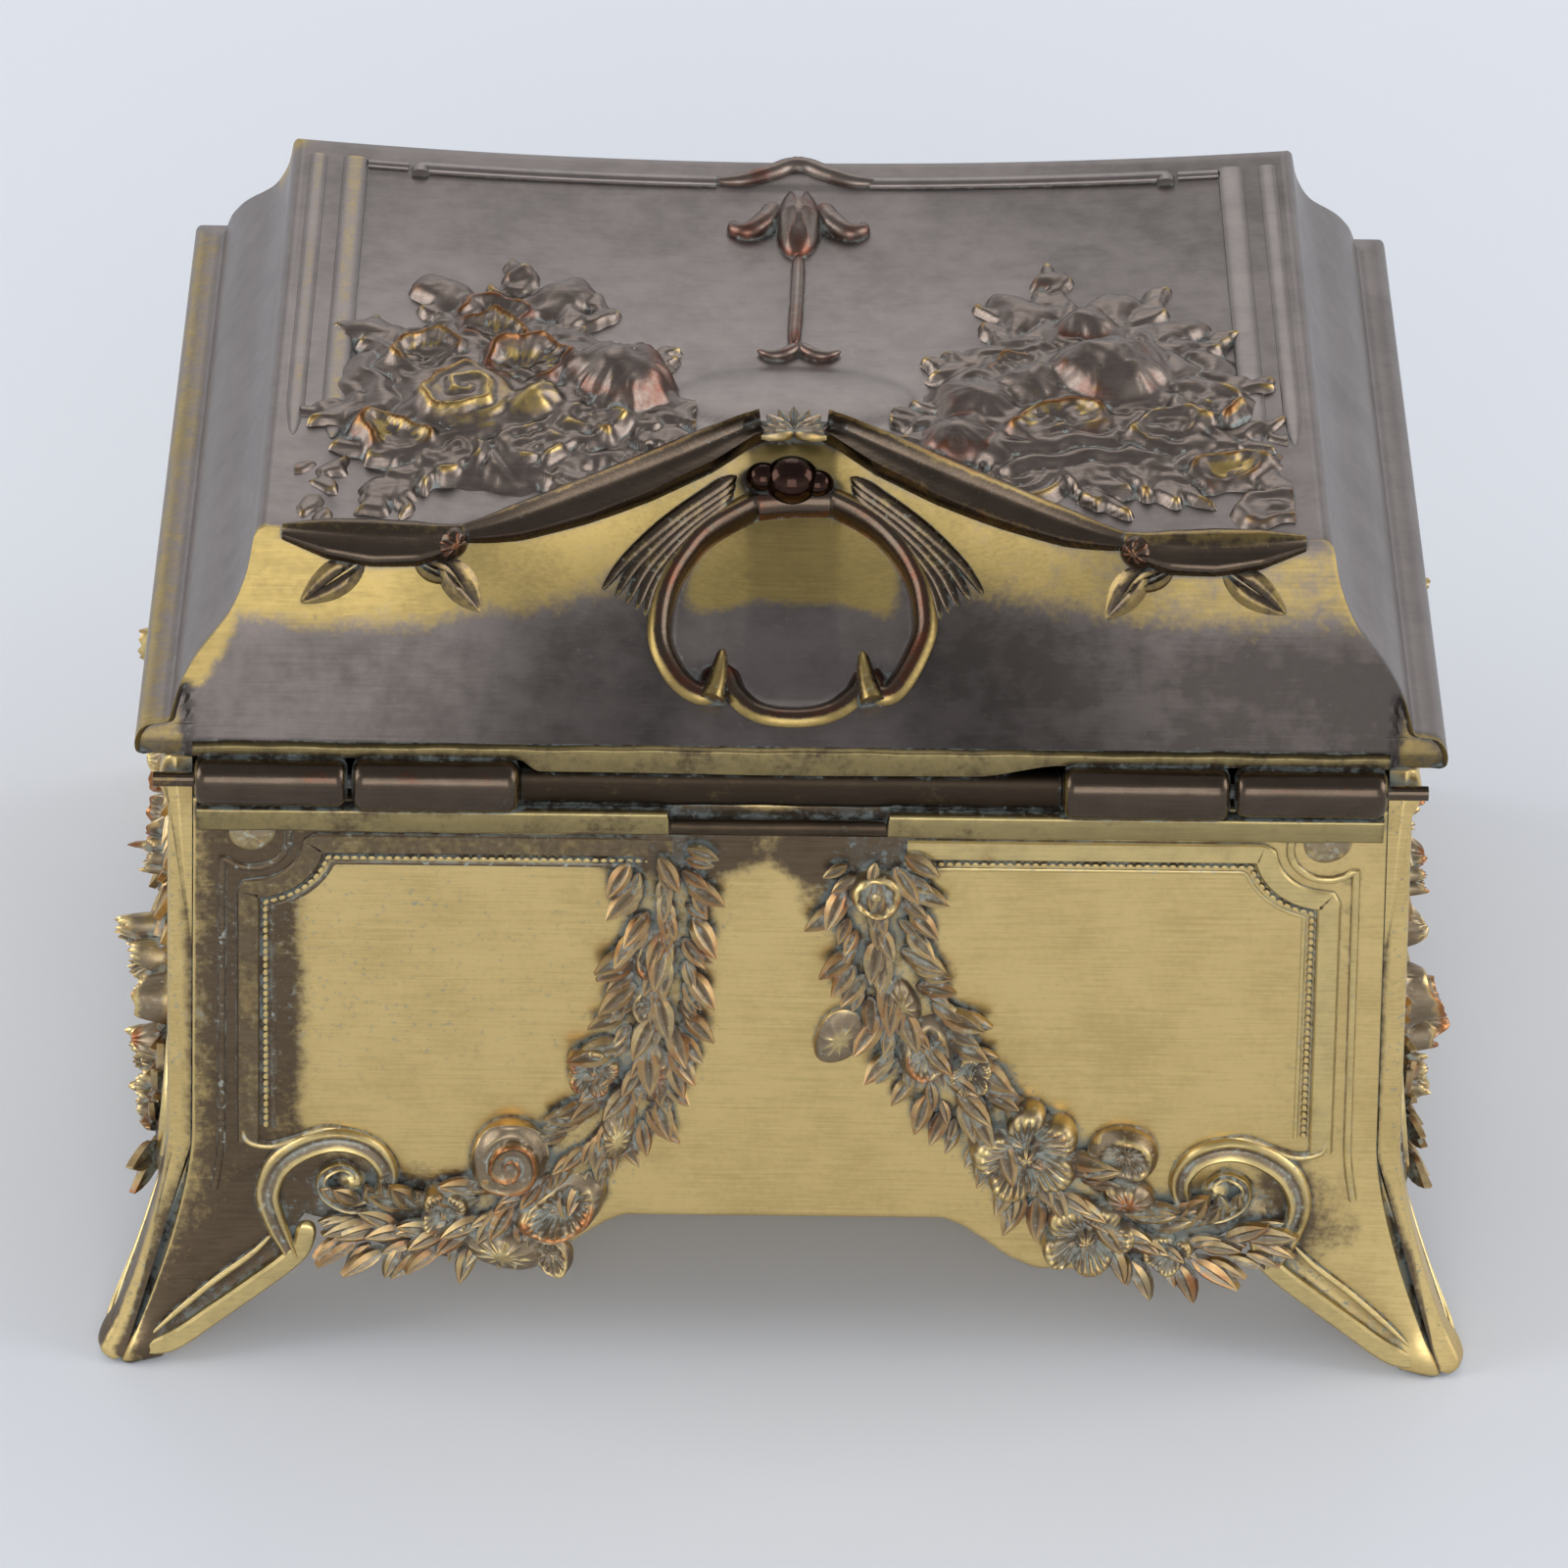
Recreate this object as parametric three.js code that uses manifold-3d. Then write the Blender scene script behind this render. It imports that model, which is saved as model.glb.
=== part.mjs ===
// A cast brass jewellery casket: four splayed-foot wall castings round a floor plate, a waisted lid
// on two barrel hinges at the back, and a velvet and silk lining. Millimetres, +Z up, the front
// faces -Y, and the origin is the middle of the footprint on the surface that the feet stand on.
import * as THREE from "three";
import { mergeVertices } from "three/addons/utils/BufferGeometryUtils.js";
import Module from "manifold-3d";

const wasm = await Module();
wasm.setup();

// Case
const BODY_WIDTH = 133; // across the outer faces of the side walls at the rim
const BODY_DEPTH = 102; // across the outer faces of the front and back walls at the rim
const WALL = 2.6; // thickness of a casting
const RIM_HEIGHT = 77.5; // top of the front and side walls
const SKIRT_HEIGHT = 17.2; // lower edge of a wall between its feet
const BATTER = 0.03; // outward lean of a wall, per millimetre of drop
const FOOT_HEIGHT = 28; // the foot starts to splay here
const TOE_SPLAY_X = 7.5;
const TOE_SPLAY_Y = 5.2;
const SPLAY_POWER = 1.6;
const SPLAY_REACH = 22; // how far along a wall the splay is felt
const SPLAY_FULL = 3; // stretch at the corner that splays fully
const SOLDER_GAP = 0.3;
const RIM_LIP_DROP = 6; // height of the rounded lip under the rim of a front or side wall
const RIM_LIP_PROUD = 1.0;

// Floor
const FLOOR_THICKNESS = 1.4;
const FLOOR_Z = SKIRT_HEIGHT + 0.4;

// Lid
const LID_OVERHANG = 3.5; // flange beyond the walls at the front and sides
const LID_SEAT_GAP = 0.3;
const LID_RISE = 22.3; // flange underside to the top edge
const LID_SADDLE = 2.5; // how far the top dips between its two side edges
const LID_WALL = 2.6;
const FLANGE_EDGE = 3.5; // height of the flange lip
const FLANGE_TOP = 3.3; // width of the flange's flat top
const FLANGE_CORNER = 0.7; // chamfer of the flange's two edges
const FLANGE_STEP = 1.1; // small step from the flange's top to the round moulding
const OVOLO_SPREAD = 7.0;
const OVOLO_HEIGHT = 8.0;
const OVOLO_TURN = THREE.MathUtils.degToRad(72);
const TOP_INSET = 13.8; // flange edge to top edge, seen from above
const LID_INNER_EDGE = 0.2; // the underside's top edge stands in by this and the wall
// The underside between its top edge and its seat: distance out from the top edge, and height.
const LID_INNER_CURVE = [
  [1.4, 13.5],
  [4.2, 10.4],
];
// The underside at its seat: distance in from the seat, and height.
const LID_SEAT_CURVE = [
  [1.8, 8.4],
  [0, 5],
];
const SCOOP_DEPTH = 25; // how far the top's back edge swings forward in its middle
const SCOOP_HALF = 38; // half the stretch over which it swings
const SCOOP_FLAT = 4.3; // half the stretch that has swung fully
const SCOOP_POWER = 1.15;

// Hinge
const KNUCKLE_RADIUS = 2.5;
const HINGE_OUT = 0.6 * KNUCKLE_RADIUS; // hinge axis behind the back wall's face
const HINGE_DROP = 0.88 * KNUCKLE_RADIUS; // hinge axis below the lid's flange
const KNUCKLE_SEAT = 0.8; // between a knuckle and the back wall's rim
const PIN_RADIUS = 0.8;
const PIN_CLEARANCE = 0.18;
const BASE_KNUCKLE_LENGTH = 17.8;
const LID_KNUCKLE_LENGTH = 16.3;
const KNUCKLE_GAP = 0.5;
const PIN_END = 4.4; // the pin stands out of the outer knuckle
const PIN_STOP = 3; // the pin ends short of the inner knuckle's far end
const RAIL_THICKNESS = 1.75;
const RAIL_HEIGHT = 3.4;
const RAIL_BEVEL = 1.3;
const RAIL_FOOT_BEVEL = 0.6;
const RAIL_TOP_EDGE = 0.2; // flat left at the head of the bevel
const RAIL_NOTCH = 12; // half length of the step in the middle of the case rail
const RAIL_NOTCH_DEPTH = 1.4;
const KNUCKLE_RELIEF = 0.5; // lid rail above the knuckles
const WEB_GAP = 0.2; // between a knuckle's web and the lid rail
const KNUCKLE_SIDES = 24;
const PIN_SIDES = 16;
const LID_RAIL_THICKNESS = 1.0;
const LID_RAIL_TOP = 6.6; // top of the lid rail above the flange underside
const LID_RAIL_LIP = 1.5; // drop of the rail's middle stretch under the flange

// Ornament, cast in one with the panels
const GARLAND_WIDTH = 11;
const BACK_GARLAND_PROUD = 2.8;
const GARLAND_PROUD = 5; // the swags of the front and sides stand prouder
const GARLAND_SUNK = 1.4;
const GARLAND_END_SHARE = 0.72; // width of a garland's ends, as a share of its middle's
const CARTOUCHE_RADIUS = 14;
const CARTOUCHE_RIM = 1.1;
const CARTOUCHE_PROUD = 0.7; // height of the rim, as a share of its width
const CARTOUCHE_SPAN = [0.42, 0.86]; // its foot and head, as shares of the moulding's points
const SPRAY_SIZE = [14, 9, 4];
const SPRAY_CENTRE = [31, 17];
const SCROLL_RADIUS = 1.7;
const KNOB_RADIUS = 2.6;

// Lining
const LINING_CARD = 1.2;
const LINING_DROP = 8.5; // top of the lining, below the rim
const FLOOR_PAD = 3.6;
const FLOOR_PAD_EDGE = 0.6; // height of the pad's edge, as a share of its middle's
const LINING_GAP = 0.3;
const LID_PAD_THICKNESS = 5;
const LID_PAD_CROWN = 2.2;
const LID_PAD_MARGIN = 2.5;

// Worked out from the driving sizes
const HALF_WIDTH = BODY_WIDTH / 2;
const HALF_DEPTH = BODY_DEPTH / 2;
const FLANGE_Z = RIM_HEIGHT + LID_SEAT_GAP;
const HINGE_Y = HALF_DEPTH + HINGE_OUT;
const HINGE_Z = FLANGE_Z - HINGE_DROP;
const BACK_RIM_HEIGHT = HINGE_Z - KNUCKLE_RADIUS - KNUCKLE_SEAT; // lower, to leave room for the hinge
const BORE_RADIUS = PIN_RADIUS + PIN_CLEARANCE;
const END_INSET = WALL + SOLDER_GAP; // what stands between the side walls stops here
const LID_KNUCKLE_END = HALF_WIDTH - END_INSET;
const LID_KNUCKLE_START = LID_KNUCKLE_END - LID_KNUCKLE_LENGTH;
const BASE_KNUCKLE_END = LID_KNUCKLE_START - KNUCKLE_GAP;
const BASE_KNUCKLE_START = BASE_KNUCKLE_END - BASE_KNUCKLE_LENGTH;
const LID_HALF_X = HALF_WIDTH + LID_OVERHANG;
const LID_HALF_Y = HALF_DEPTH + LID_OVERHANG;
const LID_INNER_RISE = LID_RISE - LID_WALL;
const LID_INNER_INSET = TOP_INSET + LID_WALL + LID_INNER_EDGE;

const brass = new THREE.MeshStandardMaterial({ color: 0xb89a58, metalness: 1, roughness: 0.38 });
const patina = new THREE.MeshStandardMaterial({ color: 0x5b4c44, metalness: 0.9, roughness: 0.42 });
const steel = new THREE.MeshStandardMaterial({ color: 0x6d7274, metalness: 1, roughness: 0.5 });
const sheet = new THREE.MeshStandardMaterial({ color: 0x9a7d45, metalness: 1, roughness: 0.55 });
const velvet = new THREE.MeshStandardMaterial({ color: 0x4a1420, metalness: 0, roughness: 0.95 });
const silk = new THREE.MeshStandardMaterial({ color: 0x7a2633, metalness: 0, roughness: 0.6 });

const MERGE_DISTANCE = 1e-4;
const clamp = THREE.MathUtils.clamp;
const lerp = THREE.MathUtils.lerp;
const smooth = THREE.MathUtils.smoothstep;

// Closed geometry from points and triangles, turned so that its faces point out.
function closedGeometry(points, triangles) {
  let volume = 0;
  for (const [a, b, c] of triangles) {
    volume += points[a].dot(new THREE.Vector3().crossVectors(points[b], points[c]));
  }
  const facing = volume < 0 ? triangles.map(([a, b, c]) => [a, c, b]) : triangles;
  const geometry = new THREE.BufferGeometry();
  geometry.setAttribute("position", new THREE.Float32BufferAttribute(points.flatMap((p) => p.toArray()), 3));
  geometry.setIndex(facing.flat());
  return mergeVertices(geometry, MERGE_DISTANCE);
}

// Triangles of a grid of columns by rows, whose first point has the number given.
function gridTriangles(columns, rows, first) {
  const triangles = [];
  for (let i = 0; i < columns - 1; i++) {
    for (let j = 0; j < rows - 1; j++) {
      const a = first + i * rows + j;
      const b = a + rows;
      triangles.push([a, b, b + 1], [a, b + 1, a + 1]);
    }
  }
  return triangles;
}

// A solid between two grids of points that have the same columns and rows.
function slab(columns, rows, outer, inner) {
  const points = [];
  for (const at of [outer, inner]) {
    for (let i = 0; i < columns; i++) {
      for (let j = 0; j < rows; j++) points.push(at(i, j));
    }
  }
  const half = columns * rows;
  const triangles = gridTriangles(columns, rows, 0);
  for (const [a, b, c] of gridTriangles(columns, rows, half)) triangles.push([a, c, b]);
  const edge = [];
  for (let i = 0; i < columns - 1; i++) edge.push(i * rows);
  for (let j = 0; j < rows - 1; j++) edge.push((columns - 1) * rows + j);
  for (let i = columns - 1; i > 0; i--) edge.push(i * rows + rows - 1);
  for (let j = rows - 1; j > 0; j--) edge.push(j);
  edge.forEach((a, k) => {
    const b = edge[(k + 1) % edge.length];
    triangles.push([b, a, a + half], [b, a + half, b + half]);
  });
  return closedGeometry(points, triangles);
}

// The geometry's positions alone, with the vertices that its faces share merged.
function merged(geometry) {
  const bare = geometry.clone();
  for (const name of Object.keys(bare.attributes)) {
    if (name !== "position") bare.deleteAttribute(name);
  }
  return mergeVertices(bare, MERGE_DISTANCE);
}

function toManifold(geometry) {
  const shared = merged(geometry);
  return new wasm.Manifold(
    new wasm.Mesh({
      numProp: 3,
      vertProperties: shared.attributes.position.array,
      triVerts: new Uint32Array(shared.index.array),
    }),
  );
}

function fromManifold(solid) {
  const mesh = solid.getMesh();
  const geometry = new THREE.BufferGeometry();
  geometry.setAttribute("position", new THREE.BufferAttribute(mesh.vertProperties, 3));
  geometry.setIndex(new THREE.BufferAttribute(mesh.triVerts, 1));
  return geometry;
}

const joined = (base, ...others) =>
  fromManifold(others.reduce((solid, other) => solid.add(toManifold(other)), toManifold(base)));
const cut = (base, ...others) =>
  fromManifold(others.reduce((solid, other) => solid.subtract(toManifold(other)), toManifold(base)));

function box(low, high) {
  const size = high.map((v, k) => v - low[k]);
  const middle = high.map((v, k) => (v + low[k]) / 2);
  return new THREE.BoxGeometry(...size).translate(...middle);
}

// A cylinder along X.
function rod(radius, from, to, y, z, sides = KNUCKLE_SIDES) {
  return new THREE.CylinderGeometry(radius, radius, to - from, sides)
    .rotateZ(Math.PI / 2)
    .translate((from + to) / 2, y, z);
}

// Splay of the foot at a height, as a share of the toe's.
const splay = (z) => Math.pow(clamp((FOOT_HEIGHT - z) / FOOT_HEIGHT, 0, 1), SPLAY_POWER);
const lean = (z) => BATTER * Math.max(RIM_HEIGHT - z, 0);
const splayWeight = (fromCorner) => smooth(SPLAY_REACH - fromCorner, 0, SPLAY_REACH - SPLAY_FULL);

// Lower edge of a wall by distance from its corner: toe, instep, scroll, hanging garland, skirt.
// The garland's two stretches are shares of the way from the foot to the middle of the wall.
const FOOT_EDGE = [
  [0, 0],
  [6.5, 0],
  [9, 7],
  [13, 11.7],
  [14.3, SKIRT_HEIGHT],
];
const GARLAND_EDGE = [
  [0.06, SKIRT_HEIGHT - 0.6],
  [0.14, SKIRT_HEIGHT - 4.6],
  [0.29, SKIRT_HEIGHT - 6.2],
  [0.46, SKIRT_HEIGHT - 6.8],
  [0.57, SKIRT_HEIGHT - 3],
  [0.66, SKIRT_HEIGHT],
  [1, SKIRT_HEIGHT],
];
function lowerEdge(half) {
  const foot = FOOT_EDGE[FOOT_EDGE.length - 1][0];
  return [...FOOT_EDGE, ...GARLAND_EDGE.map(([share, z]) => [lerp(foot, half, share), z])];
}

// One wall casting, as if its outer face looked towards +Y. `half` is the distance from the middle
// to the outer corner, `out` from the origin to the outer face, and `inset` how far its ends stop
// short of the corner, to butt against the neighbours.
function wallCasting({ half, out, inset, top, alongSplay, outSplay, lip }) {
  const edge = lowerEdge(half);
  const columns = [];
  for (const side of [-1, 1]) {
    const list = edge.map(([fromCorner, z]) => [side, Math.max(fromCorner, inset), z]);
    columns.push(...(side < 0 ? list : list.slice(0, -1).reverse()));
  }
  const rows = 9;
  const height = (column, j) => {
    const low = columns[column][2];
    const lipFoot = top - RIM_LIP_DROP;
    if (j >= rows - 3) return [lipFoot, top - RIM_LIP_DROP / 2, top][j - rows + 3];
    return lerp(low, lipFoot, Math.pow(j / (rows - 3), 1.5));
  };
  const at = (column, j, depth) => {
    const [side, fromCorner] = columns[column];
    const z = height(column, j);
    const weight = splayWeight(fromCorner);
    const along = half - fromCorner + (lean(z) + alongSplay * splay(z)) * weight;
    const bulge = lip && depth === 0 && j === rows - 2 ? RIM_LIP_PROUD : 0;
    return new THREE.Vector3(side * along, out + lean(z) + outSplay * splay(z) * weight + bulge - depth, z);
  };
  return slab(columns.length, rows, (i, j) => at(i, j, 0), (i, j) => at(i, j, WALL));
}

// The swag of leaves and flowers from the middle of a wall down to its foot, as one rounded mass.
function garland(side, { half, out, top, swagDrop, proud: rise }) {
  const foot = FOOT_EDGE[FOOT_EDGE.length - 1][0];
  const reach = half - foot;
  const route = [
    [0.2, 1],
    [0.25, 0.8],
    [0.28, 0.6],
    [0.34, 0.4],
    [0.42, 0.22],
    [0.55, 0.08],
    [0.72, -0.02],
    [0.86, 0.02],
    [0.94, 0.08],
  ].map(([share, rise]) => {
    const z = lerp(SKIRT_HEIGHT, top - swagDrop, rise);
    return new THREE.Vector3(side * reach * share, out + lean(z), z);
  });
  const curve = new THREE.CatmullRomCurve3(route);
  const steps = 12;
  const sides = 8;
  const points = [];
  const triangles = [];
  for (let i = 0; i <= steps; i++) {
    const centre = curve.getPoint(i / steps);
    const tangent = curve.getTangent(i / steps).setY(0).normalize();
    const across = new THREE.Vector3(tangent.z, 0, -tangent.x);
    const width = (GARLAND_WIDTH / 2) * lerp(GARLAND_END_SHARE, 1, Math.sin((Math.PI * i) / steps));
    for (let k = 0; k < sides; k++) {
      const angle = ((k + 0.5) * 2 * Math.PI) / sides;
      const lift = Math.sin(angle) > 0 ? rise : GARLAND_SUNK;
      const proud = new THREE.Vector3(0, lift * Math.sin(angle), 0);
      points.push(centre.clone().addScaledVector(across, width * Math.cos(angle)).add(proud));
    }
  }
  for (let i = 0; i < steps; i++) {
    for (let k = 0; k < sides; k++) {
      const a = i * sides + k;
      const b = i * sides + ((k + 1) % sides);
      triangles.push([a, b, b + sides], [a, b + sides, a + sides]);
    }
  }
  for (let k = 1; k < sides - 1; k++) {
    const last = steps * sides;
    triangles.push([0, k + 1, k], [last, last + k, last + k + 1]);
  }
  return closedGeometry(points, triangles);
}

// A wall with its two garlands, turned to face the way given, in quarter turns from +Y.
function wall(quarterTurns, spec) {
  const panel = wallCasting(spec);
  const swags = [-1, 1].map((side) => garland(side, spec));
  return joined(panel, ...swags).rotateZ((quarterTurns * Math.PI) / 2);
}

const acrossSpec = {
  half: HALF_WIDTH,
  out: HALF_DEPTH,
  inset: END_INSET,
  alongSplay: TOE_SPLAY_X,
  outSplay: TOE_SPLAY_Y,
};
const BACK_SWAG_DROP = 6;
const SWAG_DROP = 9;
const backSpec = {
  ...acrossSpec,
  top: BACK_RIM_HEIGHT,
  lip: false,
  swagDrop: BACK_SWAG_DROP,
  proud: BACK_GARLAND_PROUD,
};
const frontSpec = { ...acrossSpec, top: RIM_HEIGHT, lip: true, swagDrop: SWAG_DROP, proud: GARLAND_PROUD };
const sideSpec = {
  half: HALF_DEPTH,
  out: HALF_WIDTH,
  inset: 0,
  top: RIM_HEIGHT,
  alongSplay: TOE_SPLAY_Y,
  outSplay: TOE_SPLAY_X,
  lip: true,
  swagDrop: SWAG_DROP,
  proud: GARLAND_PROUD,
};

function floorPlate() {
  const x = HALF_WIDTH - END_INSET;
  const y = HALF_DEPTH - END_INSET;
  return box([-x, -y, FLOOR_Z], [x, y, FLOOR_Z + FLOOR_THICKNESS]);
}

// Half of the lid's moulding, from the flange underside to the top edge, as inset and height.
function lidProfile() {
  const profile = [
    [FLANGE_CORNER, 0],
    [0, FLANGE_CORNER],
    [0, FLANGE_EDGE - FLANGE_CORNER],
    [FLANGE_CORNER, FLANGE_EDGE],
    [FLANGE_TOP - 0.3, FLANGE_EDGE + 0.2],
    [FLANGE_TOP, FLANGE_EDGE + FLANGE_STEP],
  ];
  const [startInset, startHeight] = profile[profile.length - 1];
  const steps = 5;
  for (let i = 1; i <= steps; i++) {
    const angle = (OVOLO_TURN * i) / steps;
    profile.push([
      startInset + OVOLO_SPREAD * (1 - Math.cos(angle)),
      startHeight + OVOLO_HEIGHT * Math.sin(angle),
    ]);
  }
  const [inset, height] = profile[profile.length - 1];
  for (let i = 1; i <= steps; i++) {
    const angle = ((Math.PI / 2) * i) / steps;
    profile.push([
      inset + (TOP_INSET - inset) * Math.sin(angle),
      LID_RISE - (LID_RISE - height) * Math.cos(angle),
    ]);
  }
  return profile;
}

// The underside, a casting's thickness inside the moulding, from the top edge back to the flange.
function lidInnerProfile() {
  const seat = LID_OVERHANG + WALL + LID_SEAT_GAP;
  return [
    [LID_INNER_INSET, LID_INNER_RISE],
    ...LID_INNER_CURVE.map(([out, height]) => [LID_INNER_INSET - out, height]),
    ...LID_SEAT_CURVE.map(([inwards, height]) => [seat + inwards, height]),
    [seat, 0],
  ];
}

// Height of a point of the lid, dipped between the side edges; `t` runs from -1 to 1 across.
const lidHeight = (height, t) =>
  FLANGE_Z + height - LID_SADDLE * (1 - t * t) * Math.pow(height / LID_RISE, 2);

// How far forward of a straight line the top's back edge stands.
const scoop = (x) =>
  SCOOP_DEPTH * Math.pow(clamp((SCOOP_HALF - Math.abs(x)) / (SCOOP_HALF - SCOOP_FLAT), 0, 1), SCOOP_POWER);

// Inset of a point of the back slope: the hollow above the round moulding stretches with the scoop.
function backInset(inset, x, top) {
  const start = FLANGE_TOP + OVOLO_SPREAD * (1 - Math.cos(OVOLO_TURN)) + top - TOP_INSET;
  return inset + scoop(x) * clamp((inset - start) / (top - start), 0, 1);
}

// The lid as one hollow casting: rings of moulding and a dipped top, outside and inside.
function lidShell() {
  const across = 14;
  const points = [];
  const triangles = [];
  const spot = (inset, height, t, side, top) => {
    const x = LID_HALF_X - inset;
    const y = LID_HALF_Y - inset;
    if (side === 0) return new THREE.Vector3(x * t, -y, lidHeight(height, t));
    if (side === 1) return new THREE.Vector3(x, y * t, FLANGE_Z + height);
    if (side === 2) {
      return new THREE.Vector3(-x * t, LID_HALF_Y - backInset(inset, x * t, top), lidHeight(height, t));
    }
    return new THREE.Vector3(-x, -y * t, FLANGE_Z + height);
  };
  const patch = (columns, rows, at) => {
    const first = points.length;
    for (let i = 0; i < columns; i++) {
      for (let j = 0; j < rows; j++) points.push(at(i, j));
    }
    triangles.push(...gridTriangles(columns, rows, first));
  };
  const loop = [...lidProfile(), ...lidInnerProfile()];
  const outerCount = lidProfile().length;
  const bands = [
    [loop.slice(0, outerCount), TOP_INSET],
    [[...loop.slice(outerCount), loop[0]], LID_INNER_INSET],
  ];
  for (const [rows, top] of bands) {
    for (let side = 0; side < 4; side++) {
      patch(across + 1, rows.length, (i, j) => spot(...rows[j], (2 * i) / across - 1, side, top));
    }
  }
  const cap = ([inset, height], facing) => {
    patch(across + 1, across + 1, (i, j) => {
      const t = facing * ((2 * i) / across - 1);
      const x = (LID_HALF_X - inset) * t;
      const front = LID_HALF_Y - inset;
      return new THREE.Vector3(x, lerp(-front, front - scoop(x), j / across), lidHeight(height, t));
    });
  };
  cap(loop[outerCount - 1], 1);
  cap(loop[outerCount], -1);
  return closedGeometry(points, triangles);
}

// A tube along a line of points, for ribs that stand on the lid.
function rib(route, radius) {
  const curve = new THREE.CatmullRomCurve3(route.map((p) => new THREE.Vector3(...p)));
  const section = new THREE.Shape();
  const sides = 8;
  for (let k = 0; k < sides; k++) {
    const angle = (2 * Math.PI * k) / sides;
    section[k ? "lineTo" : "moveTo"](radius * Math.cos(angle), radius * Math.sin(angle));
  }
  section.closePath();
  return new THREE.ExtrudeGeometry(section, { steps: 10, bevelEnabled: false, extrudePath: curve });
}

// The raised rim of the cartouche, as a ring laid on the back slope.
function cartoucheRim() {
  const profile = lidProfile();
  const along = (v) => {
    const place = lerp(CARTOUCHE_SPAN[0], CARTOUCHE_SPAN[1], (v + 1) / 2) * (profile.length - 1);
    const k = Math.floor(clamp(place, 0, profile.length - 2));
    return [0, 1].map((n) => lerp(profile[k][n], profile[k + 1][n], place - k));
  };
  const ring = merged(new THREE.TorusGeometry(CARTOUCHE_RADIUS, CARTOUCHE_RIM, 6, 20));
  const place = ring.attributes.position;
  for (let k = 0; k < place.count; k++) {
    const x = -place.getX(k);
    const [inset, height] = along(place.getY(k) / (CARTOUCHE_RADIUS + CARTOUCHE_RIM));
    const proud = place.getZ(k) * CARTOUCHE_PROUD;
    const y = LID_HALF_Y - backInset(inset, x, TOP_INSET) + proud;
    place.setXYZ(k, x, y, lidHeight(height, x / LID_HALF_X) + proud);
  }
  return ring;
}

// The ornament of the lid: the two scroll ribs at the head of the back slope, the sprays of
// flowers behind them, the rim of the cartouche and the berry above it.
function lidOrnament() {
  const topZ = FLANGE_Z + LID_RISE;
  const half = LID_HALF_X - TOP_INSET;
  const ridge = (x) => [x, LID_HALF_Y - TOP_INSET - scoop(x), lidHeight(LID_RISE, x / half)];
  const pieces = [];
  for (const side of [-1, 1]) {
    const ribRoute = [0.94, 0.78, 0.64, 0.5, 0.36, 0.22, 0.1].map((share) => ridge(side * half * share));
    pieces.push(rib(ribRoute, SCROLL_RADIUS));
    const mass = new THREE.SphereGeometry(1, 16, 10)
      .scale(...SPRAY_SIZE)
      .translate(side * SPRAY_CENTRE[0], SPRAY_CENTRE[1], topZ - 2);
    pieces.push(mass);
  }
  const [, knobY, knobZ] = ridge(0);
  const knob = new THREE.SphereGeometry(KNOB_RADIUS, 12, 8);
  pieces.push(knob.translate(0, knobY + KNOB_RADIUS, knobZ - KNOB_RADIUS));
  pieces.push(cartoucheRim());
  return pieces;
}

// The part of a solid that lies above the lid's underside, so that no ornament shows inside.
function lid() {
  const far = 200;
  const behindHinge = box([-far, HALF_DEPTH, 0], [far, far, far]);
  const shell = cut(lidShell(), behindHinge);
  const ceiling = (t) => lidHeight(LID_INNER_RISE, t) + LID_WALL / 2;
  const inner = lidPlug(TOP_INSET + 1, 12, () => FLANGE_Z, ceiling);
  const ornament = lidOrnament().map((piece) => cut(piece, inner, behindHinge));
  return joined(shell, ...ornament);
}

// The strip under the lid's back slope that the outer knuckles are soldered to.
function lidHingeRail() {
  const y = HALF_DEPTH + SOLDER_GAP / 2;
  const end = LID_KNUCKLE_END;
  const above = HINGE_Z + KNUCKLE_RADIUS + KNUCKLE_RELIEF;
  const strip = box([-end, y, above], [end, y + LID_RAIL_THICKNESS, FLANGE_Z + LID_RAIL_TOP]);
  const middle = BASE_KNUCKLE_START - KNUCKLE_GAP;
  const lip = box([-middle, HALF_DEPTH - WALL, FLANGE_Z - LID_RAIL_LIP], [
    middle,
    y + LID_RAIL_THICKNESS,
    FLANGE_Z - LID_SEAT_GAP,
  ]);
  const bridge = box([-middle, y, FLANGE_Z - LID_RAIL_LIP], [middle, y + LID_RAIL_THICKNESS, above + 1]);
  return joined(strip, lip, bridge);
}

// The strip on the back wall's top edge, bevelled, with a step in its middle.
function baseHingeRail() {
  const y = HALF_DEPTH + lean(BACK_RIM_HEIGHT - RAIL_HEIGHT) + SOLDER_GAP;
  const z = BACK_RIM_HEIGHT;
  const section = new THREE.Shape([
    new THREE.Vector2(y, z - RAIL_HEIGHT),
    new THREE.Vector2(y + RAIL_THICKNESS, z - RAIL_HEIGHT + RAIL_FOOT_BEVEL),
    new THREE.Vector2(y + RAIL_THICKNESS, z - RAIL_BEVEL),
    new THREE.Vector2(y + RAIL_TOP_EDGE, z),
    new THREE.Vector2(y, z),
  ]);
  const end = LID_KNUCKLE_END;
  const bar = new THREE.ExtrudeGeometry(section, { depth: 2 * end, bevelEnabled: false })
    .rotateZ(Math.PI / 2)
    .rotateY(Math.PI / 2);
  bar.computeBoundingBox();
  const { min, max } = bar.boundingBox;
  bar.translate(-(min.x + max.x) / 2, 0, 0);
  const step = box(
    [-RAIL_NOTCH, y - 1, z - RAIL_NOTCH_DEPTH],
    [RAIL_NOTCH, y + RAIL_THICKNESS + 1, z + 1],
  );
  return cut(bar, step);
}

// The stretch along X from one distance to another, on the side given.
const span = (side, near, far) => (side < 0 ? [-far, -near] : [near, far]);

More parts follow.
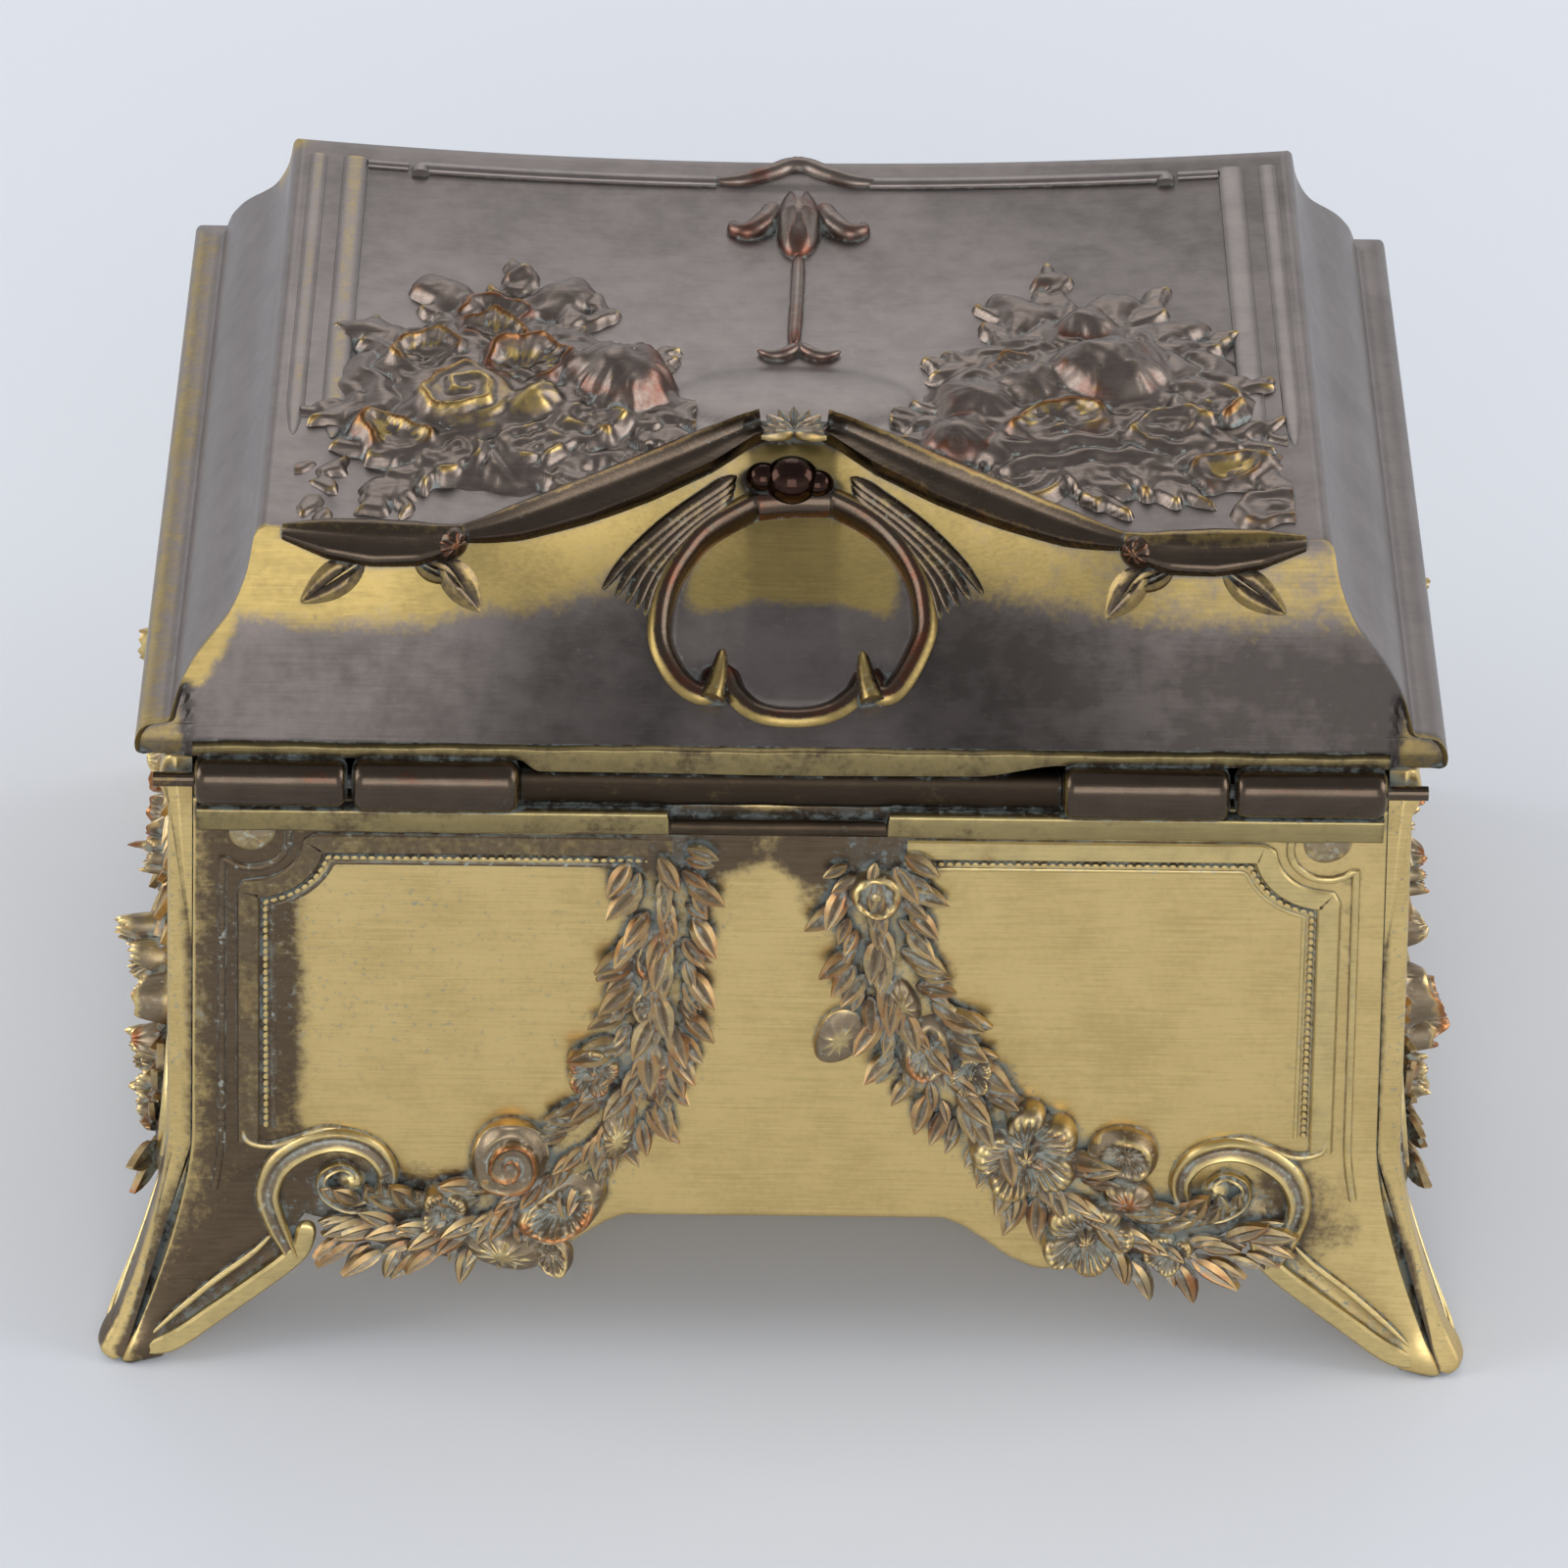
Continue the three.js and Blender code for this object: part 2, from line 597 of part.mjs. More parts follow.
// A knuckle of the case: a barrel on a block that stands on the back wall's rim.
function baseKnuckle(side) {
  const [from, to] = span(side, BASE_KNUCKLE_START, BASE_KNUCKLE_END);
  const barrel = rod(KNUCKLE_RADIUS, from, to, HINGE_Y, HINGE_Z);
  const block = box(
    [from, HALF_DEPTH - WALL + 0.4, BACK_RIM_HEIGHT + SOLDER_GAP],
    [to, HINGE_Y + KNUCKLE_RADIUS - 0.1, HINGE_Z],
  );
  const bore = rod(BORE_RADIUS, from - 1, to + 1, HINGE_Y, HINGE_Z);
  return cut(joined(barrel, block), bore);
}

// A knuckle of the lid: a barrel with a short web up to the lid's rail.
function lidKnuckle(side) {
  const [from, to] = span(side, LID_KNUCKLE_START, LID_KNUCKLE_END);
  const barrel = rod(KNUCKLE_RADIUS, from, to, HINGE_Y, HINGE_Z);
  const y = HALF_DEPTH + SOLDER_GAP / 2;
  const webTop = HINGE_Z + KNUCKLE_RADIUS + KNUCKLE_RELIEF - WEB_GAP;
  const web = box([from, y, HINGE_Z], [to, y + LID_RAIL_THICKNESS, webTop]);
  const bore = rod(BORE_RADIUS, from - 1, to + 1, HINGE_Y, HINGE_Z);
  return cut(joined(barrel, web), bore);
}

function hingePin(side) {
  const [from, to] = span(side, BASE_KNUCKLE_START + PIN_STOP, LID_KNUCKLE_END + PIN_END);
  return rod(PIN_RADIUS, from, to, HINGE_Y, HINGE_Z, PIN_SIDES);
}

// The lining of one wall: card covered in silk, standing on the floor plate.
function wallLining(quarterTurns, half, out) {
  const z = FLOOR_Z + FLOOR_THICKNESS + LINING_GAP;
  const y = out - WALL - LINING_GAP;
  const top = RIM_HEIGHT - LINING_DROP;
  return box([-half, y - LINING_CARD, z], [half, y, top]).rotateZ((quarterTurns * Math.PI) / 2);
}
const LINING_ROOM = LINING_GAP + LINING_CARD + LINING_GAP;
const frontLiningHalf = HALF_WIDTH - WALL - LINING_ROOM;
const sideLiningHalf = HALF_DEPTH - WALL - LINING_GAP;

// A block with shaped faces: `low` and `high` give the heights of its two faces, and `back` how far
// its back edge reaches at each place across.
function pad(n, halfX, front, back, low, high) {
  const spread = (i) => Math.sin(((i / (n - 1)) * 2 - 1) * (Math.PI / 2));
  const at = (face) => (i, j) => {
    const t = spread(i);
    const r = spread(j);
    const x = halfX * t;
    return new THREE.Vector3(x, lerp(-front, back(x), (r + 1) / 2), face(t, r));
  };
  return slab(n, n, at(high), at(low));
}

// A block under the lid's top, the given distance in from the flange's edge.
function lidPlug(inset, n, low, high) {
  const front = LID_HALF_Y - inset;
  return pad(n, LID_HALF_X - inset, front, (x) => front - scoop(x), low, high);
}
const crown = (t, r) => Math.pow((1 - Math.pow(t, 4)) * (1 - Math.pow(r, 4)), 0.5);

function floorPad() {
  const z = FLOOR_Z + FLOOR_THICKNESS + LINING_GAP;
  const halfY = HALF_DEPTH - WALL - LINING_ROOM;
  return pad(
    9,
    HALF_WIDTH - WALL - LINING_ROOM,
    halfY,
    () => halfY,
    () => z,
    (t, r) => z + FLOOR_PAD * lerp(FLOOR_PAD_EDGE, 1, crown(t, r)),
  );
}

function lidPad() {
  const inner = LID_INNER_INSET + LID_PAD_MARGIN;
  const share = (LID_HALF_X - inner) / (LID_HALF_X - LID_INNER_INSET);
  const ceiling = (t) => lidHeight(LID_INNER_RISE, t * share) - LINING_GAP;
  return lidPlug(
    inner,
    13,
    (t, r) => ceiling(t) - (LID_PAD_THICKNESS - LID_PAD_CROWN) - LID_PAD_CROWN * crown(t, r),
    (t) => ceiling(t),
  );
}

const casket = new THREE.Group();
function piece(name, geometry, material) {
  const mesh = new THREE.Mesh(geometry, material);
  mesh.name = name;
  casket.add(mesh);
}

piece("back_wall", wall(0, backSpec), brass);
piece("front_wall", wall(2, frontSpec), brass);
piece("left_side_wall", wall(1, sideSpec), brass);
piece("right_side_wall", wall(3, sideSpec), brass);
piece("floor_plate", floorPlate(), sheet);
piece("base_hinge_rail", baseHingeRail(), brass);
piece("lid_shell", lid(), patina);
piece("lid_hinge_rail", lidHingeRail(), brass);
for (const [name, side] of [
  ["left", -1],
  ["right", 1],
]) {
  piece(`base_knuckle_${name}`, baseKnuckle(side), patina);
  piece(`lid_knuckle_${name}`, lidKnuckle(side), patina);
  piece(`hinge_pin_${name}`, hingePin(side), steel);
}
piece("lining_back", wallLining(0, frontLiningHalf, HALF_DEPTH), silk);
piece("lining_front", wallLining(2, frontLiningHalf, HALF_DEPTH), silk);
piece("lining_left", wallLining(1, sideLiningHalf, HALF_WIDTH), silk);
piece("lining_right", wallLining(3, sideLiningHalf, HALF_WIDTH), silk);
piece("floor_pad", floorPad(), velvet);
piece("lid_pad", lidPad(), silk);

export default casket;
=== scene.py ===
"""Looks of a cast brass jewellery casket with a waisted, hinged lid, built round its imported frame.

Lengths in this file are millimetres until a mesh is made. Seen from outside, a face's first
coordinate runs to the viewer's right and its second one up, and the third is the lift off the face.
"""
import logging
import math
from dataclasses import dataclass, field, replace
from enum import Enum
from typing import Any, Callable, Iterable, Sequence

import bpy
import numpy as np
from mathutils import Matrix, Vector


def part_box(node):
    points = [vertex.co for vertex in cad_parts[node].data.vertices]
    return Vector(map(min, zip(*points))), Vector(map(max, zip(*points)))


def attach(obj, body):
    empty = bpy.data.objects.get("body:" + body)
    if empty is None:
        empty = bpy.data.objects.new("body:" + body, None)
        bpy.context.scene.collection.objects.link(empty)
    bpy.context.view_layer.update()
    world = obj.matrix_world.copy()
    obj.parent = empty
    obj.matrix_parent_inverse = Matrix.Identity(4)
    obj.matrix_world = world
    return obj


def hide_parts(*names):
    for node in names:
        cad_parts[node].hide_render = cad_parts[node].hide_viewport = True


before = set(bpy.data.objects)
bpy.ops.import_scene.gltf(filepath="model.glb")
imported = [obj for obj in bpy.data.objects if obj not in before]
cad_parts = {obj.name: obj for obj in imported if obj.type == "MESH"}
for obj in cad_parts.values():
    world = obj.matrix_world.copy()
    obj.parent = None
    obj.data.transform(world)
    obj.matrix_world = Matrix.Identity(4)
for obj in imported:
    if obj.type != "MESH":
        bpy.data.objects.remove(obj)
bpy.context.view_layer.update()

MM = 0.001
SHARP_DEG = 38
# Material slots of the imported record, and the angles above which an edge stays crisp, from the lid's
# mouldings to cloth, which has no crisp edge
BRASS_SLOT, BRONZE_SLOT, SILK_SLOT, VELVET_SLOT = "cast_brass", "lid_bronze", "silk_lining", "velvet_lining"
CRISP_DEG, SOFT_DEG, SPRAY_DEG, SMOOTH_DEG = 35, 50, 70, 180
LOG = logging.getLogger("casket")
Route = Sequence[tuple[float, float]]


def linear(hex_code: str) -> tuple[float, float, float, float]:
    """Turn an sRGB hex colour into Blender's linear RGBA.

    Args:
        hex_code: Six hex digits.

    Returns:
        Linear red, green and blue, and an alpha of 1.
    """
    channels = [int(hex_code[k:k + 2], 16) / 255 for k in (0, 2, 4)]
    red, green, blue = [c / 12.92 if c <= 0.04045 else ((c + 0.055) / 1.055) ** 2.4 for c in channels]
    return red, green, blue, 1.0


def add_node(tree: bpy.types.NodeTree, kind: str, settings: dict[str, Any] | None = None,
             inputs: dict[Any, Any] | None = None) -> bpy.types.Node:
    """Add a node with its settings and its inputs.

    Args:
        tree: The node tree that gets the node.
        kind: The node's type name.
        settings: Attributes of the node itself.
        inputs: Input name or number to a value, or to an output socket that is linked to it.

    Returns:
        The new node.
    """
    node = tree.nodes.new(kind)
    for name, value in (settings or {}).items():
        setattr(node, name, value)
    for name, value in (inputs or {}).items():
        if isinstance(value, bpy.types.NodeSocket):
            tree.links.new(value, node.inputs[name])
        else:
            node.inputs[name].default_value = value
    return node


def smooth(low: float, high: float, value: np.ndarray) -> np.ndarray:
    """Rise softly from 0 at `low` to 1 at `high`."""
    share = np.clip((value - low) / (high - low), 0, 1)
    return share * share * (3 - 2 * share)


def rounding(depth: float, radius: float, distance: np.ndarray) -> np.ndarray:
    """How far a rounded edge falls away, at a distance from the edge."""
    share = np.clip(distance / radius, 0, 1)
    return depth * (1 - np.sqrt(1 - (1 - share) ** 2))


def resampled(points: np.ndarray, count: int) -> np.ndarray:
    """Put points at even distances along a line.

    Args:
        points: The line's points, one a row.
        count: How many points to return.

    Returns:
        The new points.
    """
    steps = np.linalg.norm(np.diff(points, axis=0), axis=1)
    place = np.concatenate([[0], np.cumsum(steps)])
    wanted = np.linspace(0, place[-1], count)
    return np.stack([np.interp(wanted, place, points[:, k]) for k in range(points.shape[1])], 1)


def curve_through(route: Sequence[Sequence[float]], count: int, closed: bool = False) -> np.ndarray:
    """Draw a smooth curve through points.

    Args:
        route: The points.
        count: How many even steps the result has.
        closed: Whether the curve runs back to its first point, which isn't repeated.

    Returns:
        The curve's points, one a row.
    """
    knots = np.asarray(route, float)
    if closed:
        knots = np.concatenate([knots[-1:], knots, knots[:2]])
    else:
        knots = np.concatenate([[2 * knots[0] - knots[1]], knots, [2 * knots[-1] - knots[-2]]])
    share = np.linspace(0, 1, 16, endpoint=False)[:, None]
    pieces = []
    for before, start, end, after in zip(knots, knots[1:], knots[2:], knots[3:]):
        pieces.append(0.5 * (2 * start + (end - before) * share
                             + (2 * before - 5 * start + 4 * end - after) * share ** 2
                             + (3 * start - before - 3 * end + after) * share ** 3))
    line = np.concatenate(pieces + [knots[-2:-1]])
    even = resampled(line, count + 1 if closed else count)
    return even[:-1] if closed else even


def distance_to(route: np.ndarray, a: np.ndarray, b: np.ndarray) -> tuple[np.ndarray, np.ndarray]:
    """Measure how far places lie from a line.

    Args:
        route: The line's points, one a row.
        a: First coordinates of the places.
        b: Second coordinates of the places.

    Returns:
        Each place's distance, and how far along the line its nearest point is, from 0 to 1.
    """
    best = np.full(a.shape, np.inf)
    along = np.zeros(a.shape)
    for k, (start, end) in enumerate(zip(route, route[1:])):
        step = end - start
        share = ((a - start[0]) * step[0] + (b - start[1]) * step[1]) / max(float(step @ step), 1e-9)
        share = np.clip(share, 0, 1)
        gap = np.hypot(a - start[0] - share * step[0], b - start[1] - share * step[1])
        nearer = gap < best
        best = np.where(nearer, gap, best)
        along = np.where(nearer, (k + share) / (len(route) - 1), along)
    return best, along


def is_inside(outline: np.ndarray, a: np.ndarray, b: np.ndarray) -> np.ndarray:
    """Tell which places lie within a closed outline.

    Args:
        outline: Points of the outline, one a row.
        a: Places to the viewer's right.
        b: Places upward.

    Returns:
        Whether each place lies inside.
    """
    inside = np.zeros(a.shape, bool)
    for (a0, b0), (a1, b1) in zip(outline, np.roll(outline, -1, axis=0)):
        crosses = (b0 > b) != (b1 > b)
        with np.errstate(divide="ignore", invalid="ignore"):
            where = (a1 - a0) * (b - b0) / (b1 - b0) + a0
        inside ^= crosses & (a < where)
    return inside


def grid_quads(columns: int, rows: int, first: int = 0, wrap: bool = False) -> np.ndarray:
    """Number the faces of a grid whose points are stored column by column.

    Args:
        columns: How many columns of points.
        rows: How many points in a column.
        first: Number of the grid's first point.
        wrap: Whether the last column joins the first.

    Returns:
        Four point numbers a row.
    """
    column, row = np.meshgrid(np.arange(columns if wrap else columns - 1), np.arange(rows - 1), indexing="ij")
    following = (column + 1) % columns
    corners = [column * rows + row, following * rows + row, following * rows + row + 1,
               column * rows + row + 1]
    return first + np.stack([corner.ravel() for corner in corners], 1)


@dataclass
class Shape:
    """A closed mesh in the making, with marks that its metal's wear is painted by."""

    points: np.ndarray
    quads: np.ndarray
    tris: np.ndarray
    marks: dict[str, np.ndarray] = field(default_factory=dict)

    @classmethod
    def of(cls, points: np.ndarray, quads: Any = (), tris: Any = ()) -> "Shape":
        """Make a shape from points and any mix of faces, facing outwards.

        Args:
            points: Places of the points, one a row.
            quads: Faces of four points.
            tris: Faces of three points.

        Returns:
            The shape.
        """
        shape = cls(np.asarray(points, float), np.asarray(quads, int).reshape(-1, 4),
                    np.asarray(tris, int).reshape(-1, 3))
        return shape.outward()

    def outward(self) -> "Shape":
        """Turn the faces round if they look inwards.

        Returns:
            The same shape.
        """
        corners = [self.points[f] for f in (self.tris, self.quads[:, [0, 1, 2]], self.quads[:, [0, 2, 3]])]
        volume = sum(np.einsum("ij,ij->", c[:, 0], np.cross(c[:, 1], c[:, 2])) for c in corners if len(c))
        if volume < 0:
            self.quads, self.tris = self.quads[:, ::-1], self.tris[:, ::-1]
        return self

    def marked(self, **values: Any) -> "Shape":
        """Set marks, each one number or one for each point.

        Args:
            values: Mark to its number or numbers.

        Returns:
            The same shape.
        """
        for name, value in values.items():
            self.marks[name] = np.array(np.broadcast_to(value, len(self.points)), float)
        return self

    def mapped(self, change: Callable[[np.ndarray], np.ndarray]) -> "Shape":
        """Move the points by a function of their places."""
        return Shape(change(self.points), self.quads, self.tris, dict(self.marks)).outward()

    def placed(self, at: Sequence[float], turn: float = 0, scale: float | Sequence[float] = 1,
               tilt: float = 0) -> "Shape":
        """Scale, tilt and turn the shape about its origin and move it.

        Args:
            at: Where the origin goes.
            turn: Degrees in the face's plane.
            scale: One factor, or one for each direction.
            tilt: Degrees about the first axis, before the turn.

        Returns:
            The shape in its place.
        """
        turned = Matrix.Rotation(math.radians(turn), 3, "Z") @ Matrix.Rotation(math.radians(tilt), 3, "X")
        spin, spot = np.array(turned), np.array([*at, 0.0][:3])
        return self.mapped(lambda points: (points * scale) @ spin.T + spot)

    @staticmethod
    def join(shapes: Iterable["Shape"]) -> "Shape":
        """Put shapes together as one mesh of several shells.

        Args:
            shapes: The shapes.

        Returns:
            One shape with all their marks.
        """
        parts = list(shapes)
        starts = np.cumsum([0] + [len(part.points) for part in parts])
        names = {name for part in parts for name in part.marks}
        marks = {name: np.concatenate([part.marks.get(name, np.zeros(len(part.points))) for part in parts])
                 for name in names}
        return Shape(np.concatenate([part.points for part in parts]),
                     np.concatenate([part.quads + start for part, start in zip(parts, starts)]),
                     np.concatenate([part.tris + start for part, start in zip(parts, starts)]), marks)

    def welded(self, reach: float = 2e-3) -> "Shape":
        """Merge points that lie within `reach` of each other, and drop faces that this closes up.

        Args:
            reach: Points that lie this near become one.

        Returns:
            The merged shape.
        """
        keys = np.round(self.points / reach + 0.137).astype(np.int64)
        _, first, number = np.unique(keys, axis=0, return_index=True, return_inverse=True)
        number = number.ravel()
        quads, tris = number[self.quads], [list(tri) for tri in number[self.tris]]
        kept = []
        for quad in quads:
            around = [corner for k, corner in enumerate(quad) if corner != quad[k - 1]]
            if len(around) == 4 and len(set(around)) == 4:
                kept.append(around)
            elif len(around) == 3:
                tris.append(around)
        tris = [tri for tri in tris if len(set(tri)) == 3]
        shape = Shape.of(self.points[first], kept, tris)
        shape.marks = {name: value[first] for name, value in self.marks.items()}
        return shape

    def to_object(self, name: str, material: bpy.types.Material, body: str, slot: str,
                  sharp: float = SHARP_DEG) -> bpy.types.Object:
        """Make the Blender object, in metres, and let it ride on its body.

        Args:
            name: The piece's name.
            material: Its finish.
            body: The body that carries it.
            slot: Not used.
            sharp: Edges that turn by more degrees than this stay crisp.

        Returns:
            The object.
        """
        mesh = bpy.data.meshes.new(name)
        sizes = np.concatenate([np.full(len(self.quads), 4), np.full(len(self.tris), 3)])
        corners = np.concatenate([self.quads.ravel(), self.tris.ravel()])
        mesh.vertices.add(len(self.points))
        mesh.vertices.foreach_set("co", (self.points * MM).astype(np.float32).ravel())
        mesh.loops.add(len(corners))
        mesh.loops.foreach_set("vertex_index", corners.astype(np.int32))
        mesh.polygons.add(len(sizes))
        mesh.polygons.foreach_set("loop_start", np.concatenate([[0], np.cumsum(sizes)[:-1]]).astype(np.int32))
        mesh.update(calc_edges=True)
        mesh.polygons.foreach_set("use_smooth", np.ones(len(sizes), bool))
        mesh.set_sharp_from_angle(angle=math.radians(sharp))
        for mark, values in self.marks.items():
            mesh.attributes.new(mark, "FLOAT", "POINT").data.foreach_set("value", values.astype(np.float32))
        mesh.materials.append(material)
        return settle(bpy.data.objects.new(name, mesh), body)


def settle(piece: bpy.types.Object, body: str) -> bpy.types.Object:
    """Link a piece whose object sits at the origin, and name its body.

    Args:
        piece: The piece.
        body: The body that carries it.

    Returns:
        The piece.
    """
    if piece.name not in bpy.context.scene.collection.objects:
        bpy.context.scene.collection.objects.link(piece)
    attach(piece, body)
    LOG.info("%s: %d faces on %s", piece.name, len(piece.data.polygons), body)
    return piece


def medallion(outline: Callable[[np.ndarray], np.ndarray],
              height: Callable[[np.ndarray, np.ndarray], np.ndarray],
              rings: int = 12, sectors: int = 60, sunk: float = 1.0) -> Shape:
    """Model a round piece of relief, drawn on rings about its middle and closed underneath.

    Args:
        outline: Radius at an angle.
        height: Lift at a share of the radius and an angle.
        rings: Rings of points.
        sectors: Points round a ring.
        sunk: Depth to which it is set into what carries it.

    Returns:
        The shape, its middle at the origin.
    """
    angle = np.linspace(0, 2 * math.pi, sectors, endpoint=False)
    share = (np.arange(1, rings + 1) / rings) ** 0.85
    grid_angle, grid_share = np.meshgrid(angle, share, indexing="ij")
    reach = outline(grid_angle) * grid_share
    lift = height(grid_share, grid_angle)
    top = np.stack([reach * np.cos(grid_angle), reach * np.sin(grid_angle), lift], 2)
    foot = top[:, -1:, :] * [1, 1, 0] + [0, 0, -sunk]
    points = np.concatenate([top, foot], 1).reshape(-1, 3)
    middle = float(np.mean(height(np.zeros(sectors), angle)))
    points = np.concatenate([points, [[0, 0, middle], [0, 0, -sunk]]])
    rows = rings + 1
    first = np.arange(sectors) * rows
    following = np.roll(first, -1)
    crown = np.full(sectors, sectors * rows)
    tris = np.concatenate([np.stack([crown, following, first], 1),
                           np.stack([crown + 1, first + rings, following + rings], 1)])
    shape = Shape.of(points, grid_quads(sectors, rows, wrap=True), tris)
    return shape.marked(tops=smooth(0.6, 1.0, shape.points[:, 2] / max(float(lift.max()), 1e-6)))


def ridge(path: np.ndarray, up: np.ndarray, profile: np.ndarray, scale: np.ndarray,
          closed: bool = False) -> Shape:
    """Run a profile along a path.

    Args:
        path: Points of the path, one a row.
        up: The direction that is up at each point.
        profile: The section's closed outline, as distances to the right and up.
        scale: The section's size at each point, as one factor or as a width and a height.
        closed: Whether the path runs back to its start.

    Returns:
        The closed shape.
    """
    ahead = np.roll(path, -1, axis=0) - np.roll(path, 1, axis=0) if closed else np.gradient(path, axis=0)
    side = np.cross(ahead, up)
    side /= np.linalg.norm(side, axis=1, keepdims=True) + 1e-12
    factors = np.broadcast_to(np.asarray(scale, float).reshape(len(path), -1), (len(path), 2))
    spread = profile[None, :, :] * factors[:, None, :]
    points = path[:, None, :] + side[:, None, :] * spread[..., :1] + up[:, None, :] * spread[..., 1:]
    count = len(profile)
    quads = grid_quads(len(path), count + 1, wrap=closed)
    station, number = np.divmod(quads, count + 1)
    quads = station * count + number % count
    flat = points.reshape(-1, 3)
    tops = np.tile(smooth(0.5, 1.0, profile[:, 1] / max(profile[:, 1].max(), 1e-6)), len(path))
    tris = np.zeros((0, 3), int)
    if not closed:
        ring = np.arange(count)
        last = (len(path) - 1) * count
        tris = np.concatenate([
            np.stack([np.full(count, len(flat)), ring, np.roll(ring, -1)], 1),
            np.stack([np.full(count, len(flat) + 1), last + np.roll(ring, -1), last + ring], 1)])
        flat = np.concatenate([flat, points[[0, -1]].mean(1)])
        tops = np.concatenate([tops, [0, 0]])
    return Shape.of(flat, quads, tris).marked(tops=tops)


def half_round(width: float, height: float, sunk: float = 0.5, sides: int = 9) -> np.ndarray:
    """Outline of a half-round moulding with a buried foot.

    Args:
        width: Its width.
        height: Its height.
        sunk: Depth of its foot below the face.
        sides: Points of its arc.

    Returns:
        The outline, as distances to the right and up.
    """
    angle = np.linspace(0, math.pi, sides)
    arc = np.stack([width / 2 * np.cos(angle), height * np.sin(angle)], 1)
    return np.concatenate([[[width / 2, -sunk]], arc, [[-width / 2, -sunk]]])


def flat_band(width: float, height: float, bevel: float, sunk: float = 0.5) -> np.ndarray:
    """Outline of a flat moulding with bevelled edges and a buried foot.

    Args:
        width: Its width.
        height: Its height.
        bevel: Size of its bevels.
        sunk: Depth of its foot below the face.

    Returns:
        The outline, as distances to the right and up.
    """
    half = width / 2
    return np.array([[half, -sunk], [half, height - bevel], [half - bevel, height],
                     [bevel - half, height], [-half, height - bevel], [-half, -sunk]])


def grooved_band(width: float, height: float, sunk: float = 0.6) -> np.ndarray:
    """Outline of a scroll's band: two rounded ribs with a hollow between them.

    Args:
        width: Its width.
        height: Its height.
        sunk: Depth of its foot below the face.

    Returns:
        The outline, as distances to the right and up.
    """
    half = width / 2
    rows = [(1, -sunk), (1, 0.45), (0.86, 0.85), (0.66, 1.0), (0.44, 0.9), (0.24, 0.62), (0.0, 0.5),
            (-0.24, 0.6), (-0.46, 0.78), (-0.66, 0.84), (-0.86, 0.68), (-1, 0.35), (-1, -sunk)]
    return np.array([[across * half, rise * height if rise > 0 else rise] for across, rise in rows])


def tapered(count: int, start: float, end: float, least: float = 0.12) -> np.ndarray:
    """Section sizes along a path that thins out over its first and last shares.

    Args:
        count: How many sections.
        start: Share of the path over which it grows.
        end: Share over which it thins out.
        least: Size at its very ends.

    Returns:
        One factor for each section.
    """
    share = np.linspace(0, 1, count)
    size = np.ones(count)
    if start > 0:
        size *= np.sqrt(np.clip(share / start, 0, 1))
    if end > 0:
        size *= np.sqrt(np.clip((1 - share) / end, 0, 1))
    return least + (1 - least) * size


def slab(top: np.ndarray, low: np.ndarray) -> Shape:
    """Close two grids of points, one over the other, into a solid sheet.

    Args:
        top: Grid of points of the upper side.
        low: Grid of points of the lower side.

    Returns:
        The closed sheet.
    """
    along, across = top.shape[:2]
    sheet = grid_quads(along, across)
    count = along * across
    rim = ([k for k in range(across - 1)] + [k * across + across - 1 for k in range(along - 1)]
           + [count - 1 - k for k in range(across - 1)]
           + [(along - 1 - k) * across for k in range(along - 1)])
    edge = [[b, a, a + count, b + count] for a, b in zip(rim, rim[1:] + rim[:1])]
    return Shape.of(np.concatenate([top.reshape(-1, 3), low.reshape(-1, 3)]),
                    np.concatenate([sheet[:, ::-1], sheet + count, edge]))


def leaf(length: float, width: float, rise: float, across: int = 5, along: int = 6, curl: float = 0.25,
         sunk: float = 0.5) -> Shape:
    """Model a pointed leaf with a sunk midrib, its stalk at the origin and its tip along the second axis.

    Args:
        length: Stalk to tip.
        width: At its widest.
        rise: Height of its two lobes.
        across: Points across.
        along: Points from stalk to tip.
        curl: How far the tip lifts, as a share of the length.
        sunk: Thickness under the leaf.

    Returns:
        The closed shape.
    """
    share = np.linspace(0.02, 0.985, along)
    side = np.linspace(-1, 1, across)
    grid_share, grid_side = np.meshgrid(share, side, indexing="ij")
    half = width / 2 * np.sin(math.pi * grid_share ** 0.8) ** 0.8
    lobe = rise * np.sin(math.pi * np.abs(grid_side) ** 0.8) * np.sin(math.pi * grid_share ** 0.7)
    lift = lobe + curl * length * grid_share ** 2 * 0.5
    top = np.stack([half * grid_side, grid_share * length, lift], 2)
    return slab(top, top - [0, 0, sunk]).marked(tops=np.tile(0.25 + 0.5 * np.abs(grid_side).ravel(), 2))


def ball(radius: float, sectors: int = 24, rings: int = 14) -> Shape:
    """Model a ball.

    Args:
        radius: Its radius.
        sectors: Points round it.
        rings: Rings of points between its poles.

    Returns:
        The ball, about the origin.
    """
    turn = np.linspace(0, 2 * math.pi, sectors, endpoint=False)
    rise = np.linspace(-math.pi / 2, math.pi / 2, rings + 2)[1:-1]
    grid_turn, grid_rise = np.meshgrid(turn, rise, indexing="ij")
    points = radius * np.stack([np.cos(grid_turn) * np.cos(grid_rise), np.sin(grid_turn) * np.cos(grid_rise),
                                np.sin(grid_rise)], 2).reshape(-1, 3)
    points = np.concatenate([points, [[0, 0, -radius], [0, 0, radius]]])
    first = np.arange(sectors) * rings
    following = np.roll(first, -1)
    low, high = np.full(sectors, len(points) - 2), np.full(sectors, len(points) - 1)
    tris = np.concatenate([np.stack([low, following, first], 1),
                           np.stack([high, first + rings - 1, following + rings - 1], 1)])
    return Shape.of(points, grid_quads(sectors, rings, wrap=True), tris)


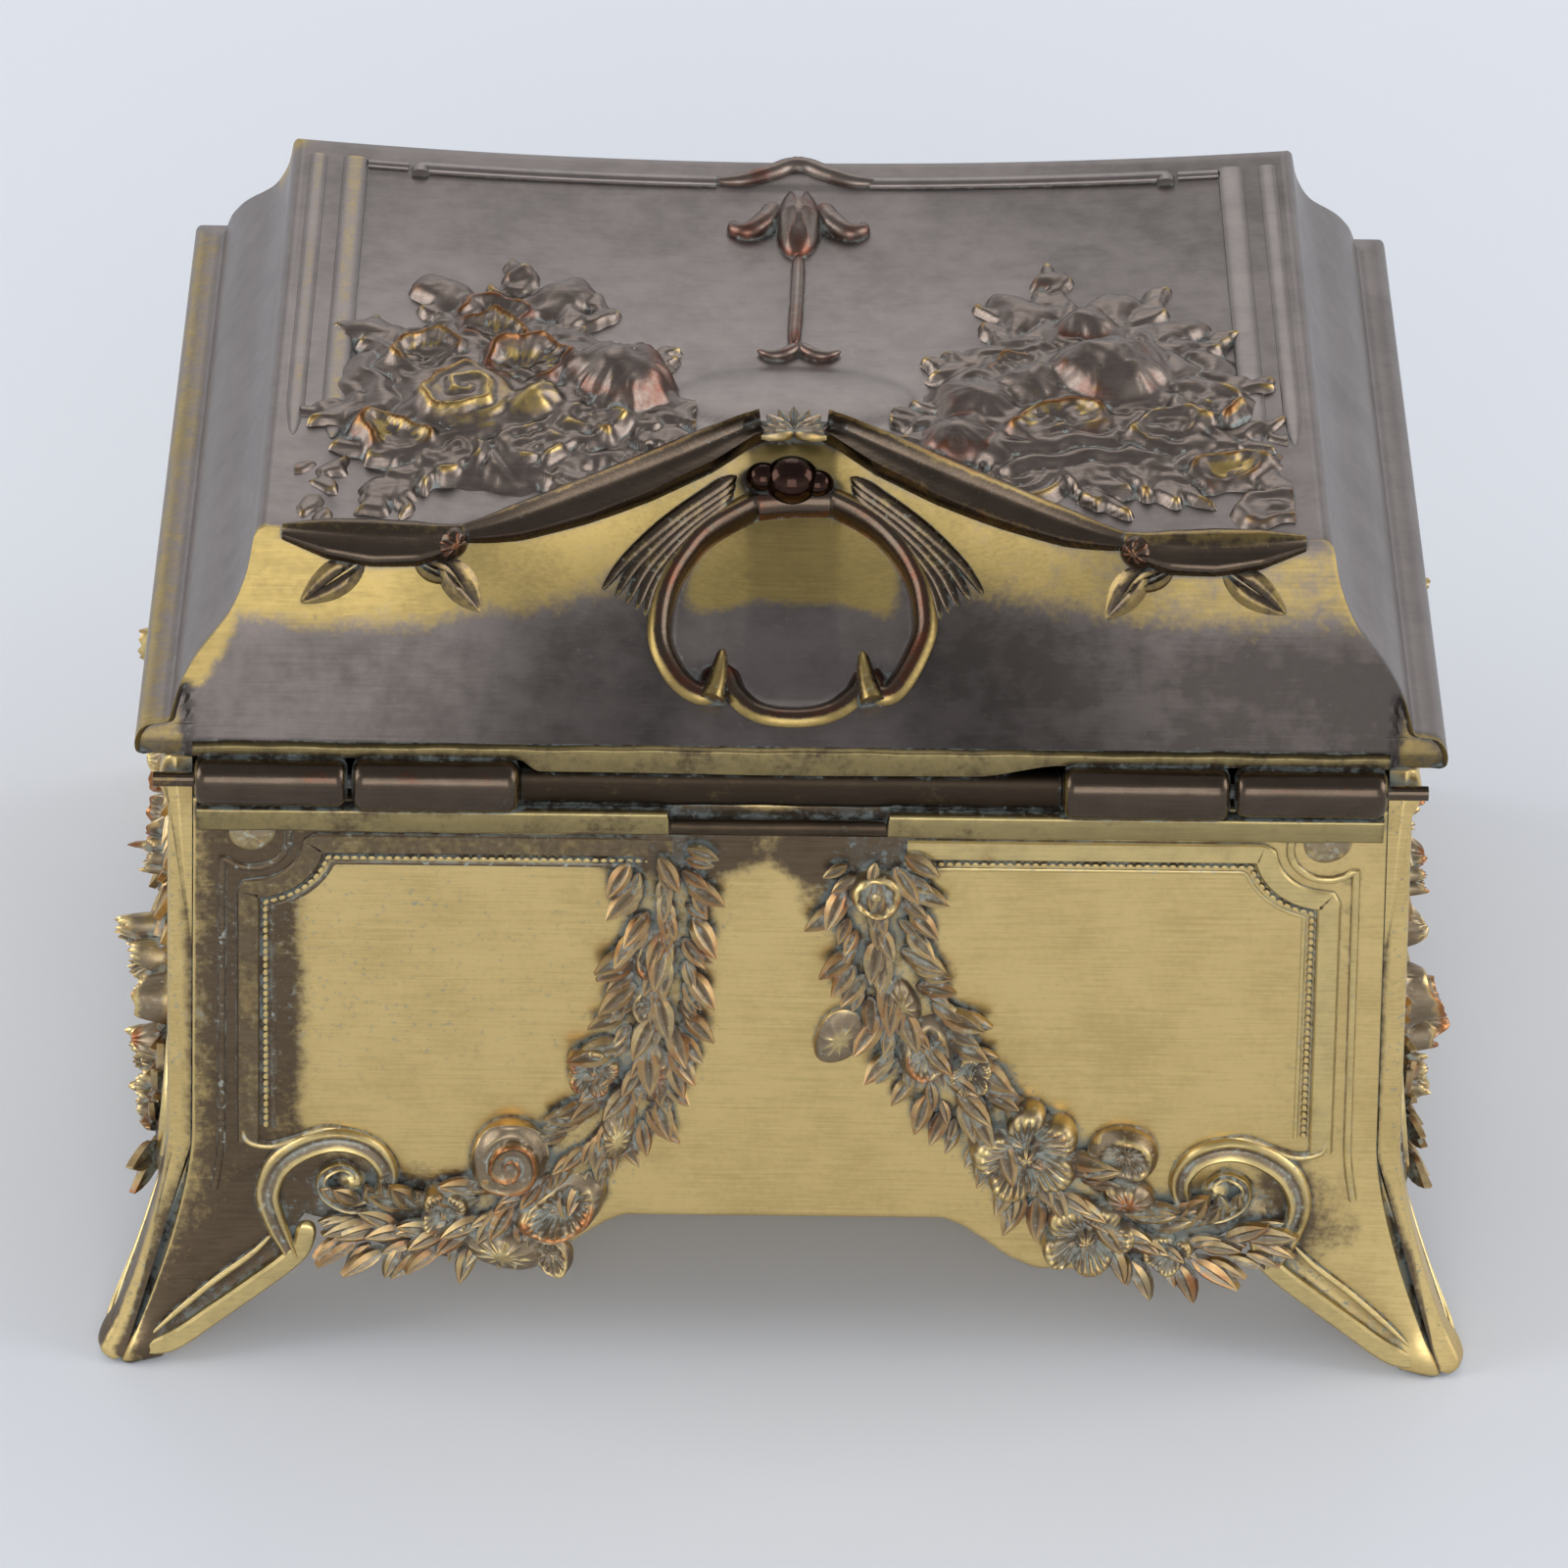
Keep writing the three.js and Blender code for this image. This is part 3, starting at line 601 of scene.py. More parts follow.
class Bloom(Enum):
    """The flowers of the garlands and sprays."""

    OPEN = "open flower of separate petals round a seed boss"
    ROSE = "rose whose petals wind into its middle"
    BUTTON = "round button with a raised rim"
    CUP = "cup with a rolled lip and a fluted throat"
    BELL = "closed, fluted dome"


Form = tuple[Callable[[np.ndarray], np.ndarray], Callable[[np.ndarray, np.ndarray], np.ndarray]]


def bloom_form(kind: Bloom, petals: int, seed: int) -> Form:
    """Draw up one flower of radius 1 and height 1.

    Args:
        kind: Which flower.
        petals: How many petals or flutes.
        seed: Picks its small irregularities.

    Returns:
        Its radius at an angle, and its height at a share of that radius and an angle.
    """
    phase = np.random.default_rng(seed).uniform(0, 2 * math.pi, 4)

    def wander(angle: np.ndarray, amount: float) -> np.ndarray:
        """Make an outline a little uneven."""
        return 1 + amount * (np.sin(2 * angle + phase[0]) + 0.7 * np.sin(3 * angle + phase[1]))

    def lobes(angle: np.ndarray) -> np.ndarray:
        """Rise and fall once for each petal."""
        return np.abs(np.cos(petals * angle / 2 + 0.15 * np.sin(angle + phase[2])))

    def open_rise(share: np.ndarray, angle: np.ndarray) -> np.ndarray:
        """Height of an open flower.

        Args:
            share: Shares of the radius.
            angle: Angles.

        Returns:
            The heights.
        """
        petal = np.interp(share, [0, 0.22, 0.4, 0.8, 0.92, 1], [0.25, 0.25, 0.45, 1.0, 0.86, 0.35])
        crease = 0.35 + 0.65 * lobes(angle) ** 0.5
        veins = 0.07 * np.cos(angle * petals * 7) * smooth(0.25, 0.5, share) * (1 - smooth(0.75, 0.95, share))
        boss = 0.62 * np.sqrt(np.clip(1 - (share / 0.2) ** 2, 0, 1))
        seeds = 0.2 * (np.cos(angle * 9 + phase[3]) > 0) * np.exp(-((share - 0.27) / 0.05) ** 2)
        return (petal * crease * (1 + 0.12 * np.sin(angle + phase[0])) + veins + boss + seeds)

    def rose_rise(share: np.ndarray, angle: np.ndarray) -> np.ndarray:
        """Height of a rose.

        Args:
            share: Shares of the radius.
            angle: Angles.

        Returns:
            The heights.
        """
        dome = np.sqrt(np.clip(1 - 0.8 * share ** 2, 0, 1))
        wind = (angle / (2 * math.pi) + 2.6 * share ** 0.8 + phase[0]) % 1.0
        fold = np.interp(wind, [0, 0.55, 0.8, 0.93, 1.0], [0.0, 0.35, 1.0, 0.85, 0.0])
        skirt = 1 - smooth(0.74, 1.0, share) * (0.62 + 0.16 * np.sin(5 * angle + phase[1]))
        return (0.62 * dome + 0.40 * fold * (0.3 + 0.7 * share)) * skirt

    def button_rise(share: np.ndarray, angle: np.ndarray) -> np.ndarray:
        """Height of a button rosette."""
        ring = np.interp(share, [0, 0.2, 0.34, 0.5, 0.74, 0.9, 1], [0.8, 0.72, 0.35, 0.4, 1.0, 0.8, 0.1])
        return (ring + 0.06 * np.cos(angle * 8) * smooth(0.3, 0.5, share) * (1 - smooth(0.7, 0.9, share)))

    def cup_rise(share: np.ndarray, angle: np.ndarray) -> np.ndarray:
        """Height of a cup with a rolled lip.

        Args:
            share: Shares of the radius.
            angle: Angles.

        Returns:
            The heights.
        """
        lip = 0.66 + 0.26 * np.sin(angle) + 0.12 * np.sin(2 * angle + phase[1]) + 0.07 * np.sin(5 * angle
                                                                                                + phase[2])
        hollow = np.interp(share, [0, 0.25, 0.5, 0.64, 0.72, 0.8, 0.9, 1.0],
                           [0.22, 0.3, 0.58, 0.94, 1.0, 0.86, 0.45, 0.0])
        flutes = 0.07 * np.cos(angle * petals * 3) * smooth(0.15, 0.35,
                                                            share) * (1 - smooth(0.58, 0.72, share))
        return (hollow * lip + flutes)

    def bell_rise(share: np.ndarray, angle: np.ndarray) -> np.ndarray:
        """Height of a closed bloom.

        Args:
            share: Shares of the radius.
            angle: Angles.

        Returns:
            The heights.
        """
        dome = np.clip(1 - share ** 2.6, 0, 1) ** 0.75
        flutes = 1 - 0.14 * np.abs(np.sin(angle * petals * 1.5)) ** 0.6 * smooth(0.12, 0.45, share)
        return dome * (1 + 0.16 * np.sin(angle) * share) * flutes

    if kind is Bloom.OPEN:
        return lambda angle: (0.56 + 0.44 * lobes(angle) ** 0.45) * wander(angle, 0.03), open_rise
    rise, uneven = {Bloom.ROSE: (rose_rise, 0.035), Bloom.BUTTON: (button_rise, 0.02),
                    Bloom.CUP: (cup_rise, 0.045), Bloom.BELL: (bell_rise, 0.03)}[kind]
    return lambda angle: wander(angle, uneven), rise


def bloom(kind: Bloom, radius: float, height: float, petals: int = 5, seed: int = 0) -> Shape:
    """Model one flower about the origin, of a radius and a height.

    Args:
        kind: Which flower.
        radius: Its radius.
        height: Its height.
        petals: How many petals or flutes.
        seed: Picks its small irregularities.

    Returns:
        The flower.
    """
    outline, rise = bloom_form(kind, petals, seed)
    rings, sectors = {Bloom.OPEN: (16, 24 * petals), Bloom.ROSE: (22, 84), Bloom.BUTTON: (12, 56),
                      Bloom.CUP: (16, 72), Bloom.BELL: (16, 84)}[kind]
    return medallion(lambda angle: radius * outline(angle), lambda share, angle: height * rise(share, angle),
                     rings, sectors)


@dataclass(frozen=True)
class Measures:
    """Sizes of the casket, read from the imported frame."""

    half_width: float
    half_depth: float
    skirt: float
    rim: float
    back_rim: float
    flange: float
    lid_half_x: float
    lid_half_y: float
    hinge_y: float
    hinge_z: float
    wall: float = 2.6
    batter: float = 0.03
    foot_height: float = 28.0
    splay_x: float = 7.5
    splay_y: float = 5.2
    foot_reach: float = 14.3

    @classmethod
    def from_frame(cls) -> "Measures":
        """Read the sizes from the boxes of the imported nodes.

        Returns:
            The sizes.
        """
        wall, gap, floor_lift = 2.6, 0.3, 0.4
        floor_low, floor_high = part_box("floor_plate")
        lid_low, lid_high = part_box("lid_shell")
        pin_low, pin_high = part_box("hinge_pin_left")
        return cls(
            half_width=floor_high.x / MM + wall + gap,
            half_depth=floor_high.y / MM + wall + gap,
            skirt=floor_low.z / MM - floor_lift,
            rim=lid_low.z / MM - gap,
            back_rim=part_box("back_wall")[1].z / MM,
            flange=lid_low.z / MM,
            lid_half_x=lid_high.x / MM,
            lid_half_y=-lid_low.y / MM,
            hinge_y=(pin_low.y + pin_high.y) / 2 / MM,
            hinge_z=(pin_low.z + pin_high.z) / 2 / MM,
        )


class Face:
    """A smooth face that ornament is laid on."""

    STEP = 0.02
    UNIT = 1.0

    def point(self, a: np.ndarray, b: np.ndarray) -> np.ndarray:
        """Place of a point of the bare face."""
        raise NotImplementedError

    def normal(self, a: np.ndarray, b: np.ndarray) -> np.ndarray:
        """Direction out of the face.

        Args:
            a: Places to the viewer's right.
            b: Places upward.

        Returns:
            Directions one long.
        """
        step = self.STEP
        across = self.point(a + step, b) - self.point(a - step, b)
        upward = self.point(a, b + step) - self.point(a, b - step)
        out = np.cross(across, upward)
        return out / (np.linalg.norm(out, axis=-1, keepdims=True) + 1e-12)

    def lay(self, flat: np.ndarray) -> np.ndarray:
        """Bend flat ornament onto the face: right, up and lift to a place in space."""
        a, b, lift = flat[:, 0], flat[:, 1], flat[:, 2:3]
        return self.point(a, b) + self.normal(a, b) * lift

    def carry(self, shape: Shape, right: float, up: float) -> Shape:
        """Set a small flat shape on the face, its origin at a place.

        Args:
            shape: The shape.
            right: Place to the viewer's right.
            up: Place upward.

        Returns:
            The shape in its place.
        """
        step = self.STEP
        ends = self.point(np.full(2, right), up + np.array([-step, step]))
        stretch = float(np.linalg.norm(ends[1] - ends[0])) / (2 * step)
        return shape.mapped(lambda flat: self.lay(flat * [1, 1 / stretch, 1] + [right, up, 0]))

    def moulding(self, route: Sequence[Sequence[float]], profile: np.ndarray,
                 taper: tuple[float, float] = (0, 0),
                 closed: bool = False, step: float = 0.5, lift: float = 0, thin: float = 0.12,
                 straight: bool = False) -> Shape:
        """Run a moulding along a route on the face.

        Args:
            route: The route's points, to the right and up.
            profile: The moulding's outline.
            taper: Shares of the route over which its two ends thin out.
            closed: Whether it runs back to its start.
            step: Distance between its sections.
            lift: Height of its foot above the face.
            thin: Size that an end thins to.
            straight: Keep the route's corners instead of rounding them.

        Returns:
            The moulding, in its place.
        """
        knots = np.asarray(route, float)
        places = self.point(knots[:, 0], knots[:, 1])
        run = float(np.linalg.norm(np.diff(places, axis=0), axis=1).sum())
        count = max(int(run / step), 8)
        knots = knots * [1, self.UNIT]
        line = (resampled(knots, count) if straight else curve_through(knots, count, closed)) / [1, self.UNIT]
        up = self.normal(line[:, 0], line[:, 1])
        path = self.point(line[:, 0], line[:, 1]) + up * lift
        return ridge(path, up, profile, tapered(count, *taper, least=thin), closed)


@dataclass
class WallFace(Face):
    """Outer face of one wall, whose feet splay and whose panel leans out a little.

    The first coordinate is where a point would be without the splay.
    """

    sizes: Measures
    quarter_turns: int
    half: float
    out: float
    along_splay: float
    out_splay: float

    def turned(self, x: np.ndarray, y: np.ndarray, z: np.ndarray) -> np.ndarray:
        """Turn a place on the back wall to this wall."""
        cos, sin = [(1, 0), (0, 1), (-1, 0), (0, -1)][self.quarter_turns]
        return np.stack([x * cos - y * sin, x * sin + y * cos, z], -1)

    def point(self, a: np.ndarray, b: np.ndarray) -> np.ndarray:
        """Place of a point of the bare face.

        Args:
            a: Places to the viewer's right.
            b: Places upward.

        Returns:
            Places in space.
        """
        sizes = self.sizes
        from_corner = self.half - np.abs(a)
        weight = smooth(0, 19, 22 - from_corner)
        splay = np.clip((sizes.foot_height - b) / sizes.foot_height, 0, 1) ** 1.6
        lean = sizes.batter * np.maximum(sizes.rim - b, 0)
        along = self.half - from_corner + (lean + self.along_splay * splay) * weight
        return self.turned(-np.sign(a) * along, self.out + lean + self.out_splay * splay * weight, b + 0 * a)


# Inset and rise of the lid's moulded sides, from the flange's bottom edge to the top's edge
SIDE_PROFILE = ((0.9, 0.0), (0.4, 0.12), (0.1, 0.42), (0.0, 0.9), (0.0, 1.5), (0.1, 1.9), (0.3, 2.35),
                (0.65, 2.8), (1.15, 3.12), (1.8, 3.3), (2.6, 3.38), (3.2, 3.46), (3.6, 3.62), (3.82, 3.95),
                (3.95, 4.5), (4.3, 5.6), (4.75, 6.8), (5.35, 7.9), (6.3, 9.4), (7.5, 10.9), (8.75, 12.3),
                (9.9, 13.7), (10.75, 15.1), (11.4, 16.5), (11.95, 18.0), (12.3, 19.5), (12.5, 20.6),
                (12.7, 21.35), (13.05, 21.9), (13.4, 22.17), (13.8, 22.3))


@dataclass
class LidTop(Face):
    """The lid's top, dipped between its two side edges. The second coordinate runs to the front."""

    sizes: Measures
    rise: float = 22.3
    inset: float = 13.8
    saddle: float = 2.5

    def height(self, rise: np.ndarray, share: np.ndarray) -> np.ndarray:
        """Height of a point of the lid: `share` runs from -1 to 1 across it."""
        return self.sizes.flange + rise - self.saddle * (1 - share ** 2) * (rise / self.rise) ** 2

    def point(self, a: np.ndarray, b: np.ndarray) -> np.ndarray:
        """Place of a point of the bare face."""
        share = np.clip(a / (self.sizes.lid_half_x - self.inset), -1, 1)
        return np.stack([-a, -b + 0 * a, self.height(self.rise, share) + 0 * b], -1)


@dataclass
class BackSlope(Face):
    """The lid's back: one hollow slope, whose top edge is scooped forward in the middle.

    The second coordinate is 0 at the slope's foot and 1 at the top's edge.
    """

    top: LidTop
    foot: float = 51.0
    foot_rise: float = 1.9
    scoop_depth: float = 25.0
    scoop_half: float = 38.0
    scoop_flat: float = 4.3
    scoop_power: float = 1.15

    STEP = 0.002
    UNIT = 32.0

    def scoop(self, a: np.ndarray, b: np.ndarray | float = 1.0) -> np.ndarray:
        """How far forward of a straight line the slope stands, with a softer hollow lower down.

        Args:
            a: Places to the viewer's right.
            b: Places upward.

        Returns:
            Distances forward.
        """
        share = (self.scoop_half - np.abs(a)) / (self.scoop_half - self.scoop_flat)
        crisp = 4 + 10 * np.clip(b, 0, 1) ** 2
        eased = np.log1p(np.exp(crisp * np.clip(share, -2, 1))) / crisp
        return self.scoop_depth * eased ** self.scoop_power

    def point(self, a: np.ndarray, b: np.ndarray) -> np.ndarray:
        """Place of a point of the bare face.

        Args:
            a: Places to the viewer's right.
            b: Places upward.

        Returns:
            Places in space.
        """
        sizes, top = self.top.sizes, self.top
        a, b = np.broadcast_arrays(np.asarray(a, float), np.asarray(b, float))
        scoop = self.scoop(a, b)
        reach = b + (0.12 + 0.28 * scoop / self.scoop_depth) * b * (1 - b)
        y = self.foot + (sizes.lid_half_y - top.inset - self.foot - scoop) * reach
        rise = self.foot_rise + (top.rise - self.foot_rise) * b
        inset = np.interp(rise, [row[1] for row in SIDE_PROFILE], [row[0] for row in SIDE_PROFILE])
        return np.stack([-a, y, top.height(rise, np.clip(a / (sizes.lid_half_x - inset), -1, 1))], -1)


class Step(Enum):
    """What a row of a table adds: the node's type, its settings, its inputs in order and its output."""

    NOISE = ("ShaderNodeTexNoise", {}, ("Vector", "Scale", "Detail", "Roughness"), "Fac")
    SUM = ("ShaderNodeMath", {"operation": "MULTIPLY_ADD"}, (0, 1, 2), 0)
    RAMP = ("ShaderNodeMapRange", {"interpolation_type": "SMOOTHSTEP"}, ("Value", "From Min", "From Max"),
            "Result")
    MIX = ("ShaderNodeMix", {"data_type": "RGBA"}, (0, 6, 7), 2)


def add_rows(tree: bpy.types.NodeTree, rows: Iterable[tuple[Any, ...]], known: dict[str, Any]) -> dict[str,
                                                                                                       Any]:
    """Add the nodes of a table, whose rows take earlier results by name.

    Args:
        tree: The node tree that gets the nodes.
        rows: A result's name, its step and the step's inputs. A sum has the number that it starts from,
            and then pairs of a result's name and its weight.
        known: Output sockets by name. The table's results are added to them.

    Returns:
        All output sockets by name.
    """
    for name, step, *given in rows:
        kind, settings, inputs, output = step.value
        if step is Step.SUM:
            chain = [[term, weight, name if place else given[0]] for place,
                     (term, weight) in enumerate(given[1:])]
        else:
            chain = [given]
        for values in chain:
            links = [known[value] if isinstance(value, str) else value for value in values]
            known[name] = add_node(tree, kind, settings, dict(zip(inputs, links))).outputs[output]
    return known


def patches(size: float) -> float:
    """Scale of a noise whose largest patches are about `size` millimetres across."""
    return 1 / (size * MM)


@dataclass(frozen=True)
class CastMetal:
    """Cast brass under an old brown patina.

    The patina is rubbed down to bare metal where the `worn` and `tops` marks are high, the metal is
    red by the `copper` mark and on sharp edges, and grey-green dust sits in what the ornament
    shades, which gives the relief its depth.
    """

    name: str
    brass: str = "c6ac70"
    old_brass: str = "8d7a50"
    patina: str = "5e5043"
    dark_patina: str = "3b3029"
    copper: str = "8c4a2e"
    dust: str = "7b8583"
    soot: str = "2e2720"
    bare_roughness: float = 0.34
    patina_roughness: float = 0.37
    edge_wear: float = 0.55
    edge_copper: float = 0.35
    tops_wear: float = 0.3
    copper_start: float = -0.78
    wear_start: float = -0.63
    dust_start: float = -0.45
    brushed: float = 1.0
    cloudy: float = 0.55
    blotch_size: float = 9.0
    shade_reach: float = 1.7
    dirt: float = 0.85

    def build(self) -> bpy.types.Material:
        """Make the material.

        Returns:
            The material.
        """
        material = bpy.data.materials.new(self.name)
        material.use_nodes = True
        tree = material.node_tree
        tree.nodes.clear()
        known = {mark: add_node(tree, "ShaderNodeAttribute", {"attribute_name": mark}).outputs["Fac"]
                 for mark in ("worn", "tops", "copper", "grime", "dull", "deep")}
        known["place"] = add_node(tree, "ShaderNodeTexCoord").outputs["Object"]
        # Polishing lines along the casket, drawn 0.3 mm apart because finer ones wouldn't show
        known["drawn"] = add_node(tree, "ShaderNodeMapping", {}, {
            "Vector": known["place"], "Scale": (140.0, 3300.0, 3300.0)}).outputs["Vector"]
        known["point"] = add_node(tree, "ShaderNodeNewGeometry").outputs["Pointiness"]
        known["shade"] = add_node(tree, "ShaderNodeAmbientOcclusion", {"samples": 8}, {
            "Distance": self.shade_reach * MM}).outputs["AO"]
        add_rows(tree, self.pattern_rows() + self.colour_rows() + self.surface_rows(), known)
        bump = add_node(tree, "ShaderNodeBump", {}, {
            "Strength": 0.25, "Distance": 0.08 * MM, "Height": known["relief"]})
        shader = add_node(tree, "ShaderNodeBsdfPrincipled", {}, {
            "Base Color": known["colour"], "Roughness": known["rough"], "Metallic": known["metallic"],
            "Normal": bump.outputs["Normal"]})
        add_node(tree, "ShaderNodeOutputMaterial", {}, {"Surface": shader.outputs["BSDF"]})
        return material

    def pattern_rows(self) -> list[tuple[Any, ...]]:
        """Rows for the patterns and for the places that wear and dirt go by.

        Returns:
            The rows.
        """
        return [
            ("blotch", Step.NOISE, "place", patches(self.blotch_size), 5.0, 0.6),
            ("smear", Step.NOISE, "place", patches(2.6), 3.0, 0.55),
            ("speck", Step.NOISE, "place", patches(0.75), 2.0, 0.6),
            ("brush", Step.NOISE, "drawn", 1.0, 2.0, 0.6),
            ("edge", Step.RAMP, "point", 0.508, 0.56),
            ("groove", Step.RAMP, "point", 0.492, 0.44),
            ("shaded", Step.RAMP, "shade", 0.86, 0.38),
            ("spots", Step.RAMP, "speck", 0.56, 0.70),
        ]

    def colour_rows(self) -> list[tuple[Any, ...]]:
        """Rows for the colours, from the metal outwards: brass, patina, copper and dirt.

        Returns:
            The rows.
        """
        brushed = self.brushed
        return [
            # Where polishing has gone through the patina, in streaks and worn edges
            ("rubbed", Step.SUM, self.wear_start, ("worn", 1.25), ("blotch", 0.55), ("smear", 0.36),
             ("speck", 0.36), ("brush", 0.22 * brushed), ("edge", self.edge_wear), ("tops", self.tops_wear),
             ("shaded", -0.55), ("groove", -0.25)),
            ("bare", Step.RAMP, "rubbed", 0.24, 0.66),
            # Bare brass that has dulled again in soft patches
            ("satin_sum", Step.SUM, 0, ("blotch", 0.5), ("brush", 0.35), ("speck", 0.15)),
            ("satin", Step.RAMP, "satin_sum", 0.4, 0.64),
            ("aged", Step.SUM, 0, ("satin", 0.45), ("deep", 0.55)),
            ("brass", Step.MIX, "aged", linear(self.brass), linear(self.old_brass)),
            # Patina that is cloudy, and darker where the mark for dark patina and painted light is high: a
            # real darker patina on the wall frames and hinge, painted shade and sheen on the lid and the bar
            # in the hinge's slot
            ("cloud_sum", Step.SUM, 0, ("blotch", 0.4), ("brush", 0.35 * brushed), ("smear", 0.25)),
            ("cloud", Step.RAMP, "cloud_sum", 0.22 + 0.16 * brushed, 0.46 + 0.2 * brushed),
            ("darkness", Step.SUM, 0, ("cloud", self.cloudy), ("deep", 0.9)),
            ("brown", Step.MIX, "darkness", linear(self.patina), linear(self.dark_patina)),
            ("metal", Step.MIX, "bare", "brown", "brass"),
            # Copper red that shows on edges and on the tops of flowers
            ("red_sum", Step.SUM, self.copper_start, ("edge", self.edge_copper), ("copper", 1.0),
             ("blotch", 0.8), ("speck", 0.2)),
            ("red", Step.RAMP, "red_sum", 0.12, 0.5),
            ("redness", Step.SUM, 0, ("red", 0.8)),
            ("reddened", Step.MIX, "redness", "metal", linear(self.copper)),
            # Soot and pale dust that polishing doesn't reach, which sets the relief off
            ("dirty", Step.SUM, self.dust_start, ("shaded", 0.9), ("grime", 0.9), ("groove", 0.35),
             ("spots", 0.4), ("smear", 0.5)),
            ("filth", Step.RAMP, "dirty", 0.15, 0.75),
            ("dusty_sum", Step.SUM, 0, ("smear", 0.6), ("speck", 0.4)),
            ("dusty", Step.RAMP, "dusty_sum", 0.42, 0.56),
            ("dirt", Step.MIX, "dusty", linear(self.soot), linear(self.dust)),
            ("covered", Step.SUM, 0, ("filth", self.dirt)),
            ("colour", Step.MIX, "covered", "reddened", "dirt"),
        ]

    def surface_rows(self) -> list[tuple[Any, ...]]:
        """Rows for the gloss and the fine relief: bare metal shines, and dirt is matt.

        Returns:
            The rows.
        """
        return [
            ("rough", Step.SUM, self.patina_roughness - 0.07,
             ("bare", self.bare_roughness - self.patina_roughness), ("speck", 0.08),
             ("brush", 0.08 * self.brushed), ("filth", 0.30), ("dull", 0.2), ("deep", 0.12)),
            ("metallic", Step.SUM, 1.0, ("filth", -0.75)),
            ("relief", Step.SUM, 0, ("speck", 0.5), ("brush", 0.5 * self.brushed), ("smear", 0.4),
             ("bare", -0.25)),
        ]


@dataclass(frozen=True)
class Cloth:
    """Dyed silk or cotton velvet over card and wadding: a fine weave or pile and a soft sheen."""

    name: str
    colour: str
    shadow: str
    thread: float
    roughness: float
    sheen: float
    rib: float

    def build(self) -> bpy.types.Material:
        """Make the material.

        Returns:
            The material.
        """
        material = bpy.data.materials.new(self.name)
        material.use_nodes = True
        tree = material.node_tree
        tree.nodes.clear()
        place = add_node(tree, "ShaderNodeTexCoord").outputs["Object"]
        # The bands of a wave texture are 0.314 / scale apart, and a rib of the weave is two threads wide
        ribs = add_node(tree, "ShaderNodeTexWave", {"bands_direction": "X"}, {
            "Vector": place, "Scale": 0.314 / (self.thread * MM) / 2, "Distortion": 0.6, "Detail": 1.0})
        known = add_rows(tree, (
            ("cloud", Step.NOISE, "place", patches(14.0), 4.0, 0.6),
            ("fluff", Step.NOISE, "place", patches(self.thread), 2.0, 0.7),
            ("tone_sum", Step.SUM, 0, ("cloud", 0.8), ("fluff", 0.2)),
            ("tone", Step.RAMP, "tone_sum", 0.3, 0.7),
            ("colour", Step.MIX, "tone", linear(self.shadow), linear(self.colour)),
            ("relief", Step.SUM, 0, ("fluff", 1.0), ("ribs", self.rib)),
        ), {"place": place, "ribs": ribs.outputs["Fac"]})
        bump = add_node(tree, "ShaderNodeBump", {}, {
            "Strength": 0.5, "Distance": 0.12 * MM, "Height": known["relief"]})
        shader = add_node(tree, "ShaderNodeBsdfPrincipled", {}, {
            "Base Color": known["colour"], "Roughness": self.roughness, "Sheen Weight": self.sheen,
            "Sheen Roughness": 0.4, "Sheen Tint": linear(self.colour), "Normal": bump.outputs["Normal"]})
        add_node(tree, "ShaderNodeOutputMaterial", {}, {"Surface": shader.outputs["BSDF"]})
        return material


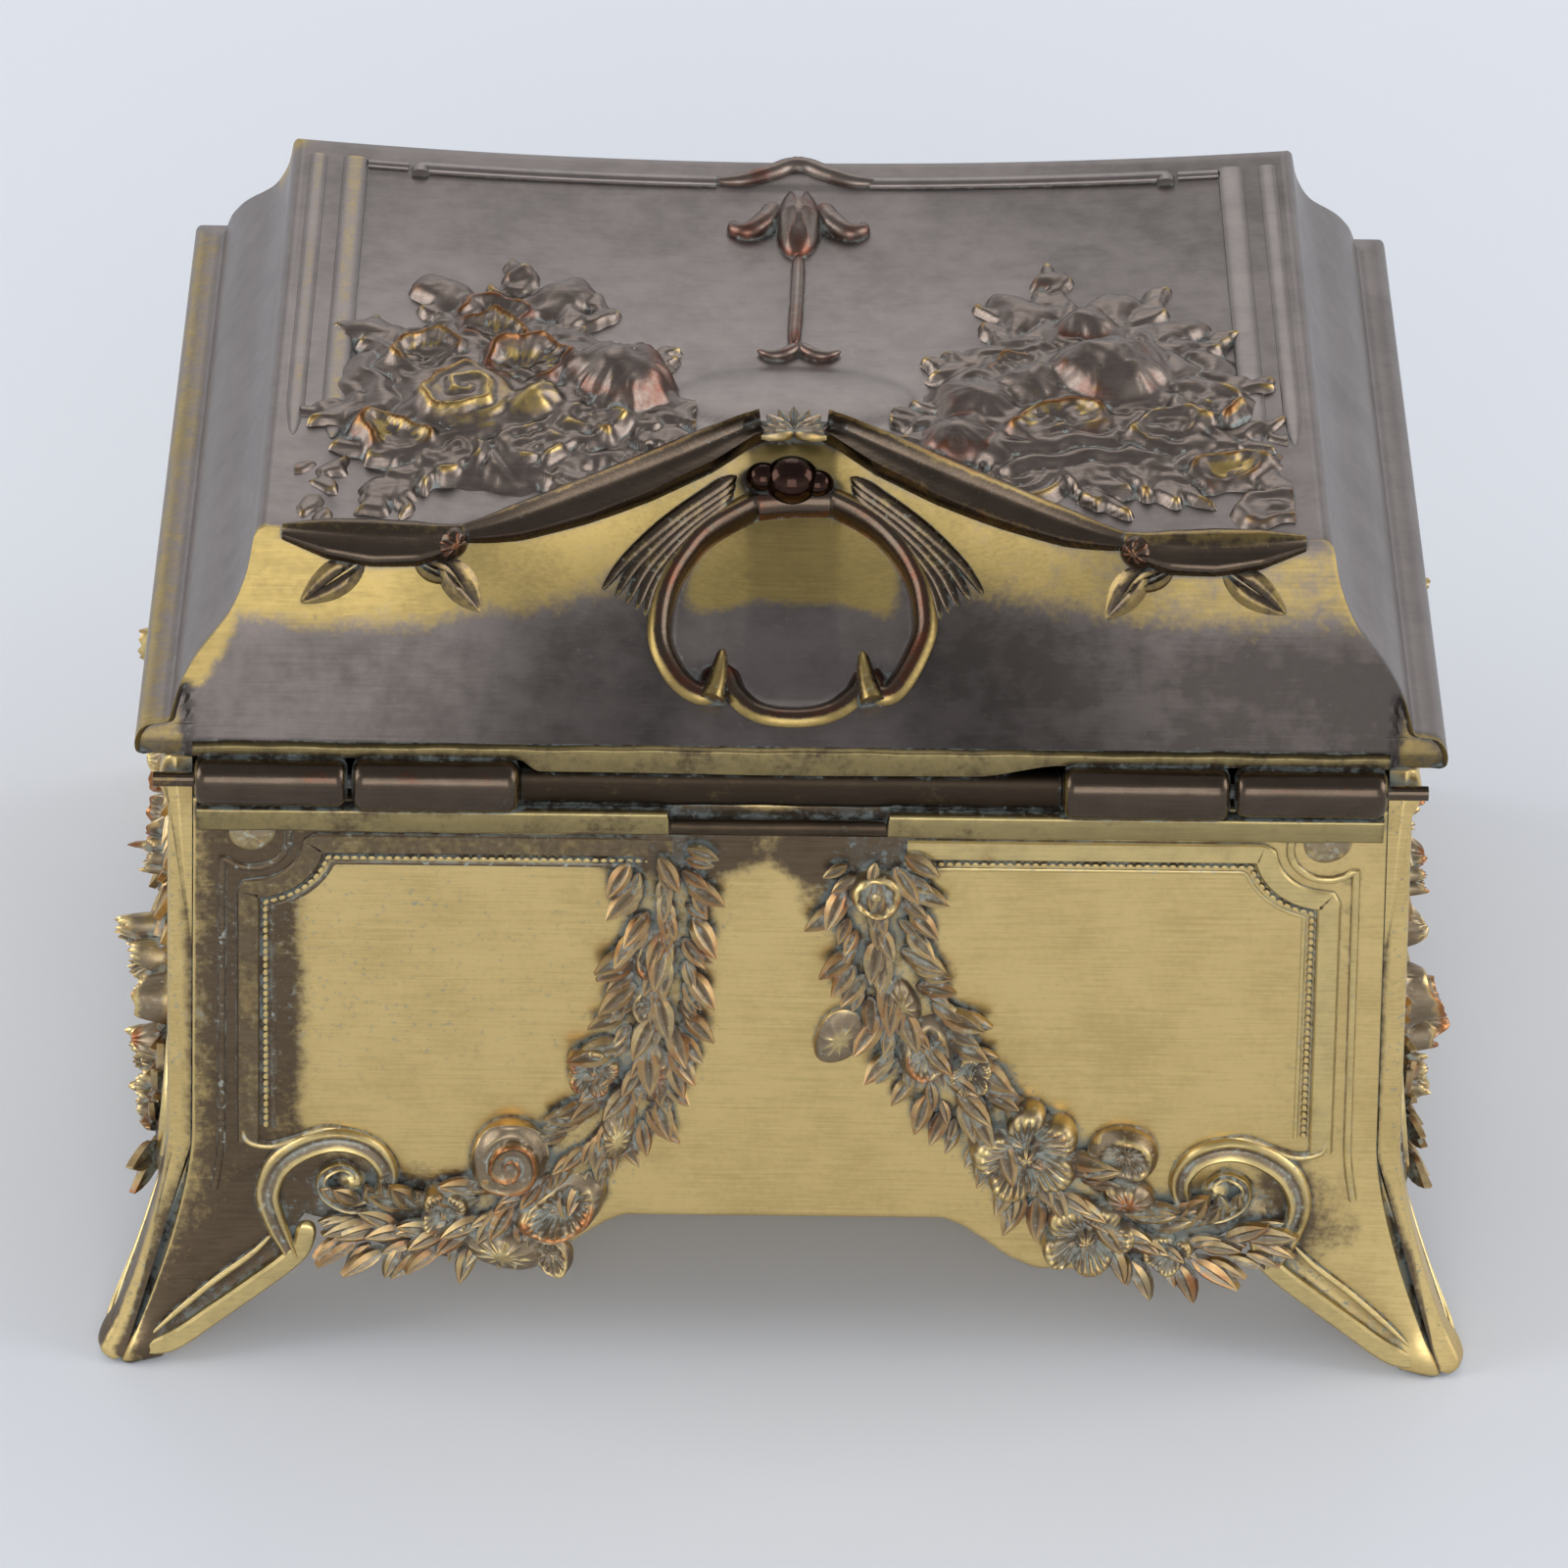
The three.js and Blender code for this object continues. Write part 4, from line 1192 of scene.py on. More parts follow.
class Recipe:
    """A Geometry Nodes tree with named inputs, which leaves a plain shape."""

    def __init__(self, name: str) -> None:
        """Start an empty tree.

        Args:
            name: Its name.
        """
        self.name = name
        self.tree = bpy.data.node_groups.new(name, "GeometryNodeTree")
        self.sockets: dict[str, str] = {}
        self.tree.interface.new_socket(name="Mesh", in_out="OUTPUT", socket_type="NodeSocketGeometry")

    def inputs(self, **kinds: str) -> dict[str, bpy.types.NodeSocket]:
        """Name the tree's inputs.

        Args:
            kinds: Input name to the end of its socket type's name.

        Returns:
            Input name to the socket that gives it inside the tree.
        """
        for name, kind in kinds.items():
            item = self.tree.interface.new_socket(name=name, in_out="INPUT", socket_type="NodeSocket" + kind)
            self.sockets[name] = item.identifier
        group = add_node(self.tree, "NodeGroupInput")
        return {name: group.outputs[name] for name in kinds}

    def ends_with(self, instances: bpy.types.NodeSocket, material: bpy.types.NodeSocket) -> None:
        """Make instances real, give them their material and send them out.

        Args:
            instances: The instances.
            material: The input that gives their material.
        """
        real = add_node(self.tree, "GeometryNodeRealizeInstances", {}, {"Geometry": instances})
        dressed = add_node(self.tree, "GeometryNodeSetMaterial", {}, {
            "Geometry": real.outputs[0], "Material": material})
        add_node(self.tree, "NodeGroupOutput", {}, {"Mesh": dressed.outputs[0]})

    def make(self, values: dict[str, Any], bend: Callable[[np.ndarray], np.ndarray],
             marks: dict[str, float]) -> bpy.types.Object:
        """Evaluate the tree once and keep its result as a plain object.

        Args:
            values: Input name to value.
            bend: Turns the flat result's points into places on the casket.
            marks: Marks for the whole mesh.

        Returns:
            The object, in metres, with its modifier gone.
        """
        host = bpy.data.objects.new(self.name + "_host", bpy.data.meshes.new(self.name + "_host"))
        bpy.context.scene.collection.objects.link(host)
        modifier = host.modifiers.new(self.name, "NODES")
        modifier.node_group = self.tree
        for name, value in values.items():
            modifier[self.sockets[name]] = value
        bpy.context.view_layer.update()
        graph = bpy.context.evaluated_depsgraph_get()
        mesh = bpy.data.meshes.new_from_object(host.evaluated_get(graph), depsgraph=graph)
        host.modifiers.remove(modifier)
        bpy.data.objects.remove(host)
        mesh.name = self.name
        flat = np.zeros(len(mesh.vertices) * 3, np.float32)
        mesh.vertices.foreach_get("co", flat)
        bent = bend(flat.reshape(-1, 3).astype(float)) * MM
        mesh.vertices.foreach_set("co", bent.astype(np.float32).ravel())
        mesh.polygons.foreach_set("use_smooth", np.ones(len(mesh.polygons), bool))
        for mark, value in marks.items():
            row = mesh.attributes.new(mark, "FLOAT", "POINT")
            row.data.foreach_set("value", np.full(len(mesh.vertices), value, np.float32))
        mesh.update()
        mesh.set_sharp_from_angle(angle=math.radians(SHARP_DEG))
        return bpy.data.objects.new(self.name, mesh)


def flat_paths(name: str, routes: Sequence[np.ndarray]) -> bpy.types.Object:
    """Hold routes as the splines of one curve object, in millimetres.

    Args:
        name: The object's name.
        routes: Points of each route, one a row.

    Returns:
        The curve object, linked to the scene until its tree has run.
    """
    data = bpy.data.curves.new(name, "CURVE")
    data.dimensions = "3D"
    for route in routes:
        spline = data.splines.new("POLY")
        spline.points.add(len(route) - 1)
        spline.points.foreach_set("co", np.column_stack([route, np.ones(len(route))]).ravel())
    paths = bpy.data.objects.new(name, data)
    bpy.context.scene.collection.objects.link(paths)
    return paths


def pattern_of(name: str, shape: Shape) -> bpy.types.Object:
    """Hold a shape, in millimetres, as the object that a tree repeats.

    Args:
        name: Its name.
        shape: The shape.

    Returns:
        The object.
    """
    mesh = bpy.data.meshes.new(name)
    mesh.from_pydata(shape.points.tolist(), [], shape.quads.tolist() + shape.tris.tolist())
    single = bpy.data.objects.new(name, mesh)
    bpy.context.scene.collection.objects.link(single)
    return single


def leaf_recipe(name: str) -> Recipe:
    """Build the tree that sets leaves in rows along curves, splayed to both sides and a little uneven.

    Args:
        name: The tree's name.

    Returns:
        The recipe.
    """
    recipe = Recipe(name)
    tree = recipe.tree
    known = recipe.inputs(Paths="Object", Leaf="Object", Spacing="Float", Reach="Float", Splay="Float",
                          Jitter="Float", Smallest="Float", Largest="Float", Lift="Float", Seed="Int",
                          Material="Material")
    paths, single = [add_node(tree, "GeometryNodeObjectInfo", {}, {"Object": known[key]}).outputs["Geometry"]
                     for key in ("Paths", "Leaf")]
    dots = add_node(tree, "GeometryNodeCurveToPoints", {"mode": "LENGTH"}, {
        "Curve": paths, "Length": known["Spacing"]})
    known["number"] = add_node(tree, "GeometryNodeInputIndex").outputs[0]
    # Numbers drawn for each leaf
    for salt, (key, low, high) in enumerate((
            ("outreach", 0.55, 1.0), ("height_share", 0.6, 1.2), ("sway", -1.0, 1.0), ("nod", 0.0, 0.3),
            ("roll", 0.1, 0.5), ("size", known["Smallest"], known["Largest"])), 1):
        seed = add_node(tree, "ShaderNodeMath", {"operation": "ADD"}, {0: known["Seed"], 1: float(salt)})
        known[key] = add_node(tree, "FunctionNodeRandomValue", {"data_type": "FLOAT"}, {
            2: low, 3: high, 8: seed.outputs[0]}).outputs[1]
    # Every third leaf lies on the middle, and the others to its two sides
    for key, operation, *values in (
            ("third", "FLOORED_MODULO", "number", 3.0),
            ("side", "SUBTRACT", "third", 1.0),
            ("spread", "MULTIPLY", "side", "Reach"),
            ("shift", "MULTIPLY", "spread", "outreach"),
            ("off_middle", "ABSOLUTE", "side"),
            ("nearness", "SUBTRACT", 1.25, "off_middle"),
            ("crest", "MULTIPLY", "nearness", "Lift"),
            ("height", "MULTIPLY", "crest", "height_share"),
            ("opposite", "MULTIPLY", "side", -1.0),
            ("unrest", "MULTIPLY", "Jitter", "sway"),
            ("turn", "MULTIPLY_ADD", "opposite", "Splay", "unrest"),
            ("lean", "MULTIPLY", "side", "roll")):
        links = {place: known[value] if isinstance(value, str) else value for place,
                 value in enumerate(values)}
        known[key] = add_node(tree, "ShaderNodeMath", {"operation": operation}, links).outputs[0]
    away = add_node(tree, "ShaderNodeVectorMath", {"operation": "CROSS_PRODUCT"}, {
        0: dots.outputs["Tangent"], 1: (0.0, 0.0, 1.0)}).outputs[0]
    sideways = add_node(tree, "ShaderNodeVectorMath", {"operation": "SCALE"}, {
        0: away, "Scale": known["shift"]}).outputs[0]
    raised = add_node(tree, "ShaderNodeCombineXYZ", {}, {"Z": known["height"]}).outputs[0]
    moved = add_node(tree, "ShaderNodeVectorMath", {"operation": "ADD"}, {0: sideways, 1: raised}).outputs[0]
    spread = add_node(tree, "GeometryNodeSetPosition", {}, {
        "Geometry": dots.outputs["Points"], "Offset": moved})
    forward = add_node(tree, "FunctionNodeAlignRotationToVector", {"axis": "Y", "pivot_axis": "Z"}, {
        "Vector": dots.outputs["Tangent"]}).outputs[0]
    own = add_node(tree, "ShaderNodeCombineXYZ", {}, {
        "X": known["nod"], "Y": known["lean"], "Z": known["turn"]}).outputs[0]
    own_turn = add_node(tree, "FunctionNodeEulerToRotation", {}, {0: own}).outputs[0]
    facing = add_node(tree, "FunctionNodeRotateRotation", {"rotation_space": "LOCAL"}, {
        0: forward, 1: own_turn}).outputs[0]
    leaves = add_node(tree, "GeometryNodeInstanceOnPoints", {}, {
        "Points": spread.outputs[0], "Instance": single, "Rotation": facing, "Scale": known["size"]})
    recipe.ends_with(leaves.outputs[0], known["Material"])
    return recipe


def bead_recipe(name: str) -> Recipe:
    """Build the tree that strings beads along curves.

    Args:
        name: The tree's name.

    Returns:
        The recipe.
    """
    recipe = Recipe(name)
    tree = recipe.tree
    given = recipe.inputs(Paths="Object", Bead="Object", Pitch="Float", Material="Material")
    paths, single = [add_node(tree, "GeometryNodeObjectInfo", {}, {"Object": given[key]}).outputs["Geometry"]
                     for key in ("Paths", "Bead")]
    dots = add_node(tree, "GeometryNodeCurveToPoints", {"mode": "LENGTH"}, {
        "Curve": paths, "Length": given["Pitch"]})
    forward = add_node(tree, "FunctionNodeAlignRotationToVector", {"axis": "Y", "pivot_axis": "Z"}, {
        "Vector": dots.outputs["Tangent"]}).outputs[0]
    beads = add_node(tree, "GeometryNodeInstanceOnPoints", {}, {
        "Points": dots.outputs["Points"], "Instance": single, "Rotation": forward})
    recipe.ends_with(beads.outputs[0], given["Material"])
    return recipe


ZONE = 1000.0


def zoned(zone: int, route: np.ndarray, lift: float = 0.0) -> np.ndarray:
    """Move a flat route to the zone of the face that it belongs to, and lift it."""
    return np.column_stack([route[:, 0] + zone * ZONE, route[:, 1], np.full(len(route), lift)])


def bend_onto(faces: Sequence[Face]) -> Callable[[np.ndarray], np.ndarray]:
    """Return the function that lays each zone's flat points on its face.

    Args:
        faces: One face for each zone.

    Returns:
        That function.
    """
    def bend(flat: np.ndarray) -> np.ndarray:
        """Lay points on their faces.

        Args:
            flat: Flat points in their zones.

        Returns:
            Places in space.
        """
        zone = np.round(flat[:, 0] / ZONE).astype(int)
        placed = np.zeros_like(flat)
        for number, face in enumerate(faces):
            mine = zone == number
            if mine.any():
                placed[mine] = face.lay(flat[mine] - [number * ZONE, 0, 0])
        return placed
    return bend


@dataclass
class Studio:
    """The camera of the photograph's view, a pale floor and soft lamps."""

    elevation_deg: float = 35.0
    distance: float = 821.12
    focal_share: float = 7855.88 / 1600
    yaw_deg: float = 0.62
    roll_deg: float = 1.02
    aside: float = -0.19
    below: float = 2.41
    pivot_depth: float = 52.97
    sensor: float = 36.0
    floor_hex: str = "d9dce2"
    sky_hex: str = "e4e7ec"
    horizon: float = 1.15
    zenith: float = 0.42

    def build(self, sizes: Measures) -> None:
        """Make the camera, floor, lamps and world.

        Args:
            sizes: The casket's sizes, which the camera's aim is taken from.
        """
        self.camera(sizes)
        self.floor()
        self.lamps()
        scene = bpy.context.scene
        scene.view_settings.view_transform = "Standard"
        world = bpy.data.worlds.new("pale_studio")
        scene.world = world
        world.use_nodes = True
        tree = world.node_tree
        tree.nodes.clear()
        way = add_node(tree, "ShaderNodeTexCoord").outputs["Generated"]
        height = add_node(tree, "ShaderNodeSeparateXYZ", {}, {"Vector": way}).outputs["Z"]
        known = add_rows(tree, (
            ("climb", Step.RAMP, "height", 0.1, 0.95),
            ("strength", Step.SUM, self.horizon, ("climb", self.zenith - self.horizon)),
        ), {"height": height})
        sky = add_node(tree, "ShaderNodeBackground", {}, {
            "Color": linear(self.sky_hex), "Strength": known["strength"]})
        add_node(tree, "ShaderNodeOutputWorld", {}, {"Surface": sky.outputs["Background"]})

    def camera(self, sizes: Measures) -> None:
        """Set the camera where the photograph was taken from: behind the casket and above it.

        Args:
            sizes: The casket's sizes, which the aim is taken from.
        """
        rise = math.radians(self.elevation_deg)
        back = sizes.half_depth + 0.05
        forward = Vector((0, -math.cos(rise), -math.sin(rise)))
        up = Vector((0, -math.sin(rise), math.cos(rise)))
        right = Vector((-1, 0, 0))
        spot = Vector((0, back,
                       sizes.flange)) - forward * self.distance + right * self.aside - up * self.below
        pivot = Matrix.Translation((0, back - self.pivot_depth, 0))
        turned = pivot @ Matrix.Rotation(math.radians(-self.yaw_deg), 4, "Z") @ pivot.inverted()
        basis = Matrix((right, up, -forward)).transposed().to_4x4()
        placed = turned @ Matrix.Translation(spot) @ basis @ Matrix.Rotation(math.radians(self.roll_deg), 4,
                                                                             "Z")
        placed.translation = placed.translation * MM
        data = bpy.data.cameras.new("view")
        data.sensor_width = self.sensor
        data.lens = self.focal_share * self.sensor
        data.clip_start, data.clip_end = 0.01, 20.0
        camera = bpy.data.objects.new("view", data)
        camera.matrix_world = placed
        bpy.context.scene.collection.objects.link(camera)
        bpy.context.scene.camera = camera

    def floor(self) -> None:
        """Lay the pale paper that the casket stands on."""
        material = bpy.data.materials.new("white_paper_matt")
        material.use_nodes = True
        tree = material.node_tree
        tree.nodes.clear()
        shader = add_node(tree, "ShaderNodeBsdfPrincipled", {}, {
            "Base Color": linear(self.floor_hex), "Roughness": 0.9, "Specular IOR Level": 0.2})
        place = add_node(tree, "ShaderNodeTexCoord").outputs["Object"]
        depth = add_node(tree, "ShaderNodeSeparateXYZ", {}, {"Vector": place}).outputs["Y"]
        # Only the camera sees this glow, and it is stronger further from the camera: a painted brightening of
        # the backdrop, not a lamp
        seen = add_node(tree, "ShaderNodeLightPath").outputs["Is Camera Ray"]
        known = add_rows(tree, (
            ("away", Step.RAMP, "depth", 0.05, -0.75),
            ("paleness", Step.SUM, 0.03, ("away", 0.18)),
        ), {"depth": depth})
        glow = add_node(tree, "ShaderNodeMath", {"operation": "MULTIPLY"}, {0: seen, 1: known["paleness"]})
        backdrop = add_node(tree, "ShaderNodeEmission", {}, {
            "Color": linear(self.sky_hex), "Strength": glow.outputs[0]})
        paper = add_node(tree, "ShaderNodeAddShader", {}, {
            0: shader.outputs["BSDF"], 1: backdrop.outputs["Emission"]})
        add_node(tree, "ShaderNodeOutputMaterial", {}, {"Surface": paper.outputs["Shader"]})
        mesh = bpy.data.meshes.new("floor")
        reach = 4.0
        mesh.from_pydata([(-reach, -reach, 0), (reach, -reach, 0), (reach, reach, 0), (-reach, reach, 0)],
                         [], [(0, 1, 2, 3)])
        mesh.materials.append(material)
        floor = bpy.data.objects.new("floor", mesh)
        bpy.context.scene.collection.objects.link(floor)

    def lamps(self) -> None:
        """Hang the soft lamps: one high beyond the casket's front, one behind it near the camera, and one to
        each side.
        """
        for name, place, size, watts in (
            ("far_softbox", (0.0, -1.15, 1.05), 0.7, 2.0),
            ("near_softbox", (0.0, 1.5, 0.75), 0.9, 6.4),
            ("left_softbox", (1.1, 0.05, 0.6), 0.8, 6.4),
            ("right_softbox", (-1.1, 0.0, 0.6), 0.8, 6.4),
        ):
            data = bpy.data.lights.new(name, "AREA")
            data.shape = "SQUARE"
            data.size = size
            data.energy = watts
            lamp = bpy.data.objects.new(name, data)
            lamp.location = place
            lamp.rotation_mode = "QUATERNION"
            lamp.rotation_quaternion = (Vector((0, 0, 0.05)) - Vector(place)).to_track_quat("-Z", "Y")
            bpy.context.scene.collection.objects.link(lamp)


@dataclass(frozen=True)
class Flower:
    """One flower of a garland: its kind, place, radius, height and turn."""

    kind: Bloom
    right: float
    up: float
    radius: float
    height: float
    turn: float = 0
    petals: int = 5
    squash: float = 1.0
    copper: float = 0.0
    worn: float = 0.4

    def model(self, seed: int, grow: float = 1.0, base: float = 0.0) -> Shape:
        """Model the flower about the origin, its height times `grow` and its foot at `base`.

        Args:
            seed: Picks its small irregularities.
            grow: Factor on its height.
            base: Height of its foot.

        Returns:
            The flower.
        """
        shape = bloom(self.kind, self.radius, self.height * grow, self.petals, seed)
        shape = shape.mapped(self.softened).placed((0, 0, base), scale=(1, self.squash, 1))
        shape = shape.placed((0, 0), self.turn)
        return shape.marked(worn=0.5 * self.worn - 0.14, copper=1.2 * self.copper * shape.marks["tops"])

    def softened(self, points: np.ndarray) -> np.ndarray:
        """Bend a flower out of true, as a worn casting from a hand-cut model is.

        Args:
            points: Places of the points, one a row.

        Returns:
            The bent places.
        """
        x, y, z = points.T / self.radius
        lean = 0.07 * math.sin(self.right * 1.7 + self.up)
        moved = [x + 0.07 * np.sin(2.3 * y + self.up) + lean * z, y + 0.07 * np.sin(2.1 * x + self.right),
                 z * (1 + 0.16 * np.sin(1.9 * x + 1.3 * y + self.right))]
        return np.stack(moved, 1) * self.radius


LEFT_STRAND = [(-14.2, 66.5), (-13.4, 62.0), (-13.2, 58.2), (-14.0, 49.2), (-15.8, 38.8), (-20.0, 30.0),
               (-27.0, 22.6), (-34.0, 17.2), (-41.5, 16.0), (-48.5, 17.6)]
RIGHT_STRAND = [(9.2, 66.2), (9.5, 61.7), (10.2, 53.4), (13.2, 45.0), (18.6, 36.0), (25.5, 27.4),
                (32.6, 20.0), (39.6, 15.6), (46.5, 15.2), (51.0, 17.6)]
LEFT_FLOWERS = [Flower(*row) for row in (
    (Bloom.ROSE, -30.3, 25.6, 4.7, 3.0, 20, 5, 1.0, 0.35),
    (Bloom.CUP, -24.6, 19.4, 5.6, 3.0, 195, 6, 0.66, 0.5),
    (Bloom.OPEN, -21.2, 38.0, 3.1, 1.7, 10, 5, 1.0, 0.4),
    (Bloom.CUP, -14.4, 53.0, 2.5, 1.7, 160, 4, 1.35, 0.6),
    (Bloom.CUP, -14.6, 46.0, 2.3, 1.6, 200, 4, 1.4, 0.55),
    (Bloom.BELL, -14.4, 37.4, 2.1, 1.5, 185, 4, 2.0, 0.6), (Bloom.BELL, -18.6, 29.6, 2.2, 1.9, 170, 5, 1.7),
    (Bloom.OPEN, -37.4, 18.4, 3.3, 1.7, 40, 4), (Bloom.BELL, -31.0, 13.4, 2.7, 1.9, 75, 4, 1.8),
    (Bloom.CUP, -25.8, 12.6, 2.3, 1.7, 230, 4, 1.3),
)]
RIGHT_FLOWERS = [Flower(*row) for row in (
    (Bloom.BUTTON, 9.5, 61.7, 2.9, 1.9), (Bloom.BELL, 12.6, 47.4, 1.7, 1.5, 20, 4, 2.0),
    (Bloom.CUP, 15.3, 41.2, 3.3, 2.1, 150, 5, 1.2, 0.55), (Bloom.OPEN, 20.2, 37.9, 2.7, 1.6, 30, 5),
    (Bloom.OPEN, 27.0, 27.6, 6.2, 2.5, 100, 5), (Bloom.CUP, 37.4, 27.2, 3.9, 1.8, 310, 6, 0.9),
    (Bloom.OPEN, 33.9, 16.3, 5.3, 2.2, 65, 5), (Bloom.OPEN, 42.6, 14.2, 2.9, 1.6, 15, 4),
    (Bloom.BELL, 38.2, 21.2, 2.2, 1.7, 60, 4, 1.5, 0.5), (Bloom.BELL, 5.6, 42.4, 2.6, 0.9, 160, 3, 1.4),
)]


def stitched(line: list[int], other: list[int], line_place: np.ndarray, other_place: np.ndarray,
             flip: bool) -> list[list[int]]:
    """Join two lines of points with triangles, stepping along whichever lags.

    Args:
        line: Point numbers of one line.
        other: Point numbers of the other line.
        line_place: How far along each point of the first line is.
        other_place: The same for the other line.
        flip: Turn the triangles round.

    Returns:
        The triangles.
    """
    tris = []
    i = j = 0
    while i < len(line) - 1 or j < len(other) - 1:
        if j == len(other) - 1 or (i < len(line) - 1 and line_place[i + 1] <= other_place[j + 1]):
            tri = [line[i], line[i + 1], other[j]]
            i += 1
        else:
            tri = [line[i], other[j + 1], other[j]]
            j += 1
        tris.append(tri[::-1] if flip else tri)
    return tris


@dataclass
class WallCasting:
    """One cast wall: the panel with its splayed half feet, frames, volutes, garlands and flowers."""

    sizes: Measures
    node: str
    face: WallFace
    top: float
    inset: float
    proud: float
    rim_lip: bool
    strands: list[Route]
    flowers: list[Flower]
    seed: int

    VOLUTE = ((14.0, 11.8), (11.9, 17.2), (11.0, 20.8), (11.9, 24.4), (14.6, 26.9), (17.8, 27.7),
              (21.0, 26.4), (22.7, 23.4), (21.9, 20.2), (19.0, 18.6), (16.4, 20.2), (16.0, 22.8),
              (17.9, 24.2), (19.5, 22.8), (18.7, 21.6))
    TENDRIL = ((8.0, 29.6), (8.4, 27.4), (10.6, 26.6), (13.2, 27.4), (16.2, 29.0), (19.4, 28.6))
    FOOT_LIP = ((14.9, 16.6), (14.6, 13.4), (13.6, 11.4), (11.4, 8.6), (9.0, 5.6), (6.6, 2.7), (4.0, 1.6))
    FOOT_RIDGE = ((12.0, 15.0), (10.6, 12.6), (8.2, 9.6), (6.0, 6.2), (4.4, 3.4))
    FOOT_CHANNEL = ((12.6, 13.6), (10.4, 10.6), (7.9, 7.2), (5.6, 4.2))

    def low_edge(self, a: np.ndarray) -> np.ndarray:
        """Height of the casting's lower edge: toe, instep, hanging garland and skirt.

        Args:
            a: Places to the viewer's right.

        Returns:
            Heights of the edge.
        """
        sizes = self.sizes
        reach = self.face.half - sizes.foot_reach
        corner = [0, 2.4, 3.4, 6.2, 7.6, 9, 11, 13, 13.8, 14.3]
        height = [1.0, 0.35, 0, 0.5, 3.4, 6.6, 9.4, 11.6, 13.4, sizes.skirt]
        shares = np.array([0.06, 0.14, 0.22, 0.29, 0.38, 0.46, 0.52, 0.57, 0.62, 0.66, 1])
        drops = np.array([0.4, 4.4, 5.6, 6.2, 6.9, 6.8, 5.2, 3, 1.0, 0, 0])
        corner += list(sizes.foot_reach + reach * shares)
        height += list(sizes.skirt - drops)
        return np.interp(self.face.half - np.abs(a), corner, height)

    def columns(self) -> np.ndarray:
        """Places of the panel's columns, closer together where the foot and the frames are.

        Returns:
            The places.
        """
        end = self.face.half - self.inset
        from_end = np.concatenate([[0.0, 0.25, 0.6, 1.1], np.arange(1.6, 16, 0.42),
                                   np.arange(16.2, end, 0.8)])
        right = end - from_end[from_end < end - 0.4]
        return np.unique(np.round(np.concatenate([-right, [0], right]), 4))

    def relief(self, a: np.ndarray, b: np.ndarray) -> np.ndarray:
        """Lift of the casting off its bare face: beds of the garlands, the foot's channel, the rim lip.

        Args:
            a: Places to the viewer's right.
            b: Places upward.

        Returns:
            The lift.
        """
        lift = np.zeros(a.shape)
        for route in self.strands:
            gap, along = distance_to(curve_through(route, 40), a, b)
            width = 4.6 * (0.7 + 0.3 * np.sin(math.pi * along))
            bed = np.clip(1 - (gap / width) ** 2, 0, 1) ** 0.8
            lift = np.maximum(lift, bed * (0.5 + 0.8 * self.proud) * (0.5 + 0.5 * smooth(0, 0.3, along)))
        from_corner = self.face.half - np.abs(a)
        gap, _ = distance_to(np.array(self.FOOT_CHANNEL), from_corner, b)
        lift -= 0.55 * np.exp(-(gap / 1.25) ** 2)
        lift += 0.7 * np.exp(-(np.hypot(from_corner - 3.2, b - 2.0) / 2.4) ** 2)
        if self.rim_lip:
            lift += np.interp(self.top - b, [0, 0.5, 1.6, 3, 4.4, 5.6, 6.2],
                              [0.1, 0.35, 0.8, 1.0, 0.8, 0.35, 0])
        lift -= rounding(0.8, 0.8, b - self.low_edge(a))
        corner = 0.25 if self.inset else 0.7
        lift -= rounding(corner, corner, self.face.half - self.inset - np.abs(a))
        lift -= rounding(0.4, 0.4, self.top - b)
        return lift

    def panel(self) -> Shape:
        """Model the panel as a fine outer sheet and a plain inner one, stitched round the edge.

        Returns:
            The panel, with its marks.
        """
        across = self.columns()
        seam = 30.0
        low = self.low_edge(across)
        climb = np.array([0, 0.006, 0.015, 0.03, 0.05, *np.linspace(0.08, 1, 34)])
        upper = np.concatenate([np.arange(seam + 0.7, self.top - 0.9, 0.7),
                                self.top - np.array([0.5, 0.25, 0.08, 0])])
        lower = low[:, None] + (seam - low[:, None]) * climb[None, :]
        b = np.concatenate([lower, np.broadcast_to(upper, (len(across), len(upper)))], 1)
        a = np.broadcast_to(across[:, None], b.shape)
        lift = self.relief(a, b)
        outer = self.face.lay(np.stack([a.ravel(), b.ravel(), lift.ravel()], 1))
        inner_rows = 4
        inner_b = low[:, None] + (self.top - low[:, None]) * np.linspace(0, 1, inner_rows)[None, :]
        inner_a = np.broadcast_to(across[:, None], inner_b.shape)
        flat = np.stack([inner_a.ravel(), inner_b.ravel(), np.zeros(inner_a.size)], 1)
        inner = self.face.lay(flat) - self.face.turned(np.zeros(1), np.full(1, self.sizes.wall), np.zeros(1))
        rows, columns, count = b.shape[1], len(across), len(outer)
        first = np.arange(columns - 1)
        low_inner = count + first * inner_rows
        quads = [grid_quads(columns, rows), grid_quads(columns, inner_rows, count)[:, ::-1],
                 np.stack([(first + 1) * rows, first * rows, low_inner, low_inner + inner_rows], 1),
                 np.stack([first * rows + rows - 1, (first + 1) * rows + rows - 1,
                           low_inner + 2 * inner_rows - 1, low_inner + inner_rows - 1], 1)]
        tris: list[list[int]] = []
        for column in (0, columns - 1):
            line = [column * rows + k for k in range(rows)]
            other = [count + column * inner_rows + k for k in range(inner_rows)]
            tris += stitched(line, other, outer[line, 2], inner[[o - count for o in other], 2], column > 0)
        shape = Shape.of(np.concatenate([outer, inner]), np.concatenate(quads), tris)
        wear = self.wear(a.ravel(), b.ravel())
        low_places = (1 - smooth(-0.4, 0.5, lift.ravel())) * (lift.ravel() < -0.05)
        leaves = 1 - smooth(3.5, 9.0, self.strand_gap(a.ravel(), b.ravel()))
        left = (1 - smooth(-50, 10, a.ravel())) * (1 - smooth(58, 66, b.ravel())) * smooth(30, 44, b.ravel())
        grime = np.maximum.reduce([0.35 * low_places, 0.5 * leaves, 0.3 * left])
        return shape.marked(worn=np.concatenate([wear, np.full(len(inner), 0.1)]),
                            grime=np.concatenate([grime, np.full(len(inner), 0.2)]))

